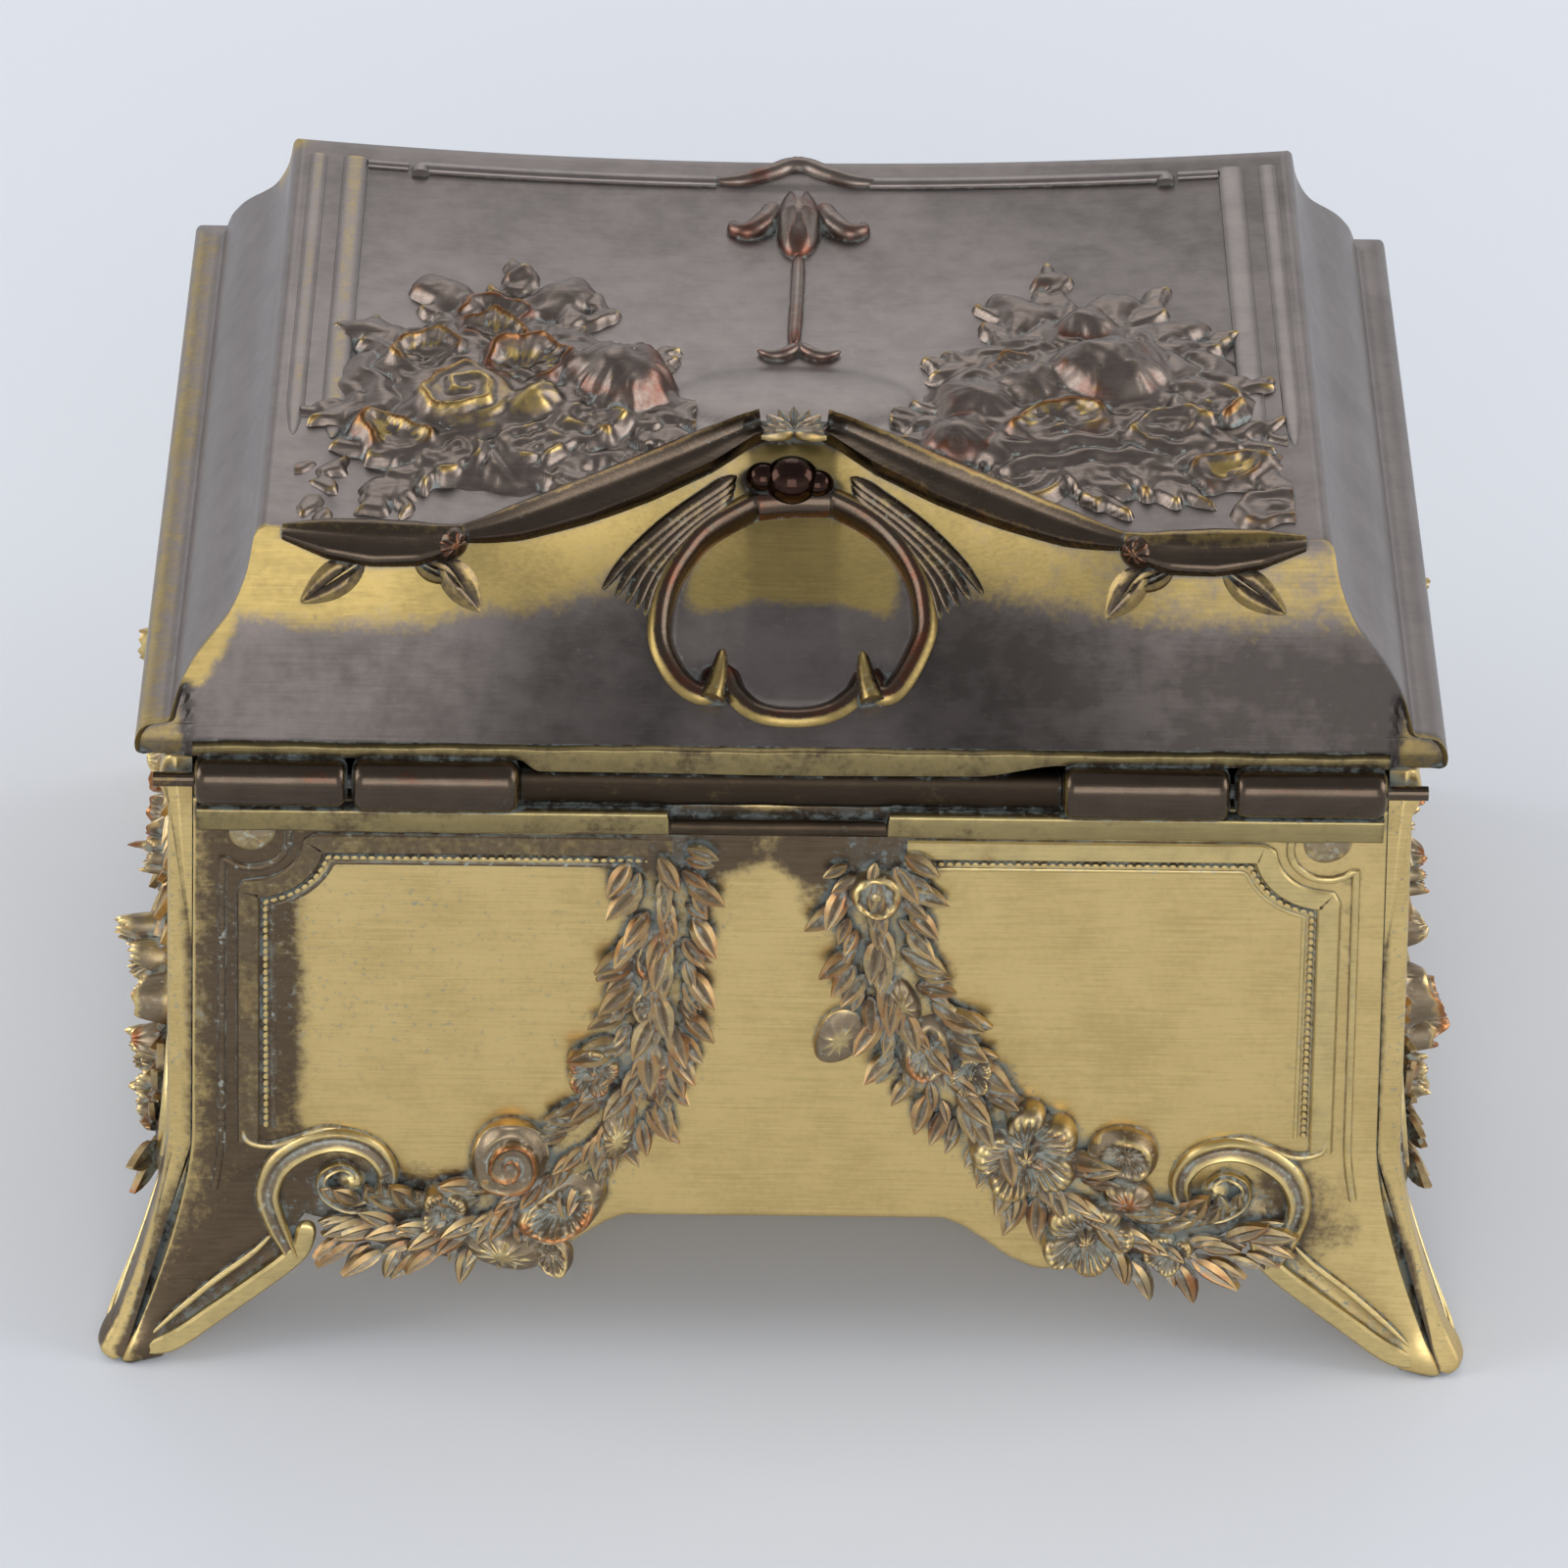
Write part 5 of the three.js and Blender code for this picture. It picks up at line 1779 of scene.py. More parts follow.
    def strand_gap(self, a: np.ndarray, b: np.ndarray) -> np.ndarray:
        """Distance from the nearer garland."""
        return np.minimum.reduce([distance_to(curve_through(route, 40), a, b)[0] for route in self.strands])

    def wear(self, a: np.ndarray, b: np.ndarray) -> np.ndarray:
        """How far the patina is rubbed off: bright panels, a dark left margin and bright foot edges.

        Args:
            a: Places to the viewer's right.
            b: Places upward.

        Returns:
            The worn mark.
        """
        from_corner = self.face.half - np.abs(a)
        bright = smooth(-50, 50, -a if self.face.quarter_turns % 2 else a)
        centre = smooth(9.0, 17.0, from_corner) * (1 - 0.6 * smooth(61.5, 67.0, b)) * smooth(15, 22, b)
        centre -= 0.4 * np.exp(-(a / 7) ** 2) * smooth(50, 66, b)
        centre -= 0.42 * (1 - smooth(-56, -22, a)) + 0.3 * smooth(36, 54, a) * (1 - smooth(26, 46, b))
        skirt = 0.9 * smooth(22, 34, from_corner) * (1 - smooth(22, 32, b))
        margin = 0.10 + 0.34 * bright + 0.12 * (1 - smooth(3, 6, from_corner))
        foot = (-0.1 + 0.5 * bright) * (1 - smooth(9, 18, b)) * (1 - smooth(8, 14, from_corner))
        near_leaves = 1 - smooth(4.5, 12.5, self.strand_gap(a, b))
        return np.clip(np.maximum(np.maximum(centre, skirt), margin) + foot
                       - (0.6 - 0.34 * smooth(10, 48, a)) * near_leaves, -0.2, 1.0)

    def frame_route(self, side: int, offset: float, corner: float, foot: float) -> Route:
        """Route of the panel frame: up beside the foot, round the hollow corner and in to the garland.

        Args:
            side: 1 for the right half and -1 for the left.
            offset: How far outside the flat band's middle it runs.
            corner: Radius of the hollow corner.
            foot: Height at which it starts.

        Returns:
            The route's points.
        """
        upright = self.face.half - 8.6 + offset
        level = 66.7 + offset
        centre = (self.face.half - 8.9, 67.3)
        start = math.asin(max(min((upright - centre[0]) / corner, 1), -1))
        end = math.asin(max(min((level - centre[1]) / corner, 1), -1))
        points = [(upright, foot), (upright, (foot + centre[1] - corner) / 2)]
        angles = np.linspace(-math.pi / 2 + start, -math.pi - end, 9)
        points += [(centre[0] + corner * math.cos(t), centre[1] + corner * math.sin(t)) for t in angles]
        inner = min(abs(a) for route in self.strands for a, b in route if b > 60) + 3.4
        points += [(max(inner, 12.0), level)]
        return [(side * a, b) for a, b in points]

    def frames(self) -> list[Shape]:
        """Model the raised bands and fillets of the panel frames and the bosses in their corners.

        Returns:
            The pieces.
        """
        pieces = []
        for side in (-1, 1):
            for offset, corner, foot, profile, worn, grime in (
                    (0, 6.6, 27.0, flat_band(2.5, 0.42, 0.22), 0.55, 0),
                    (2.75, 4.0, 21.0, half_round(0.9, 0.42), 0.15, 0.3),
                    (-2.55, 9.1, 29.0, half_round(0.5, 0.16), 0.3, 0.35)):
                route = self.frame_route(side, offset, corner, foot)
                pieces.append(self.face.moulding(route, profile, straight=True, step=0.6)
                              .marked(worn=worn - 0.43 + 0.51 * side, grime=grime - 0.25 - 0.1 * side,
                                      deep=0.75 * (side < 0), copper=-0.2))
            boss = bloom(Bloom.BELL, 2.5, 0.9, 1, 3).placed((side * (self.face.half - 9.0), 68.0))
            pieces.append(boss.mapped(self.face.lay).marked(worn=0.15, grime=0.2, tops=0.3))
        return pieces

    def scrolls(self) -> list[Shape]:
        """Model the volutes, their tendrils and the lips of the two half feet.

        Returns:
            The pieces.
        """
        pieces = []
        half = self.face.half
        for side in (-1, 1):
            volute, tendril, lip, foot = [[(side * (half - corner), z) for corner, z in route] for route in
                                          (self.VOLUTE, self.TENDRIL, self.FOOT_LIP, self.FOOT_RIDGE)]
            count = 90
            line = curve_through(volute, count)
            up = self.face.normal(line[:, 0], line[:, 1])
            share = np.linspace(0, 1, count)
            width = np.interp(share, [0, 0.1, 0.3, 0.55, 0.8, 1], [0.45, 0.8, 1.0, 0.85, 0.5, 0.25])
            height = np.interp(share, [0, 0.1, 0.4, 0.75, 1], [0.5, 0.85, 1.0, 0.95, 0.75])
            profile = grooved_band(3.1, 1.35)
            if side > 0:
                profile = profile[::-1] * [-1, 1]
            pieces.append(ridge(self.face.point(line[:, 0], line[:, 1]), up, profile,
                                np.stack([width, height], 1)).marked(worn=0.08 + 0.06 * side, grime=0.05,
                                                                     copper=-0.15))
            pieces.append(self.face.moulding(tendril, half_round(0.95, 0.7), (0.2, 0.35)).marked(worn=0.05,
                                                                                                 grime=0.2))
            eye = bloom(Bloom.BELL, 1.5, 1.15, 1, 5).placed((side * (half - 18.9), 22.0))
            pieces.append(eye.mapped(self.face.lay).marked(worn=0.75, tops=0))
            pieces.append(self.face.moulding(lip, flat_band(2.3, 0.62, 0.3), (0.06, 0.12))
                          .marked(worn=0.95, grime=-0.5, copper=-0.2))
            pieces.append(self.face.moulding(foot, half_round(0.8, 0.42), (0.25, 0.3)).marked(worn=0.2))
        return pieces

    def blossoms(self) -> list[Shape]:
        """Model the flowers of both garlands.

        Returns:
            The flowers.
        """
        return [self.face.carry(flower.model(self.seed * 50 + number, 0.75 + 0.5 * self.proud,
                                             0.35 + 0.75 * self.proud), flower.right, flower.up)
                for number, flower in enumerate(self.flowers)]

    def build(self, metal: bpy.types.Material, relief_metal: bpy.types.Material) -> None:
        """Make the wall's pieces.

        Args:
            metal: Finish of the panel.
            relief_metal: Finish of the ornament.
        """
        panel = self.panel().to_object(self.node + "_casting", metal, "casket", BRASS_SLOT)
        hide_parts(self.node)
        Shape.join(self.frames() + self.scrolls()).to_object(
            self.node + "_frames", relief_metal, "casket", BRASS_SLOT)
        Shape.join(self.blossoms()).to_object(self.node + "_flowers", relief_metal, "casket", BRASS_SLOT,
                                              SOFT_DEG)


@dataclass
class Case:
    """The four walls with their ornament."""

    sizes: Measures

    def walls(self) -> list[WallCasting]:
        """Set out the four walls. The back one is the model, and the other three take after it.

        Returns:
            The castings, the back one first.
        """
        sizes = self.sizes
        across = dict(half=sizes.half_width, out=sizes.half_depth, along_splay=sizes.splay_x,
                      out_splay=sizes.splay_y)
        beside = dict(half=sizes.half_depth, out=sizes.half_width, along_splay=sizes.splay_y,
                      out_splay=sizes.splay_x)
        end = sizes.wall - 0.1
        walls = [WallCasting(sizes, "back_wall", WallFace(sizes, 0, **across), sizes.back_rim, end, 0.55,
                             False,
                             [LEFT_STRAND, RIGHT_STRAND], LEFT_FLOWERS + RIGHT_FLOWERS, 1)]
        for number, (node, turns, sides, inset, way) in enumerate((
                ("left_side_wall", 1, beside, 0.0, 1), ("front_wall", 2, across, end, -1),
                ("right_side_wall", 3, beside, 0.0, 1))):
            narrow = (sides["half"] - sizes.foot_reach) / (sizes.half_width - sizes.foot_reach)
            strands = [[(way * a * narrow, b) for a, b in route] for route in (LEFT_STRAND, RIGHT_STRAND)]
            flowers = [replace(f, right=way * f.right * narrow, radius=f.radius * (0.3 + 0.7 * narrow),
                               height=f.height * 1.2, turn=f.turn * way) for f in LEFT_FLOWERS
                       + RIGHT_FLOWERS]
            walls.append(WallCasting(sizes, node, WallFace(sizes, turns, **sides), sizes.rim, inset, 1.9,
                                     True,
                                     strands, flowers, 2 + number))
        return walls

    def build(self, metal: bpy.types.Material, relief_metal: bpy.types.Material) -> None:
        """Make the walls, and the leaves and beads that all four share.

        Args:
            metal: Finish of the panels.
            relief_metal: Finish of the garlands.
        """
        walls = self.walls()
        for wall in walls:
            wall.build(metal, relief_metal)
        faces = [wall.face for wall in walls]
        paths = flat_paths("garland_paths", [
            zoned(number, curve_through(route, 60), 0.25 + 0.75 * wall.proud)
            for number, wall in enumerate(walls) for route in wall.strands])
        single = pattern_of("garland_leaf", leaf(4.6, 2.1, 0.42, sunk=0.7))
        leaves = leaf_recipe("garland_leaves").make(
            {"Paths": paths, "Leaf": single, "Spacing": 0.46, "Reach": 3.5, "Splay": 0.7, "Jitter": 0.45,
             "Smallest": 0.6, "Largest": 1.25, "Lift": 0.6, "Seed": 11, "Material": relief_metal},
            bend_onto(faces), {"worn": -0.03})
        self.finished(leaves, paths, single)
        paths = flat_paths("beading_paths", [
            zoned(number, resampled(np.array(wall.frame_route(side, -1.75, 8.3, 29.5)), 200), 0.1)
            for number, wall in enumerate(walls) for side in (-1, 1)])
        single = pattern_of("frame_bead", ball(0.42, 8, 3).placed((0, 0, 0), scale=(0.8, 1.15, 0.8)))
        beads = bead_recipe("panel_beading").make(
            {"Paths": paths, "Bead": single, "Pitch": 0.92, "Material": metal}, bend_onto(faces),
            {"worn": 0.2, "grime": 0.25})
        self.finished(beads, paths, single)

    @staticmethod
    def finished(made: bpy.types.Object, *helpers: bpy.types.Object) -> None:
        """Drop a tree's helpers and put its result in the casket.

        Args:
            made: The tree's result.
            helpers: Objects that the tree took.
        """
        for helper in helpers:
            bpy.data.objects.remove(helper)
        settle(made, "casket")


CARTOUCHE = [(-5.2, 0.70), (-9.4, 0.67), (-11.7, 0.61), (-13.4, 0.53), (-14.3, 0.42), (-14.2, 0.31),
             (-12.6, 0.205), (-10.6, 0.15), (-8.8, 0.14), (-7.5, 0.20), (-6.4, 0.14), (-3.9, 0.085),
             (0.0, 0.07), (4.1, 0.085), (7.0, 0.14), (8.1, 0.19), (9.0, 0.145), (10.8, 0.155), (12.6, 0.23),
             (14.2, 0.35), (14.3, 0.44), (13.5, 0.55), (11.3, 0.65), (7.6, 0.71), (1.0, 0.72)]


@dataclass
class Lid:
    """The cast lid: moulded sides, dipped top, back slope with its cartouche, ribs and sprays."""

    sizes: Measures
    top: LidTop
    slope: BackSlope

    INSIDE = ((16.6, 19.7), (15.2, 13.5), (12.4, 10.4), (8.2, 8.4), (6.4, 5.0), (6.4, 0.0))

    def relief_on_top(self, a: np.ndarray, b: np.ndarray) -> np.ndarray:
        """Lift of the top's bare metal: beds of the sprays, the flat dome and the sunk field.

        Args:
            a: Places to the viewer's right.
            b: Places upward.

        Returns:
            The lift.
        """
        lift = np.zeros(a.shape)
        for side in (-1, 1):
            bed = np.clip(1 - ((a - side * 33) / 16) ** 2 - ((b + 12) / 15) ** 2, 0, 1)
            lift += 0.9 * bed ** 0.7
        lift += 0.75 * np.clip(1 - (a / 13.5) ** 2 - ((b + 9.5) / 6.6) ** 2, 0, 1) ** 0.6
        front = self.sizes.lid_half_y - self.top.inset
        edge = smooth(0, 3.0, np.minimum.reduce([self.sizes.lid_half_x - self.top.inset - np.abs(a),
                                                 front - self.slope.scoop(a) + b, front - b]))
        sunk = (1 - smooth(48.5, 50.5, np.abs(a))) * (1 - smooth(34.8, 36.6, b))
        return (lift - 0.45 * sunk) * edge

    def relief_on_slope(self, a: np.ndarray, b: np.ndarray) -> np.ndarray:
        """Depth of the cartouche's sunk field, and of the step beside the slope's soldered ends.

        Args:
            a: Places to the viewer's right.
            b: Places upward.

        Returns:
            The lift, which is 0 or less.
        """
        outline = curve_through(CARTOUCHE, 200, closed=True)
        unit = self.slope.UNIT
        gap, _ = distance_to(np.concatenate([outline, outline[:1]]) * [1, unit], a, b * unit)
        depth = 1.1 + 0.9 * np.exp(-((b - 0.2) / 0.12) ** 2)
        sunk = np.where(is_inside(outline, a, b), -depth * smooth(0.0, 1.6, gap), 0)
        return sunk - 0.7 * smooth(64.1, 64.6, np.abs(a)) * smooth(-0.3, -0.2, -b)

    def sides(self, rows: np.ndarray, across: np.ndarray, down: np.ndarray, cut: bool) -> list[np.ndarray]:
        """Set out a stretch of the moulding on the front, the back and the two sides.

        Args:
            rows: Inset and rise of each row.
            across: Shares of the width, from -1 to 1.
            down: Shares of the depth, from -1 to 1.
            cut: Whether the back is the slope instead of a moulding.

        Returns:
            Four grids of points.
        """
        inset, rise = rows[:, 0][None, :], rows[:, 1][None, :]
        x, y = self.sizes.lid_half_x - inset, self.sizes.lid_half_y - inset
        t, s = across[:, None], (down[:, None] + 1) / 2
        height, level = self.top.height(rise, t), self.sizes.flange + rise + 0 * s
        back = y
        behind = np.stack([-x * t, y + 0 * t, height], 2)
        if cut:
            b = (rise - self.slope.foot_rise) / (self.top.rise - self.slope.foot_rise)
            behind = self.slope.point(x * t, np.clip(b, 0, 1) + 0 * t)
            behind[..., 2] = np.where(b < 0, height, behind[..., 2])
            back = behind[:1, :, 1]
            lift = self.relief_on_slope(x * t, b + 0 * t)
            behind = behind + self.slope.normal(x * t, np.clip(b, 0.01, 0.99) + 0 * t) * lift[..., None]
            behind[[0, -1]] = self.slope.point(x * t, np.clip(b, 0, 1) + 0 * t)[[0, -1]] * [1, 1, 0] + (
                height[[0, -1]][..., None] * [0, 0, 1])
        return [np.stack([x * t, -y + 0 * t, height], 2), behind,
                np.stack([x + 0 * s, -y + (back + y) * s, level], 2),
                np.stack([-x + 0 * s, back - (back + y) * s, level], 2)]

    def shell(self) -> Shape:
        """Model the lid's casting, outside and inside, as one closed sheet.

        Returns:
            The sheet, with a mark that tells its zones apart.
        """
        sizes, top = self.sizes, self.top
        profile = np.array(SIDE_PROFILE)
        curve = curve_through(profile[14:], 400)
        nearest = [int(np.abs(curve[:, 1] - rise).argmin())
                   for rise in np.linspace(profile[14, 1], top.rise, 64)]
        rows = np.concatenate([profile[:14], curve[nearest]])
        half = np.concatenate([np.linspace(0, 0.3, 36), np.linspace(0.3, 0.8, 26)[1:],
                               np.linspace(0.8, 0.9, 6)[1:], np.linspace(0.9, 1, 14)[1:]])
        across, down = np.concatenate([-half[::-1], half[1:]]), np.linspace(-1, 1, 72)
        slopes = self.sides(rows, across, down, True)
        half_x, front = sizes.lid_half_x - top.inset, sizes.lid_half_y - top.inset
        x = half_x * across[:, None]
        far = front - self.slope.scoop(x)
        y = -front + (far + front) * (down[None, :] + 1) / 2
        x = np.broadcast_to(x, y.shape)
        z = top.height(np.full(x.shape, top.rise), x / half_x) + self.relief_on_top(-x, -y)
        patches = slopes + [np.stack([x, y, z], 2)]
        inside = np.array(self.INSIDE)
        outer, inner = self.sides(rows[:1], across, down, True), self.sides(inside[-1:], across, down, False)
        patches += [np.concatenate([b, a], 1) for a, b in zip(outer, inner)]
        outside = len(patches)
        cavity = self.sides(inside, across, down, False)
        (inset, rise), (x_end, y_end) = self.INSIDE[0], (cavity[1][..., 0], cavity[1][..., 1])
        depth = np.clip((inside[:, 0] - 11) / (inset - 11), 0, 1)
        cavity[1] = np.stack([x_end, y_end - self.slope.scoop(x_end) * depth[None, :], cavity[1][..., 2]], 2)
        b = (inside[None, :-1, 1] - self.slope.foot_rise) / (top.rise - self.slope.foot_rise)
        limit = self.slope.point(-x_end[1:-1, :-1], b + 0 * x_end[1:-1, :-1])[..., 1]
        limit -= 3.7 + 1.7 * (1 - smooth(17, 24, np.abs(x_end[1:-1, :-1])))
        cavity[1][1:-1, :-1, 1] = np.minimum(cavity[1][1:-1, :-1, 1], limit)
        half_x, front = sizes.lid_half_x - inset, sizes.lid_half_y - inset
        x = half_x * across[:, None]
        far = front - self.slope.scoop(x)
        y = far - (far + front) * (down[None, :] + 1) / 2
        x = np.broadcast_to(x, y.shape)
        patches += cavity + [np.stack([x, y, top.height(np.full(x.shape, rise), x / half_x)], 2)]
        points, quads, zones = [], [], []
        first = 0
        for number, grid in enumerate(patches):
            columns, count = grid.shape[:2]
            quads.append(grid_quads(columns, count, first))
            points.append(grid.reshape(-1, 3))
            zones.append(np.full(columns * count, 5 if number >= outside - 4 else number))
            first += columns * count
        shape = Shape(np.concatenate(points), np.concatenate(quads), np.zeros((0, 3), int))
        shape.marks["zone"] = np.concatenate(zones).astype(float)
        return shape

    def build(self, bronze: bpy.types.Material) -> None:
        """Make the lid's pieces.

        Args:
            bronze: The lid's finish.
        """
        shape = self.shell()
        zone = shape.marks.pop("zone")
        a, rise = -shape.points[:, 0], shape.points[:, 2] - self.sizes.flange
        b = (rise + self.top.saddle * (1 - np.clip(a / 60, -1, 1) ** 2) * (rise / self.top.rise) ** 2
             - self.slope.foot_rise) / (self.top.rise - self.slope.foot_rise)
        # On the back slope the upper hollow is rubbed to brass and the foot darkened. This is partly worn
        # patina and partly painted light: the bright band stands in for light from above reflected in the
        # hollow, the brightened sunk field of the cartouche is a painted reflection, and the bright line
        # along the left mitre is a painted highlight
        band = smooth(0.34, 0.70, b) * (1 - 0.4 * smooth(0.9, 1.02, b)) * (0.66 - 0.2 * smooth(0, 50, a))
        mitre = smooth(0.18, 0.3, b) * (1 - smooth(2.0, 6.0, 68.5 - 11.0 * np.clip(b, 0, 1) + a)) * 0.6
        seam = smooth(64.2, 65.0, np.abs(a)) * (1 - smooth(0.2, 0.35, b)) * 0.45
        sunk = (1 - smooth(9.0, 14.0, np.abs(a))) * smooth(0.26, 0.4, b) * (1 - smooth(0.6, 0.72, b)) * 0.74
        flank = (zone == 2) | (zone == 3)
        ledge = 0.46 * np.exp(-((rise - 1.4) / 0.8) ** 2) + 0.4 * np.exp(-((rise - 3.0) / 0.7) ** 2)
        corner = 0.5 * np.exp(-((a + 57) / 5) ** 2 - ((shape.points[:, 1] + 44) / 7) ** 2)
        worn = np.select([zone == 1, flank], [np.maximum.reduce([band, mitre, seam, sunk]) - 0.1,
                                              -0.05 + ledge * (a < 0)], -0.05) + corner * (rise > 15)
        back = -shape.points[:, 1]
        # Darker towards the slope's foot and the viewer's right, less so under the cartouche: partly a darker
        # patina, partly painted shade on the steep foot
        lower = (1 - 0.5 * smooth(0.3, 0.9, b)) * (0.62 + 0.3 * smooth(-40, 40, a)) * (
            1 - 0.6 * (1 - smooth(9, 15, np.abs(a))))
        # Painted sheen on the top: lighter near the hinge and in a soft patch over the flat dome, darker
        # towards the front and the viewer's right
        plate = 0.12 + 0.22 * smooth(2, 30, back) + 0.2 * smooth(10, 45, a) - 0.12 * np.exp(
            -(a / 20) ** 2 - ((back + 14) / 12) ** 2)
        deep = np.select([zone == 1, zone == 4], [lower, plate], 0.0)
        dust = 0.2 * flank * smooth(2.5, 6.0, rise) * (1 - smooth(15.0, 19.0, rise))
        shape = shape.marked(worn=worn, deep=deep, grime=dust, dull=(zone == 5) * 1.0).welded()
        casting = shape.to_object("lid_casting", bronze, "lid", BRONZE_SLOT, CRISP_DEG)
        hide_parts("lid_shell")


SPRAY_FLOWERS = [Flower(*row) for row in (
    (Bloom.BELL, -30.7, 14.2, 1.9, 1.6, 0, 3, 1.0, 0.5),
    (Bloom.CUP, -33.5, 4.2, 5.2, 2.6, 20, 5, 0.75, 0.5),
    (Bloom.CUP, -33.0, -1.6, 4.6, 3.4, 0, 5, 0.8, 0.4, 0.6),
    (Bloom.BELL, -19.4, -9.6, 6.4, 5.4, 330, 9, 1.0, 0.55),
    (Bloom.CUP, -29.0, -8.4, 5.8, 4.6, 10, 5, 0.85, 0.55, 0.6),
    (Bloom.CUP, -40.6, -6.8, 4.8, 3.8, 30, 5, 0.9, 0.3, 0.6),
    (Bloom.ROSE, -36.2, -16.2, 6.2, 4.4, 40, 5, 1.0, 0.25, 0.75),
    (Bloom.BELL, -28.6, -16.0, 3.6, 3.6, 0, 3, 1.0, 0.3, 0.7),
    (Bloom.CUP, -43.4, -22.6, 4.8, 3.4, 350, 5, 0.7, 0.4, 0.8),
    (Bloom.OPEN, -21.8, -17.6, 3.8, 2.2, 10, 5, 1.0, 0.2, 0.6),
    (Bloom.OPEN, -28.4, -23.4, 3.6, 1.8, 30, 5, 1.0, 0.1, 0.6),
    (Bloom.OPEN, -37.2, -26.0, 3.4, 1.5, 0, 4, 1.0, 0.1, 0.6),
    (Bloom.BELL, 28.4, 14.2, 1.7, 0.9, 0, 3, 1.0, 0.4),
    (Bloom.BELL, 32.6, 1.2, 4.0, 3.6, 0, 4, 1.0, 0.6, 0.5),
    (Bloom.BELL, 34.6, -9.6, 7.2, 5.6, 0, 12, 0.9, 0.45, 0.6),
    (Bloom.BELL, 26.6, -11.0, 4.6, 3.6, 20, 8, 0.9, 0.35, 0.6),
    (Bloom.BELL, 20.6, -13.4, 4.4, 2.8, 60, 4, 1.3, 0.35),
    (Bloom.CUP, 29.2, -18.6, 6.8, 3.2, 0, 4, 0.6, 0.5, 0.7),
    (Bloom.BELL, 18.6, -19.4, 4.0, 2.6, 70, 3, 1.2, 0.6),
    (Bloom.CUP, 40.6, -19.8, 4.8, 2.8, 20, 5, 0.7, 0.3, 0.6),
    (Bloom.OPEN, 44.8, -15.0, 4.6, 2.4, 50, 5, 1.0, 0.2, 0.5),
    (Bloom.CUP, 47.0, -26.6, 5.0, 2.4, 10, 6, 0.62, 0.3, 0.7),
    (Bloom.BUTTON, 51.2, -34.4, 4.6, 1.0, 0, 3, 0.75, 0.2, 0.2),
    (Bloom.CUP, 24.0, -6.0, 3.0, 2.2, 40, 4, 0.9, 0.4, 0.6),
    (Bloom.BELL, 41.6, 1.0, 2.6, 1.4, 300, 3, 1.8, 0.3, 0.8),
    (Bloom.BELL, 25.6, 7.4, 3.0, 1.4, 35, 3, 1.6, 0.3), (Bloom.BELL, 35.2, 7.6, 2.8, 1.2, 320, 3, 1.6, 0.3),
    (Bloom.BELL, -26.0, 8.6, 3.0, 1.8, 320, 3, 1.7, 0.4),
    (Bloom.BELL, -38.4, 8.6, 3.0, 1.6, 40, 3, 1.7, 0.4),
    (Bloom.BELL, -45.6, -0.6, 2.6, 1.3, 70, 3, 1.7, 0.2),
)]
SPRAY_SPOKES = [
    [(-31, -2), (-31.5, 12.5)], [(-33, -3), (-40, 8)], [(-36, -8), (-47.5, -1)], [(-38, -16), (-51, -17)],
    [(-38, -20), (-52, -28), (-50.5, -36)], [(-28, -4), (-22.5, 7.5)], [(-24, -8), (-16, -3)],
    [(-22, -16), (-13.5, -13)], [(-30, -21), (-24, -29)], [(-38, -24), (-44, -33)],
    [(-16.5, -14), (-12.5, -20)], [(31, -2), (28.6, 12.5)], [(33, -2), (39.5, 8)], [(36, -6), (46, 0)],
    [(38, -14), (50, -10)], [(40, -20), (53.5, -20)], [(40, -23), (52, -27), (50, -33)],
    [(28, -5), (22.5, 6)], [(25, -9), (17, -4)], [(22, -14), (13.5, -14)], [(34, -22), (41, -29)],
    [(29, -22), (33.5, -30)], [(17, -17), (12.5, -21)],
]
CURLS = [(-22.0, -25.5, (2.0, 3.6, 5.2), 150, 345), (-16.0, -21.5, (1.6, 3.0, 4.4), 170, 350),
         (24.0, -26.0, (1.8, 3.4, 5.0), 190, 400), (17.5, -24.0, (1.4, 2.8, 4.2), 185, 370)]


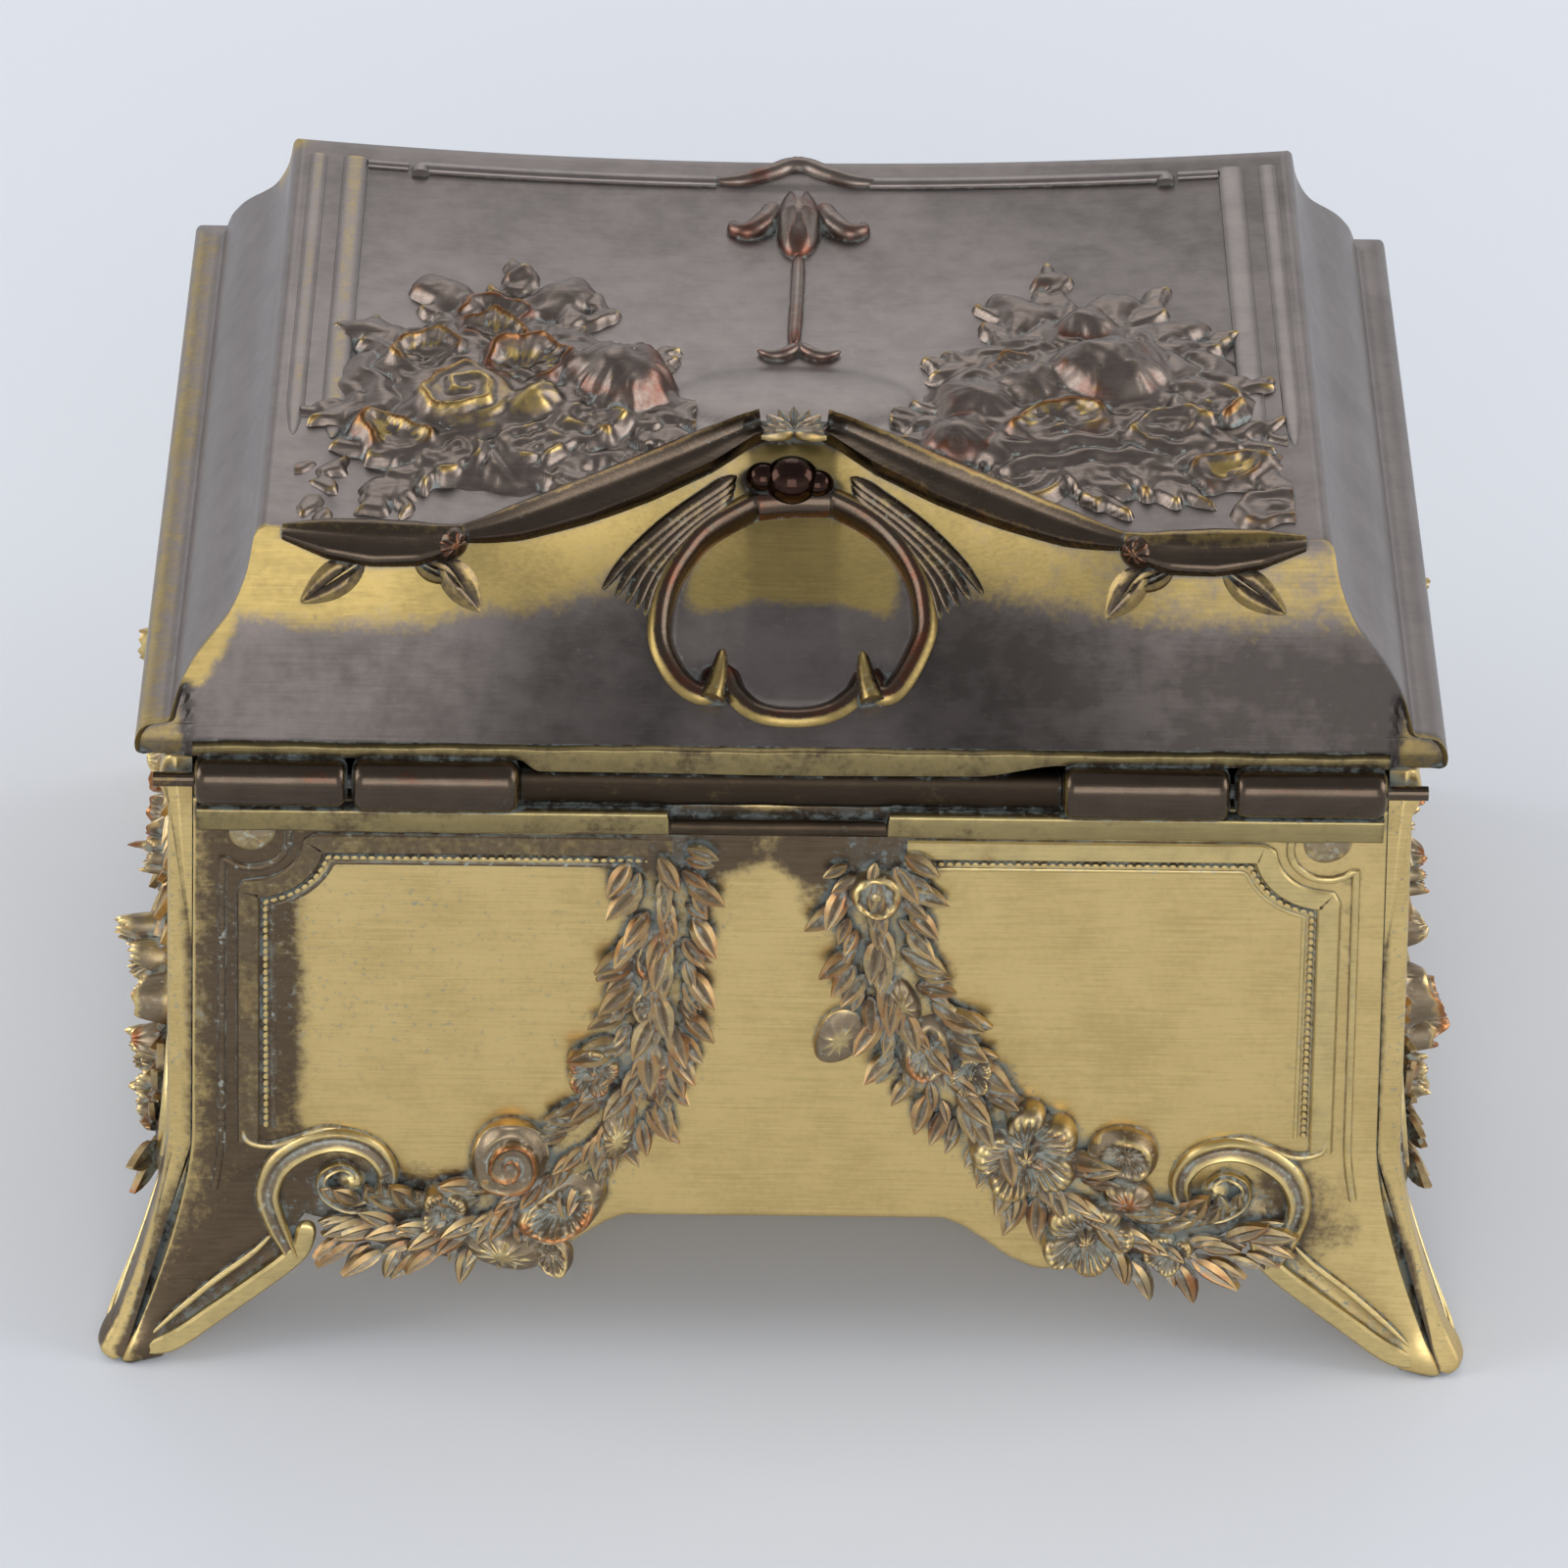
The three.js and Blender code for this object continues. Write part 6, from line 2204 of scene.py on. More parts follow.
@dataclass
class Spray:
    """One spray of the lid as a sheet of heights, whose flowers, folds and leaves melt into each other."""

    top: LidTop
    slope: BackSlope
    side: int
    flowers: list[Flower]
    spokes: list[Route]
    curls: list[tuple]
    pitch: float = 0.33

    @staticmethod
    def melted(first: np.ndarray, second: np.ndarray, blend: float = 0.28) -> np.ndarray:
        """Unite two fields of heights with a soft crease."""
        crease = 0.5 * blend * np.exp(-np.abs(first - second) / blend)
        return np.maximum(first, second) + crease * smooth(-0.6, 0.1, np.minimum(first, second))

    @staticmethod
    def blurred(heights: np.ndarray, times: int) -> np.ndarray:
        """Even out heights by a number of passes over their neighbours.

        Args:
            heights: A grid of heights.
            times: How many passes.

        Returns:
            The softer grid.
        """
        for _ in range(times):
            wide = np.pad(heights, 1, "edge")
            heights = (wide[2:, 1:-1] + wide[:-2, 1:-1] + wide[1:-1, 2:] + wide[1:-1, :-2] + 2 * heights) / 6
        return heights

    def mound(self, a: np.ndarray, b: np.ndarray) -> np.ndarray:
        """The bed that the spray grows out of, below the top's surface outside it."""
        bed = 1 - ((a - self.side * 32.5) / 17.5) ** 2 - ((b + 12.5) / 17) ** 2
        return np.where(bed > 0, 1.9 * np.abs(bed) ** 0.6, np.maximum(bed * 2.2, -1.0)) - 0.25

    def folds(self, a: np.ndarray, b: np.ndarray) -> np.ndarray:
        """Ruffles that run round the flowers like petals half hidden under them.

        Args:
            a: Places to the viewer's right.
            b: Places upward.

        Returns:
            Heights of the ruffles.
        """
        near = np.full(a.shape, 9.0)
        turn = np.zeros(a.shape)
        for flower in self.flowers:
            x, y = a - flower.right, (b - flower.up) / flower.squash
            gap = np.hypot(x, y) / flower.radius
            turn = np.where(gap < near, np.arctan2(y, x) + flower.right, turn)
            near = np.minimum(near, gap)
        wave = np.sin(math.pi * (1.55 * near + 0.22 * np.sin(3 * turn) + 0.1 * np.sin(7 * turn)))
        return 1.05 * np.abs(wave) ** 0.7 * (1 - smooth(1.6, 2.6, near))

    def leaves(self, a: np.ndarray, b: np.ndarray, heights: np.ndarray) -> np.ndarray:
        """Lay leaves along the spokes, each one a pair of lobes with a midrib.

        Args:
            a: Places to the viewer's right.
            b: Places upward.
            heights: The sheet so far.

        Returns:
            The sheet with its leaves.
        """
        chance = np.random.default_rng(70 + self.side)
        for spoke in self.spokes:
            line = resampled(np.array(spoke, float), 9)
            way = np.gradient(line, axis=0)
            heading = np.arctan2(way[:, 1], way[:, 0])
            for number, (place, angle) in enumerate(zip(line, heading)):
                turn = angle + (0 if number == 8 else chance.uniform(0.35, 0.95) * (-1) ** number)
                length, width = chance.uniform(3.6, 5.6), chance.uniform(0.85, 1.3)
                x, y = a - place[0], b - place[1]
                along = (x * math.cos(turn) + y * math.sin(turn)) / length
                bend = 0.9 * (along - 0.5) ** 2 * (-1) ** number
                across = (-x * math.sin(turn) + y * math.cos(turn)) + bend
                half = width * np.sin(math.pi * np.clip(along, 0.001, 0.999) ** 0.75) ** 0.8
                share = np.abs(across) / np.maximum(half, 0.05)
                lobe = 0.75 * np.sqrt(np.clip(1 - share ** 2, 0,
                                              1)) + 0.3 - 0.3 * np.exp(-(across / 0.24) ** 2)
                edge = np.maximum(share - 1, 0) * 1.8 + np.maximum(np.abs(along - 0.5) - 0.5,
                                                                   0) * length * 1.5
                body = 0.42 + 0.58 * smooth(-1.2, 0.9,
                                            float(self.mound(np.array(place[0]), np.array(place[1]))))
                lift = body * np.where(edge > 0, 0.3, lobe) - np.where(edge > 0, edge, 0)
                lift = np.maximum(lift + 0.4 * body * np.clip(along, 0, 1), -1.0)
                heights = self.melted(heights, lift, 0.2)
        return heights

    def shape(self) -> Shape:
        """Work up the whole sheet.

        Returns:
            The spray, in its place on the lid.
        """
        ends = sorted((self.side * 10.5, self.side * 53.6))
        far = 19.0
        a, share = np.meshgrid(np.arange(*ends, self.pitch), np.linspace(0, 1, 176), indexing="ij")
        near = self.slope.scoop(a) - (self.top.sizes.lid_half_y - self.top.inset) + 0.5
        b = near + (far - near) * share
        x = a + 0.45 * np.sin(0.62 * b + 1.1) + 0.3 * np.sin(0.9 * a - 1.2 * b) + 0.12 * np.sin(2.1 * b + a)
        y = b + 0.45 * np.sin(0.57 * a) + 0.3 * np.sin(1.1 * a + 0.8 * b + 2) + 0.12 * np.sin(1.9 * a - b)
        mound = self.mound(x, y)
        height = self.leaves(x, y, mound.copy())
        height = self.melted(height, mound + self.folds(x, y) * smooth(-0.6, 0.8, mound))
        copper, worn = np.zeros(a.shape), np.full(a.shape, -0.12)
        for number, flower in enumerate(self.flowers):
            turn = math.radians(flower.turn)
            across, along = x - flower.right, y - flower.up
            across, along = (across * math.cos(turn) + along * math.sin(turn),
                             (along * math.cos(turn) - across * math.sin(turn)) / flower.squash)
            outline, rise = bloom_form(flower.kind, flower.petals, 400 + number)
            angle = np.arctan2(along, across)
            share = np.hypot(across, along) / (flower.radius * outline(angle))
            bloomed = 0.92 * flower.height * rise(np.minimum(share, 1), angle)
            bloomed = bloomed - np.maximum(share - 1, 0) * flower.radius * 2.2
            foot = max(float(self.mound(np.array(flower.right), np.array(flower.up))), 0) * 0.75
            lift = np.maximum(bloomed + foot, -1.0)
            over = smooth(-0.4, 0.2, lift - height) * (1 - smooth(0.98, 1.08, share))
            inner = (1 - smooth(0.35, 0.62, share)) * (flower.kind is Bloom.CUP)
            copper = np.where(over > 0.5, 0.66 * flower.copper * smooth(0.35, 0.75, share), copper)
            worn = worn * (1 - over) + over * (-0.12 + 0.62 * flower.worn * inner + 0.2 * flower.worn)
            height = self.melted(height, lift)
        for right, up, radii, start, end in self.curls:
            for radius in radii:
                turns = np.radians(np.linspace(start, end, 20))
                arc = np.stack([right + radius * np.cos(turns), up + radius * np.sin(turns)], 1)
                gap, place = distance_to(arc, a, b)
                size = 0.5 + 0.5 * np.sin(math.pi * place)
                height = self.melted(height, 1.15 * size - 0.9 * (gap / (0.75 * size)) ** 2, 0.2)
        height = self.blurred(np.maximum(height, -1.0), 1)
        stands = height - self.blurred(height, 14)
        gold = (0.22 - 0.07 * self.side) * np.exp(-((a - self.side * 31) / 10) ** 2 - ((b + 18.5) / 5.5) ** 2)
        worn = worn + gold * smooth(0.5, 2.0, height) * (0.55 + 0.9 * smooth(-0.2, 0.5, stands))
        shape = slab(np.stack([a, b, height], 2), np.stack([a, b, 0 * a - 1.5], 2))
        marks = dict(worn=worn, copper=copper + 0.1 * smooth(0.3, 0.8, stands),
                     tops=smooth(0.15, 0.75, stands),
                     grime=0.55 * smooth(0.05, 0.5, -stands))
        flat = {name: np.tile(value.ravel(), 2) for name, value in marks.items()}
        return shape.mapped(self.top.lay).marked(**flat)


@dataclass
class LidOrnament:
    """The lid's raised ornament: ribs, bead, cartouche rim, fans, sprays, bellflower and frames."""

    top: LidTop
    slope: BackSlope

    RIB = ((-1.9, -1.2), (-1.9, 0.3), (-1.55, 0.95), (-1.15, 1.15), (-0.75, 0.9), (-0.2, 0.5), (0.7, 0.42),
           (1.7, 0.55), (2.5, 0.62), (2.8, 0.3), (2.8, -1.2))
    OUTER_RIB = ((-1.7, -1.2), (-1.7, 0.3), (-1.2, 1.0), (-0.4, 1.25), (0.6, 1.05), (1.6, 0.55), (2.2, 0.6),
                 (2.7, 0.4), (2.9, 0.0), (2.9, -1.2))
    RIM = ((-1.9, -2.0), (-1.9, -1.0), (-1.5, -0.15), (-0.9, 0.45), (-0.2, 0.8), (0.35, 0.8), (0.8, 0.5),
           (1.2, 0.1), (1.4, -0.5), (1.4, -2.0))
    FANS = (((-6.2, 0.825), (-12.6, 0.755), (-17.6, 0.66), (-20.4, 0.56)),
            ((-6.3, 0.795), (-12.2, 0.73), (-16.6, 0.63), (-19.0, 0.52)),
            ((-6.5, 0.77), (-11.9, 0.70), (-15.8, 0.60), (-17.8, 0.48)),
            ((-6.8, 0.75), (-11.7, 0.675), (-15.1, 0.57), (-16.8, 0.45)),
            ((-7.1, 0.73), (-11.7, 0.65), (-14.8, 0.54), (-15.9, 0.42)))
    BELL = ((-2.5, 30.5), (-3.6, 27.6), (-5.6, 25.4), (-7.2, 25.9), (-7.4, 27.4))
    CREST = ((-9.5, 36.4), (-6.0, 36.9), (-3.2, 38.4), (-1.2, 39.9), (0.6, 40.3))
    PRONG = ((0.0, 1.0), (-1.6, -0.6), (-3.2, -0.9), (-4.6, 0.0))

    def rib(self, start: float, end: float, profile: Sequence[tuple[float, float]], widths: Sequence[float],
            heights: Sequence[float]) -> Shape:
        """Run a rib along the top's back edge.

        Args:
            start: Where it starts, to the viewer's right of the middle.
            end: Where it ends.
            profile: Its outline, from the top's side to the slope's side.
            widths: Factors on its width at even steps along it.
            heights: Factors on its height at the same steps.

        Returns:
            The rib.
        """
        count = 70
        u = np.linspace(start, end, count)
        reach = np.linspace(start - (end - start) * 0.08, end + (end - start) * 0.08, count + 12)
        edge = self.slope.point(reach, np.full(len(reach), 1.0))
        for column in range(3):
            edge[:, column] = np.convolve(np.pad(edge[:, column], 4, "edge"), np.ones(9) / 9, "valid")
        edge = edge[6:-6]
        up = self.slope.normal(u, np.full(count, 0.9)) + [0, 0, 1]
        up /= np.linalg.norm(up, axis=1, keepdims=True)
        place = np.linspace(0, 1, count)
        steps = np.linspace(0, 1, len(widths))
        scale = np.stack([np.interp(place, steps, widths), np.interp(place, steps, heights)], 1)
        shape = ridge(edge, up, np.array(profile), scale)
        return shape.marked(worn=-0.14 + 0.1 * (start > 0), copper=0.1 * shape.marks["tops"])

    def ribs(self) -> list[Shape]:
        """Model the four ribs, the knops where they meet and the leaves that hang from them.

        Returns:
            The pieces.
        """
        pieces = []
        for side in (-1, 1):
            inner = dict(widths=(0.55, 0.95, 1.05, 1.0, 0.8, 0.3), heights=(2.1, 1.7, 1.25, 1.0, 0.9, 0.7))
            outer = dict(widths=(0.5, 1.0, 1.1, 0.9, 0.35), heights=(0.8, 1.0, 0.9, 0.9, 0.5))
            if side < 0:
                inner, outer = ({name: values[::-1] for name, values in sizes.items()} for sizes in (inner,
                                                                                                     outer))
            ends, far = sorted((side * 3.4, side * 36.4)), sorted((side * 35.2, side * 54.4))
            pieces.append(self.rib(*ends, self.RIB, **inner))
            pieces.append(self.rib(*far, self.OUTER_RIB, **outer))
            knop = bloom(Bloom.BELL, 1.9, 2.2, 3, 4)
            pieces.append(self.slope.carry(knop, side * 36.6, 0.95).marked(worn=-0.1, copper=0.45))
            for place, turn, long, wide in ((37.6, 215, 7.5, 3.6), (45.5, 125, 8.5, 4.0),
                                            (40.4, 240, 5.5, 2.8)):
                frond = leaf(long, wide, 0.6, 7, 12, 0.06).placed((0, 0, -0.1), -side * turn)
                pieces.append(self.slope.carry(frond, side * place, 0.88).marked(worn=0.1, tops=0.2))
        return pieces

    def cartouche(self) -> list[Shape]:
        """Model the rim round the sunk field, its two cusps and the fans of flutes beside it.

        Returns:
            The pieces.
        """
        profile = np.array(self.RIM)
        rim = self.slope.moulding(CARTOUCHE, profile, closed=True, step=0.45)
        across = np.tile(profile[:, 0], len(rim.points) // len(profile))
        pieces = [rim.marked(worn=np.where(across > 0.5, 0.45, -0.3),
                             copper=np.where(across < 0.5, 0.3, 0.0))]
        for side in (-1, 1):
            cusp = [(side * 8.6, 0.115), (side * 8.0, 0.17), (side * 7.5, 0.26)]
            pieces.append(self.slope.moulding(cusp, half_round(2.8, 1.9, 2.6), (0, 0.9), step=0.3)
                          .marked(worn=0.1, grime=0.35))
            for number, route in enumerate(self.FANS):
                flute = [(-side * a, b) for a, b in route]
                pieces.append(self.slope.moulding(flute, half_round(1.9, 0.8 - 0.06 * number), (0.1, 0.5))
                              .marked(worn=-0.12, grime=0.3))
        return pieces

    def middle(self) -> list[Shape]:
        """Model the shell collar between the ribs, the bellflower, its stem and the crest at the front.

        Returns:
            The pieces.
        """
        pieces = []
        for number, turn in enumerate(np.linspace(-105, 105, 11)):
            flute = leaf(5.0 - 0.012 * abs(turn), 1.5, 0.5, 5, 8, 0.1).placed((0, 0, 0.5), turn)
            pieces.append(self.top.carry(flute, 0, -17.6).marked(worn=-0.1, grime=0.2))
        drop = bloom(Bloom.BELL, 2.7, 2.6, 2, 9).placed((0, 0), scale=(1, 2.5, 1))
        pieces.append(self.top.carry(drop, 0.6, 27.2).marked(worn=-0.3, copper=0.3, tops=0))
        for side in (-1, 1):
            for route, width, high in ((self.BELL, 3.0, 1.5), (self.CREST, 2.4, 1.1), (self.PRONG, 1.5, 0.7)):
                line = [(0.6 - side * a, b) if route is self.CREST else (0.6 + side * a, b) for a, b in route]
                ends = (0.5, 0) if route is self.CREST else (0.1, 0.6)
                pieces.append(self.top.moulding(line, half_round(width, high), ends, step=0.35)
                              .marked(worn=-0.3, copper=0.15, tops=0))
        pieces.append(self.top.moulding([(0.6, 20.5), (0.4, 12.0), (0.0, 1.0)], half_round(1.5, 0.6),
                                        (0.1, 0.1))
                      .marked(worn=-0.3, copper=0.25, tops=0))
        return pieces

    def frames(self) -> list[Shape]:
        """Model the fillets along the top's sides and front.

        Returns:
            The fillets.
        """
        pieces = []
        for side in (-1, 1):
            for place, width, worn in ((50.0, 2.8, 0.0), (54.2, 2.0, -0.03)):
                pieces.append(self.top.moulding([(side * place, 37.5), (side * place, -22.0)],
                                                half_round(width, 0.3),
                                                (0, 0.1), straight=True).marked(worn=worn if side < 0
                                                                                else -0.3))
            line = [(side * 42.6, 35.2), (side * 42.6, 36.6), (side * 8.8, 36.6)]
            pieces.append(self.top.moulding(line, half_round(1.9, 0.5), straight=True).marked(worn=-0.3))
            line = [(side * 48.6, 36.6), (side * 44.0, 36.6)]
            pieces.append(self.top.moulding(line, half_round(1.4, 0.35), straight=True).marked(worn=-0.3))
        return pieces

    def build(self, bronze: bpy.types.Material, dark: bpy.types.Material, relief: bpy.types.Material,
              bright: bpy.types.Material) -> None:
        """Make the ornament's pieces.

        Args:
            bronze: The lid's finish.
            dark: The finish of the ribs and the rim.
            relief: The finish of the sprays.
            bright: The finish of the bead.
        """
        for name, shapes, metal in (
                ("lid_ribs", self.ribs(), dark), ("lid_cartouche_rim", self.cartouche(), dark),
                ("lid_bellflower", self.middle(), relief), ("lid_top_fillets", self.frames(), bronze)):
            Shape.join(shapes).to_object(name, metal, "lid", BRONZE_SLOT, SOFT_DEG)
        for name, side in (("lid_spray_left", -1), ("lid_spray_right", 1)):
            spray = Spray(self.top, self.slope, side, [f for f in SPRAY_FLOWERS if f.right * side > 0],
                          [s for s in SPRAY_SPOKES if s[0][0] * side > 0],
                          [c for c in CURLS if c[0] * side > 0])
            spray.shape().to_object(name, relief, "lid", BRONZE_SLOT, SPRAY_DEG)
        bosses = [ball(size, 32, 18).mapped(lambda points, at=at: points * [1.15, 1, 1] + at)
                  for size, at in ((2.75, (0.2, 21.6, 94.4)), (1.75, (3.3, 21.4, 94.6)),
                                   (1.6, (-2.6, 21.9, 94.2)))]
        Shape.join(bosses).to_object("lid_bead", bright, "lid", BRONZE_SLOT)


@dataclass
class Hinge:
    """The hinge: the strip along the foot of the lid's slope and four rolled knuckles."""

    sizes: Measures
    strip_half: float = 63.8
    strip_face: float = 52.15
    strip_top: float = 79.7
    strip_low: float = 78.25
    lip_low: float = 76.75

    @staticmethod
    def bar(u: np.ndarray, face: np.ndarray, back: float, top: np.ndarray, low: np.ndarray,
            radius: np.ndarray) -> Shape:
        """Model a bar along the hinge.

        Args:
            u: Places along it.
            face: How far out its outer face stands at each place.
            back: Where its inner face is.
            top: Height of its upper edge at each place.
            low: Height of its lower edge at each place.
            radius: Radius of its edges at each place.

        Returns:
            The bar.
        """
        around = []
        for outer, upper, start in ((1, 1, 0), (0, 1, 90), (0, 0, 180), (1, 0, 270)):
            for angle in np.radians(start + np.array([8.0, 45.0, 82.0])):
                y = face - radius if outer else back + radius
                z = top - radius if upper else low + radius
                around.append(np.stack([-u, y + radius * math.cos(angle), z + radius * math.sin(angle)], 1))
        grid = np.stack(around, 1)
        count, rows = grid.shape[:2]
        points = np.concatenate([grid.reshape(-1, 3), [grid[0].mean(0), grid[-1].mean(0)]])
        ring = np.arange(rows)
        ahead, centre, last = (ring + 1) % rows, np.full(rows, count * rows), (count - 1) * rows
        tris = np.concatenate([np.stack([centre, ahead, ring], 1),
                               np.stack([centre + 1, last + ring, last + ahead], 1)])
        quads = grid_quads(count, rows + 1)
        station, number = np.divmod(quads, rows + 1)
        return Shape.of(points, station * rows + number % rows, tris)

    def strip(self) -> Shape:
        """Model the strip on the lid, with the lip that hangs between the inner knuckles.

        Returns:
            The strip.
        """
        u = np.linspace(-self.strip_half, self.strip_half, 320)
        drop = smooth(-29.2, -26.8, u) * (1 - smooth(19.5, 28.9, u)) + 0.12 * np.exp(-(u / 14) ** 2)
        wave = 0.05 * np.sin(u * 0.31) + 0.04 * np.sin(u * 0.83 + 1)
        low = self.strip_low - (self.strip_low - self.lip_low) * drop
        whole = np.ones(len(u))
        return self.bar(u, self.strip_face * whole, 51.02, self.strip_top + wave, low,
                        0.24 * whole).marked(worn=0.12, deep=0.4)

    def rail(self) -> Shape:
        """Model the bevelled bar on the back wall, whose middle is lower, rounder and dark.

        Returns:
            The bar, with the dark one behind it.
        """
        ends = [np.linspace(-13.5, -12.5, 11), np.linspace(9.9, 10.9, 11)]
        u = np.unique(np.concatenate([np.linspace(-63.5, 63.5, 240), *ends]))
        middle = smooth(-13.2, -12.8, u) * (1 - smooth(10.2, 10.6, u))
        sag = 0.1 * np.sin(u * 0.21) + 0.06 * np.sin(u * 0.77)
        top, low = 72.2 - 1.3 * middle + 0.1 * sag, 69.0 + 0.25 * (1 - middle) + sag * (1 - middle) * 0.6
        bar = self.bar(u, 53.15 - 0.15 * middle, 51.35, top, low, 0.45 + 0.4 * middle)
        middle, u = (np.append(np.repeat(row, 12), [0, 0]) for row in (middle, u))
        inward = bar.points[:, 2] > 71.9
        bar = bar.marked(worn=0.16 - 0.4 * middle + 0.12 * smooth(-20, 40, u), deep=0.45 * middle,
                         grime=0.25 * inward * (1 - middle))
        # The bar in the slot between the inner knuckles is darkened almost to the darkest patina: painted
        # shade for the shadowed slot, over its mottled brown
        u = np.linspace(-28.85, 28.85, 120)
        sag = 0.07 * np.sin(u * 0.34) + 0.05 * np.sin(u * 0.9 + 1)
        whole = np.ones(len(u))
        inner = self.bar(u, 51.95 + sag, 49.3, 76.3 + 0.5 * sag, 72.0 * whole, 1.25 * whole)
        return Shape.join([bar, inner.marked(worn=-0.1, deep=0.95, grime=-0.3)])

    def knuckle(self, node: str, tail: float) -> Shape:
        """Model a rolled knuckle with rounded ends.

        Args:
            node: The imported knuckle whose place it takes.
            tail: How far its outer face runs down below the pin.

        Returns:
            The knuckle.
        """
        low, high = (np.array(corner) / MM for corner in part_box(node))
        radius = (high[2] - low[2]) / 2
        count = 60
        x = np.linspace(low[0], high[0], count)
        end = np.minimum(x - low[0], high[0] - x)
        shrink = 1 - (1 - np.sqrt(np.clip(1 - (1 - np.clip(end / 1.3, 0, 1)) ** 2, 0.0, 1))) * 0.42
        angles = np.linspace(0, 2 * math.pi, 44, endpoint=False)
        power = 2 / 2.5
        across = np.sign(np.cos(angles)) * np.abs(np.cos(angles)) ** power * radius
        upward = np.sign(np.sin(angles)) * np.abs(np.sin(angles)) ** power * radius
        upward = np.where(upward < 0, upward * tail / radius, upward)
        path = np.stack([x, np.full(count, self.sizes.hinge_y), np.full(count, self.sizes.hinge_z)], 1)
        grooves = 1 + 0.004 * np.sin(x * 2.1)
        shape = ridge(path, np.tile([0.0, 0, 1], (count, 1)), np.stack([across, upward], 1),
                      np.stack([shrink * grooves, shrink * grooves], 1))
        near_end = np.minimum(shape.points[:, 0] - low[0], high[0] - shape.points[:, 0])
        return shape.outward().marked(worn=-0.25 + 0.45 * (near_end < 0.5), tops=0.0)

    def build(self, brass: bpy.types.Material, bronze: bpy.types.Material) -> None:
        """Make the hinge's pieces.

        Args:
            brass: Finish of the strip.
            bronze: Finish of the knuckles.
        """
        strip = self.strip().to_object("lid_hinge_strip", brass, "lid", BRASS_SLOT)
        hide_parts("lid_hinge_rail")
        rail = self.rail().to_object("case_hinge_bar", brass, "casket", BRASS_SLOT)
        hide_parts("base_hinge_rail")
        for node, body, tail in (("lid_knuckle_left", "lid", 2.5), ("lid_knuckle_right", "lid", 2.5),
                                 ("base_knuckle_left", "casket", 3.1), ("base_knuckle_right", "casket", 3.1)):
            rolled = self.knuckle(node, tail).to_object(f"{node}_rolled", bronze, body, BRONZE_SLOT)
            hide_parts(node)


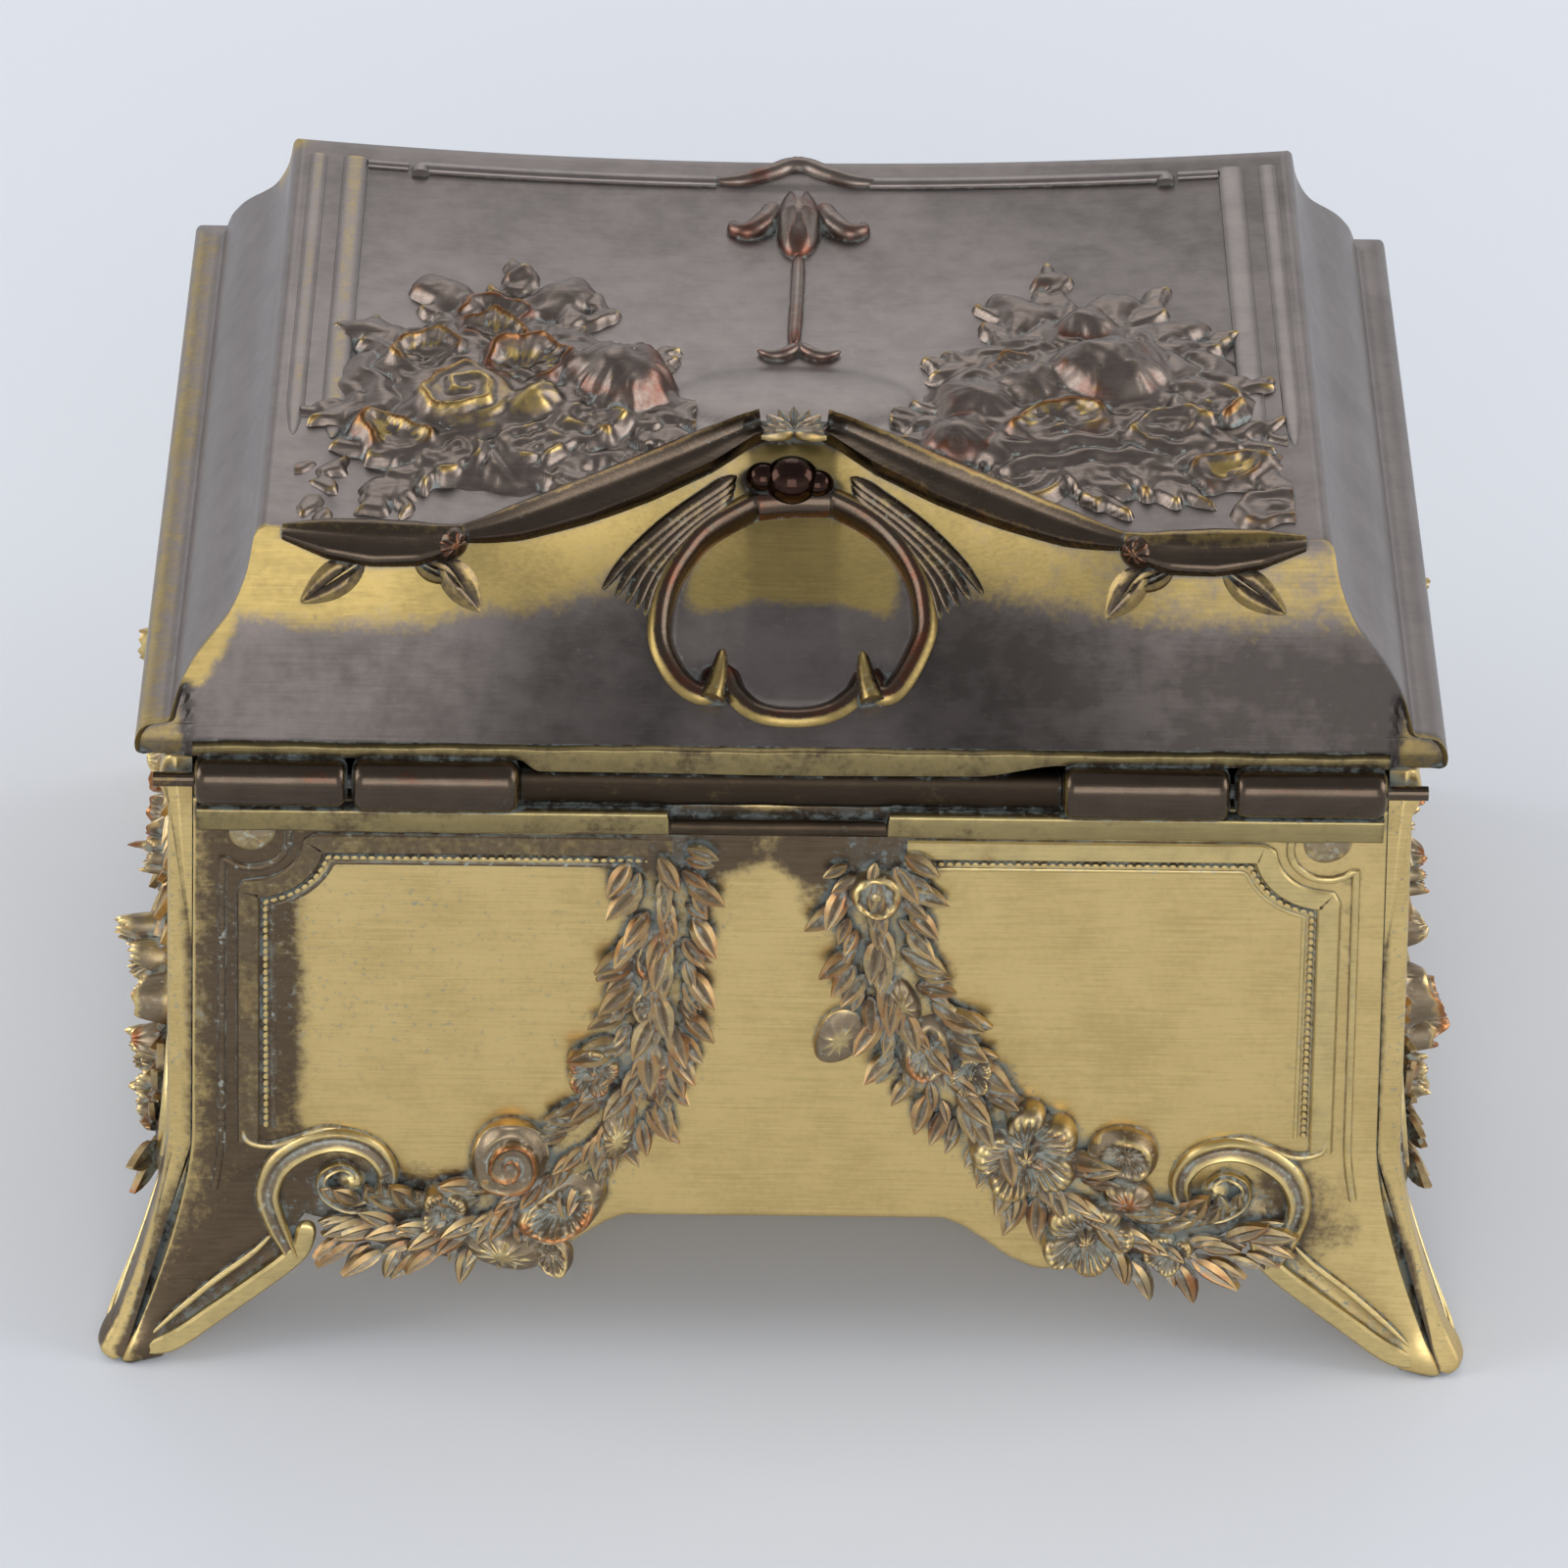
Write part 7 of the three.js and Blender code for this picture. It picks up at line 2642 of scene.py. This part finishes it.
@dataclass
class Pad:
    """A wadded pad on a board: its outline, which way it swells and where it is buttoned down.

    Its cover is blown up by a cloth simulation, which runs at several times the pad's size because
    cloth this small hardly moves.
    """

    node: str
    name: str
    body: str
    slot: str
    half_x: float
    front: float
    back: Callable[[np.ndarray], np.ndarray]
    board: Callable[[np.ndarray], np.ndarray]
    way: int
    thickness: float
    fill: float
    tufts: Sequence[tuple[float, float]]

    ENLARGED = np.array([5.0, 5.0, 15.0])
    VOXEL = 1.9
    SWELL = 1.3
    FRAMES = 20

    def outline(self, t: np.ndarray, r: np.ndarray, inset: float) -> tuple[np.ndarray, np.ndarray]:
        """Place of a point given as shares of the pad's width and depth, with its corners rounded.

        Args:
            t: Shares of the width, from -1 to 1.
            r: Shares of the depth, from -1 to 1.
            inset: Distance inside the pad's edge.

        Returns:
            Places along the width and along the depth.
        """
        corner = 1 - 0.035 * (t * r) ** 8
        x = (self.half_x - inset) * t * corner
        back = self.back(x) - inset
        return x, -self.front + inset + (back + self.front - inset) * (r * corner + 1) / 2

    def start(self) -> Shape:
        """Model the pad before it is filled: a thin, slightly smaller slab with rounded edges.

        Returns:
            The slab.
        """
        t, r = np.meshgrid(np.sin(np.linspace(-1, 1, 61) * math.pi / 2),
                           np.sin(np.linspace(-1, 1, 47) * math.pi / 2),
                           indexing="ij")
        x, y = self.outline(t, r, 0.9)
        crown = np.sqrt((1 - t ** 4) * (1 - r ** 4))
        height = self.thickness * (0.3 + 0.38 * crown)
        return slab(np.stack([x, y, height], 2), np.stack([x, y, 0.12 + 0 * x], 2))

    def filled(self) -> Shape:
        """Blow the cover up, and hold each point within a short way of its start.

        Returns:
            The cover.
        """
        size = self.ENLARGED * MM
        start = self.start()
        mesh = bpy.data.meshes.new("pad_cover")
        mesh.from_pydata((start.points * size).tolist(), [], start.quads.tolist())
        cover = bpy.data.objects.new("pad_cover", mesh)
        bpy.context.scene.collection.objects.link(cover)
        voxels = cover.modifiers.new("voxels", "REMESH")
        voxels.mode = "VOXEL"
        voxels.voxel_size = self.VOXEL * float(size[0])
        cover.data = self.evaluated(cover)
        cover.modifiers.clear()
        before = self.places(cover.data)
        quads = np.array([list(face.vertices) for face in cover.data.polygons])
        after = before
        cloth = cover.modifiers.new("wadding", "CLOTH")
        cloth.settings.use_pressure = True
        cloth.settings.uniform_pressure_force = 4.0
        cloth.settings.effector_weights.gravity = 0.0
        cloth.settings.quality = 4
        scene = bpy.context.scene
        for number in range(1, self.FRAMES + 1):
            scene.frame_set(number)
        after = self.places(self.evaluated(cover))
        scene.frame_set(1)
        moved = (after - before) / size
        reach = np.linalg.norm(moved, axis=1, keepdims=True)
        moved *= np.minimum(1, self.SWELL / np.maximum(reach, 1e-9))
        LOG.info("%s swells by up to %.2f mm, held at %.2f mm", self.name, float(reach.max()), self.SWELL)
        bpy.data.objects.remove(cover)
        return Shape.of(before / size + moved, quads)

    @staticmethod
    def evaluated(piece: bpy.types.Object) -> bpy.types.Mesh:
        """The mesh that a piece's modifiers give."""
        graph = bpy.context.evaluated_depsgraph_get()
        return bpy.data.meshes.new_from_object(piece.evaluated_get(graph))

    @staticmethod
    def places(mesh: bpy.types.Mesh) -> np.ndarray:
        """The places of a mesh's points.

        Args:
            mesh: The mesh.

        Returns:
            One place a row.
        """
        flat = np.zeros(len(mesh.vertices) * 3, np.float32)
        mesh.vertices.foreach_get("co", flat)
        return flat.reshape(-1, 3).astype(float)

    def buttoned(self, points: np.ndarray) -> np.ndarray:
        """Pull the cover down at the buttons and the creases between them, and press it on its board.

        Args:
            points: Places of the points, one a row.

        Returns:
            Their places after that.
        """
        x, y, z = points.T
        upper = smooth(0.3, 0.6, z / self.thickness)
        pull = np.zeros(len(points))
        for across, along in self.tufts:
            pull = np.maximum(pull, np.exp(-(np.hypot(x - across, y - along) / 3.4) ** 1.4))
        creases = np.zeros(len(points))
        for k, one in enumerate(self.tufts):
            for other in self.tufts[k + 1:]:
                if np.hypot(one[0] - other[0], one[1] - other[1]) < 34:
                    gap, _ = distance_to(np.array([one, other], float), x, y)
                    creases = np.maximum(creases, 0.42 * np.exp(-(gap / 1.3) ** 2))
        sunk = np.maximum(pull, creases) * 0.55 * self.thickness * upper
        height = np.clip(z - sunk, 0.05, self.thickness)
        return np.stack([x, y, height], 1)

    def piping(self) -> Shape:
        """Model the cord sewn round the pad's edge.

        Returns:
            The cord.
        """
        ends = np.linspace(-1, 1, 60)
        square = ([(t, -1) for t in ends] + [(1, r) for r in ends[1:]] + [(t, 1) for t in ends[::-1][1:]]
                  + [(-1, r) for r in ends[::-1][1:-1]])
        t, r = np.array(square, float).T
        x, y = self.outline(t, r, 0.62)
        route = resampled(np.stack([x, y, 0 * x + 0.3 * self.thickness], 1), 420)
        angle = np.linspace(0, 2 * math.pi, 6, endpoint=False)
        profile = 0.55 * np.stack([np.cos(angle), np.sin(angle)], 1)
        twist = 1 + 0.1 * np.sin(np.arange(len(route)) * math.pi / 2)
        return ridge(route, np.tile([0.0, 0, 1], (len(route), 1)), profile, twist, closed=True)

    def build(self, material: bpy.types.Material) -> None:
        """Make the pad: its cover, the cord round it and its buttons, as one piece.

        Args:
            material: The covering fabric.
        """
        cover = self.filled().mapped(self.buttoned)
        buttons = [ball(1.7, 16, 8).placed((across, along, 0.52 * self.thickness), scale=(1, 1, 0.42))
                   for across, along in self.tufts]
        shape = Shape.join([cover, self.piping(), *buttons])

        def set_on_board(points: np.ndarray) -> np.ndarray:
            """Lay the flat pad against its board."""
            return np.stack([points[:, 0], points[:, 1],
                             self.board(points[:, 0]) + self.way * points[:, 2]], 1)

        shape.marks.clear()
        turned = Shape.of(set_on_board(shape.points), shape.quads, shape.tris)
        piece = turned.to_object(self.name, material, self.body, self.slot, SMOOTH_DEG)
        smoother = piece.modifiers.new("rounding", "SUBSURF")
        smoother.levels = smoother.render_levels = 1
        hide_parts(self.node)


@dataclass
class Lining:
    """The gathered silk on the walls, the velvet pad on the floor and the buttoned silk pad in the lid."""

    sizes: Measures
    top: LidTop
    gather: float = 5.4
    hem: float = 1.9

    def wall_cover(self, node: str, number: int) -> Shape:
        """Model the silk on one wall's card: fine upright gathers under a rolled hem.

        Args:
            node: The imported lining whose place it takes.
            number: Makes the gathers of the four walls differ.

        Returns:
            The cover, card included.
        """
        low, high = (np.array(corner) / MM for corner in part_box(node))
        thin = int(high[0] - low[0] > high[1] - low[1])
        long = 1 - thin
        inward = -math.copysign(1, low[thin] + high[thin])
        wall = low[thin] if inward > 0 else high[thin]
        span = high[long] - low[long]
        u, z = np.meshgrid(np.linspace(0, span, int(span / 0.4)), np.linspace(low[2], high[2], 48),
                           indexing="ij")
        wander = 1.3 * np.sin(0.19 * u + number) + 0.8 * np.sin(0.43 * u + 2 * number)
        phase = 2 * math.pi * u / self.gather + wander + 0.6 * np.sin(0.10 * z + 2.2 * np.sin(0.13 * u))
        fold = np.abs(np.sin(phase / 2)) ** 0.65
        down = high[2] - z
        below = smooth(self.hem, self.hem + 1.0, down)
        roll = 1.15 * np.sqrt(np.clip(1 - ((down - self.hem / 2) / (self.hem / 2)) ** 2, 0, 1))
        depth = below * (0.5 + 0.62 * fold * (0.55 + 0.45 * np.sin(0.9 * phase) ** 2)) + (1 - below) * roll
        edge = np.minimum(np.minimum(u, span - u), z - low[2])
        depth = np.clip(depth - rounding(0.5, 0.7, edge), 0.12, 1.19)
        grids = []
        for reach in (depth, 0 * depth + 0.02):
            place = np.zeros(u.shape + (3,))
            place[..., long], place[..., thin], place[..., 2] = low[long] + u, wall + inward * reach, z
            grids.append(place)
        return slab(*grids)

    def build(self, silk: bpy.types.Material, velvet: bpy.types.Material) -> None:
        """Make the lining's pieces.

        Args:
            silk: The fabric of the walls and the lid.
            velvet: The fabric of the floor.
        """
        for number, side in enumerate(("back", "front", "left", "right")):
            node = f"lining_{side}"
            cover = self.wall_cover(node, number).to_object(f"{node}_gathered", silk, "casket", SILK_SLOT,
                                                            SMOOTH_DEG)
            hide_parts(node)
        low, high = (np.array(corner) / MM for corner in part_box("floor_pad"))
        rows = [(across, along) for along in (-24, 24) for across in (-44, -15, 15, 44)]
        rows += [(across, 0) for across in (-29.5, 0, 29.5)]
        Pad("floor_pad", "floor_pad_velvet", "casket", VELVET_SLOT, high[0], high[1],
            lambda x: high[1] + 0 * x, lambda x: low[2] + 0 * x, 1, high[2] - low[2], 0.7, rows).build(velvet)
        low, high = (np.array(corner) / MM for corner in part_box("lid_pad"))
        slope = BackSlope(self.top)
        ceiling = high[2] - self.top.height(np.array(19.7), np.array(high[0] / 53.4))
        Pad("lid_pad", "lid_pad_silk", "lid", SILK_SLOT, high[0], -low[1],
            lambda x: -low[1] - slope.scoop(x), lambda x: self.top.height(19.7, x / 53.4) + ceiling,
            -1, 5.0, 0.75, [(-29, -14), (0, -20), (29, -14), (-14.5, 1), (14.5, 1), (-31, 17),
                            (31, 17)]).build(silk)


def dress(material: bpy.types.Material, *nodes: str) -> None:
    """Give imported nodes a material.

    Args:
        material: The material.
        nodes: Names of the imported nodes.
    """
    for name in nodes:
        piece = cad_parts[name]
        piece.data.materials.clear()
        piece.data.materials.append(material)


def main() -> None:
    """Build the casket's looks, one sub-assembly after another."""
    logging.basicConfig(level=logging.INFO, format="%(message)s")
    sizes = Measures.from_frame()
    LOG.info("measures %s", sizes)
    Studio().build(sizes)
    # Pale gold where hands have polished the panels, brown along their margins
    panel_brass = CastMetal("cast_brass_rubbed_bright", brass="e2c788", old_brass="b39760", patina="6e5e4b",
                            dark_patina="453a30").build()
    # Grey-brown garlands with pink copper tops, pale with dust in between, so that each leaf reads
    relief_brass = CastMetal("cast_brass_relief_dusty", brass="dcc487", old_brass="a39268", patina="97866e",
                             dark_patina="665745", copper="94502f", dust="b3b9b1", soot="6f6456",
                             edge_wear=0.4,
                             edge_copper=0.3, dust_start=-0.22, copper_start=-0.54, blotch_size=4.0).build()
    # Duller yellow of filed bars, which sets the hinge off from both castings
    hinge_brass = CastMetal("cast_brass_filed", brass="a89768", old_brass="7a6c49", patina="5b4d3e",
                            dark_patina="3f352b", edge_wear=0.3, blotch_size=5.0).build()
    # The smooth grey-brown skin of the lid, with gold only where it is rubbed
    lid_bronze = CastMetal("cast_brass_brown_patina", brass="b79f64", old_brass="84734a", patina="8b827e",
                           dark_patina="4c4643", dust="8f9694", edge_wear=0.15, edge_copper=0.3,
                           brushed=0.3, cloudy=0.34, patina_roughness=0.40, bare_roughness=0.40).build()
    # Deeper relief in the same brown: dark hollows, copper petals and a few gold tips
    spray_bronze = CastMetal("cast_brass_brown_relief", brass="c4a868", old_brass="8d794e", patina="7f736b",
                             dark_patina="574c46", copper="743f2d", dust="98a19e", soot="4a423b",
                             edge_wear=0.3,
                             edge_copper=0.25, patina_roughness=0.34, copper_start=-0.60,
                             blotch_size=4.0).build()
    # Dark and glossier, so that the ribs and the knuckles draw crisp lines of light
    rib_bronze = CastMetal("cast_brass_dark_patina_waxed", brass="a48d58", old_brass="6f5f41",
                           patina="5a4e43",
                           dark_patina="413830", copper="74402f", edge_wear=0.2, edge_copper=0.4,
                           patina_roughness=0.25, blotch_size=6.0).build()
    # Almost a dark mirror: the bead takes small sharp reflections of the lamps
    bead_bronze = CastMetal("cast_brass_polished_dark", brass="6a4030", old_brass="3a2820", patina="3a2a24",
                            dark_patina="241a17", bare_roughness=0.12, patina_roughness=0.12,
                            dirt=0.3).build()
    # Crimson with light along the tops of its gathers
    silk = Cloth("silk_satin_woven", "8c3040", "641e2c", 0.35, 0.45, 0.3, 0.8).build()
    # Deep red without a gloss, pale only at a glancing angle
    velvet = Cloth("cotton_velvet_cut_pile", "5c1826", "35101a", 0.5, 0.9, 0.8, 0.1).build()
    Case(sizes).build(panel_brass, relief_brass)
    top = LidTop(sizes)
    slope = BackSlope(top)
    Lid(sizes, top, slope).build(lid_bronze)
    LidOrnament(top, slope).build(lid_bronze, rib_bronze, spray_bronze, bead_bronze)
    Hinge(sizes).build(hinge_brass, rib_bronze)
    Lining(sizes, top).build(silk, velvet)
    dress(panel_brass, "floor_plate")
    dress(rib_bronze, "hinge_pin_left", "hinge_pin_right")


if __name__ == "__main__":
    main()
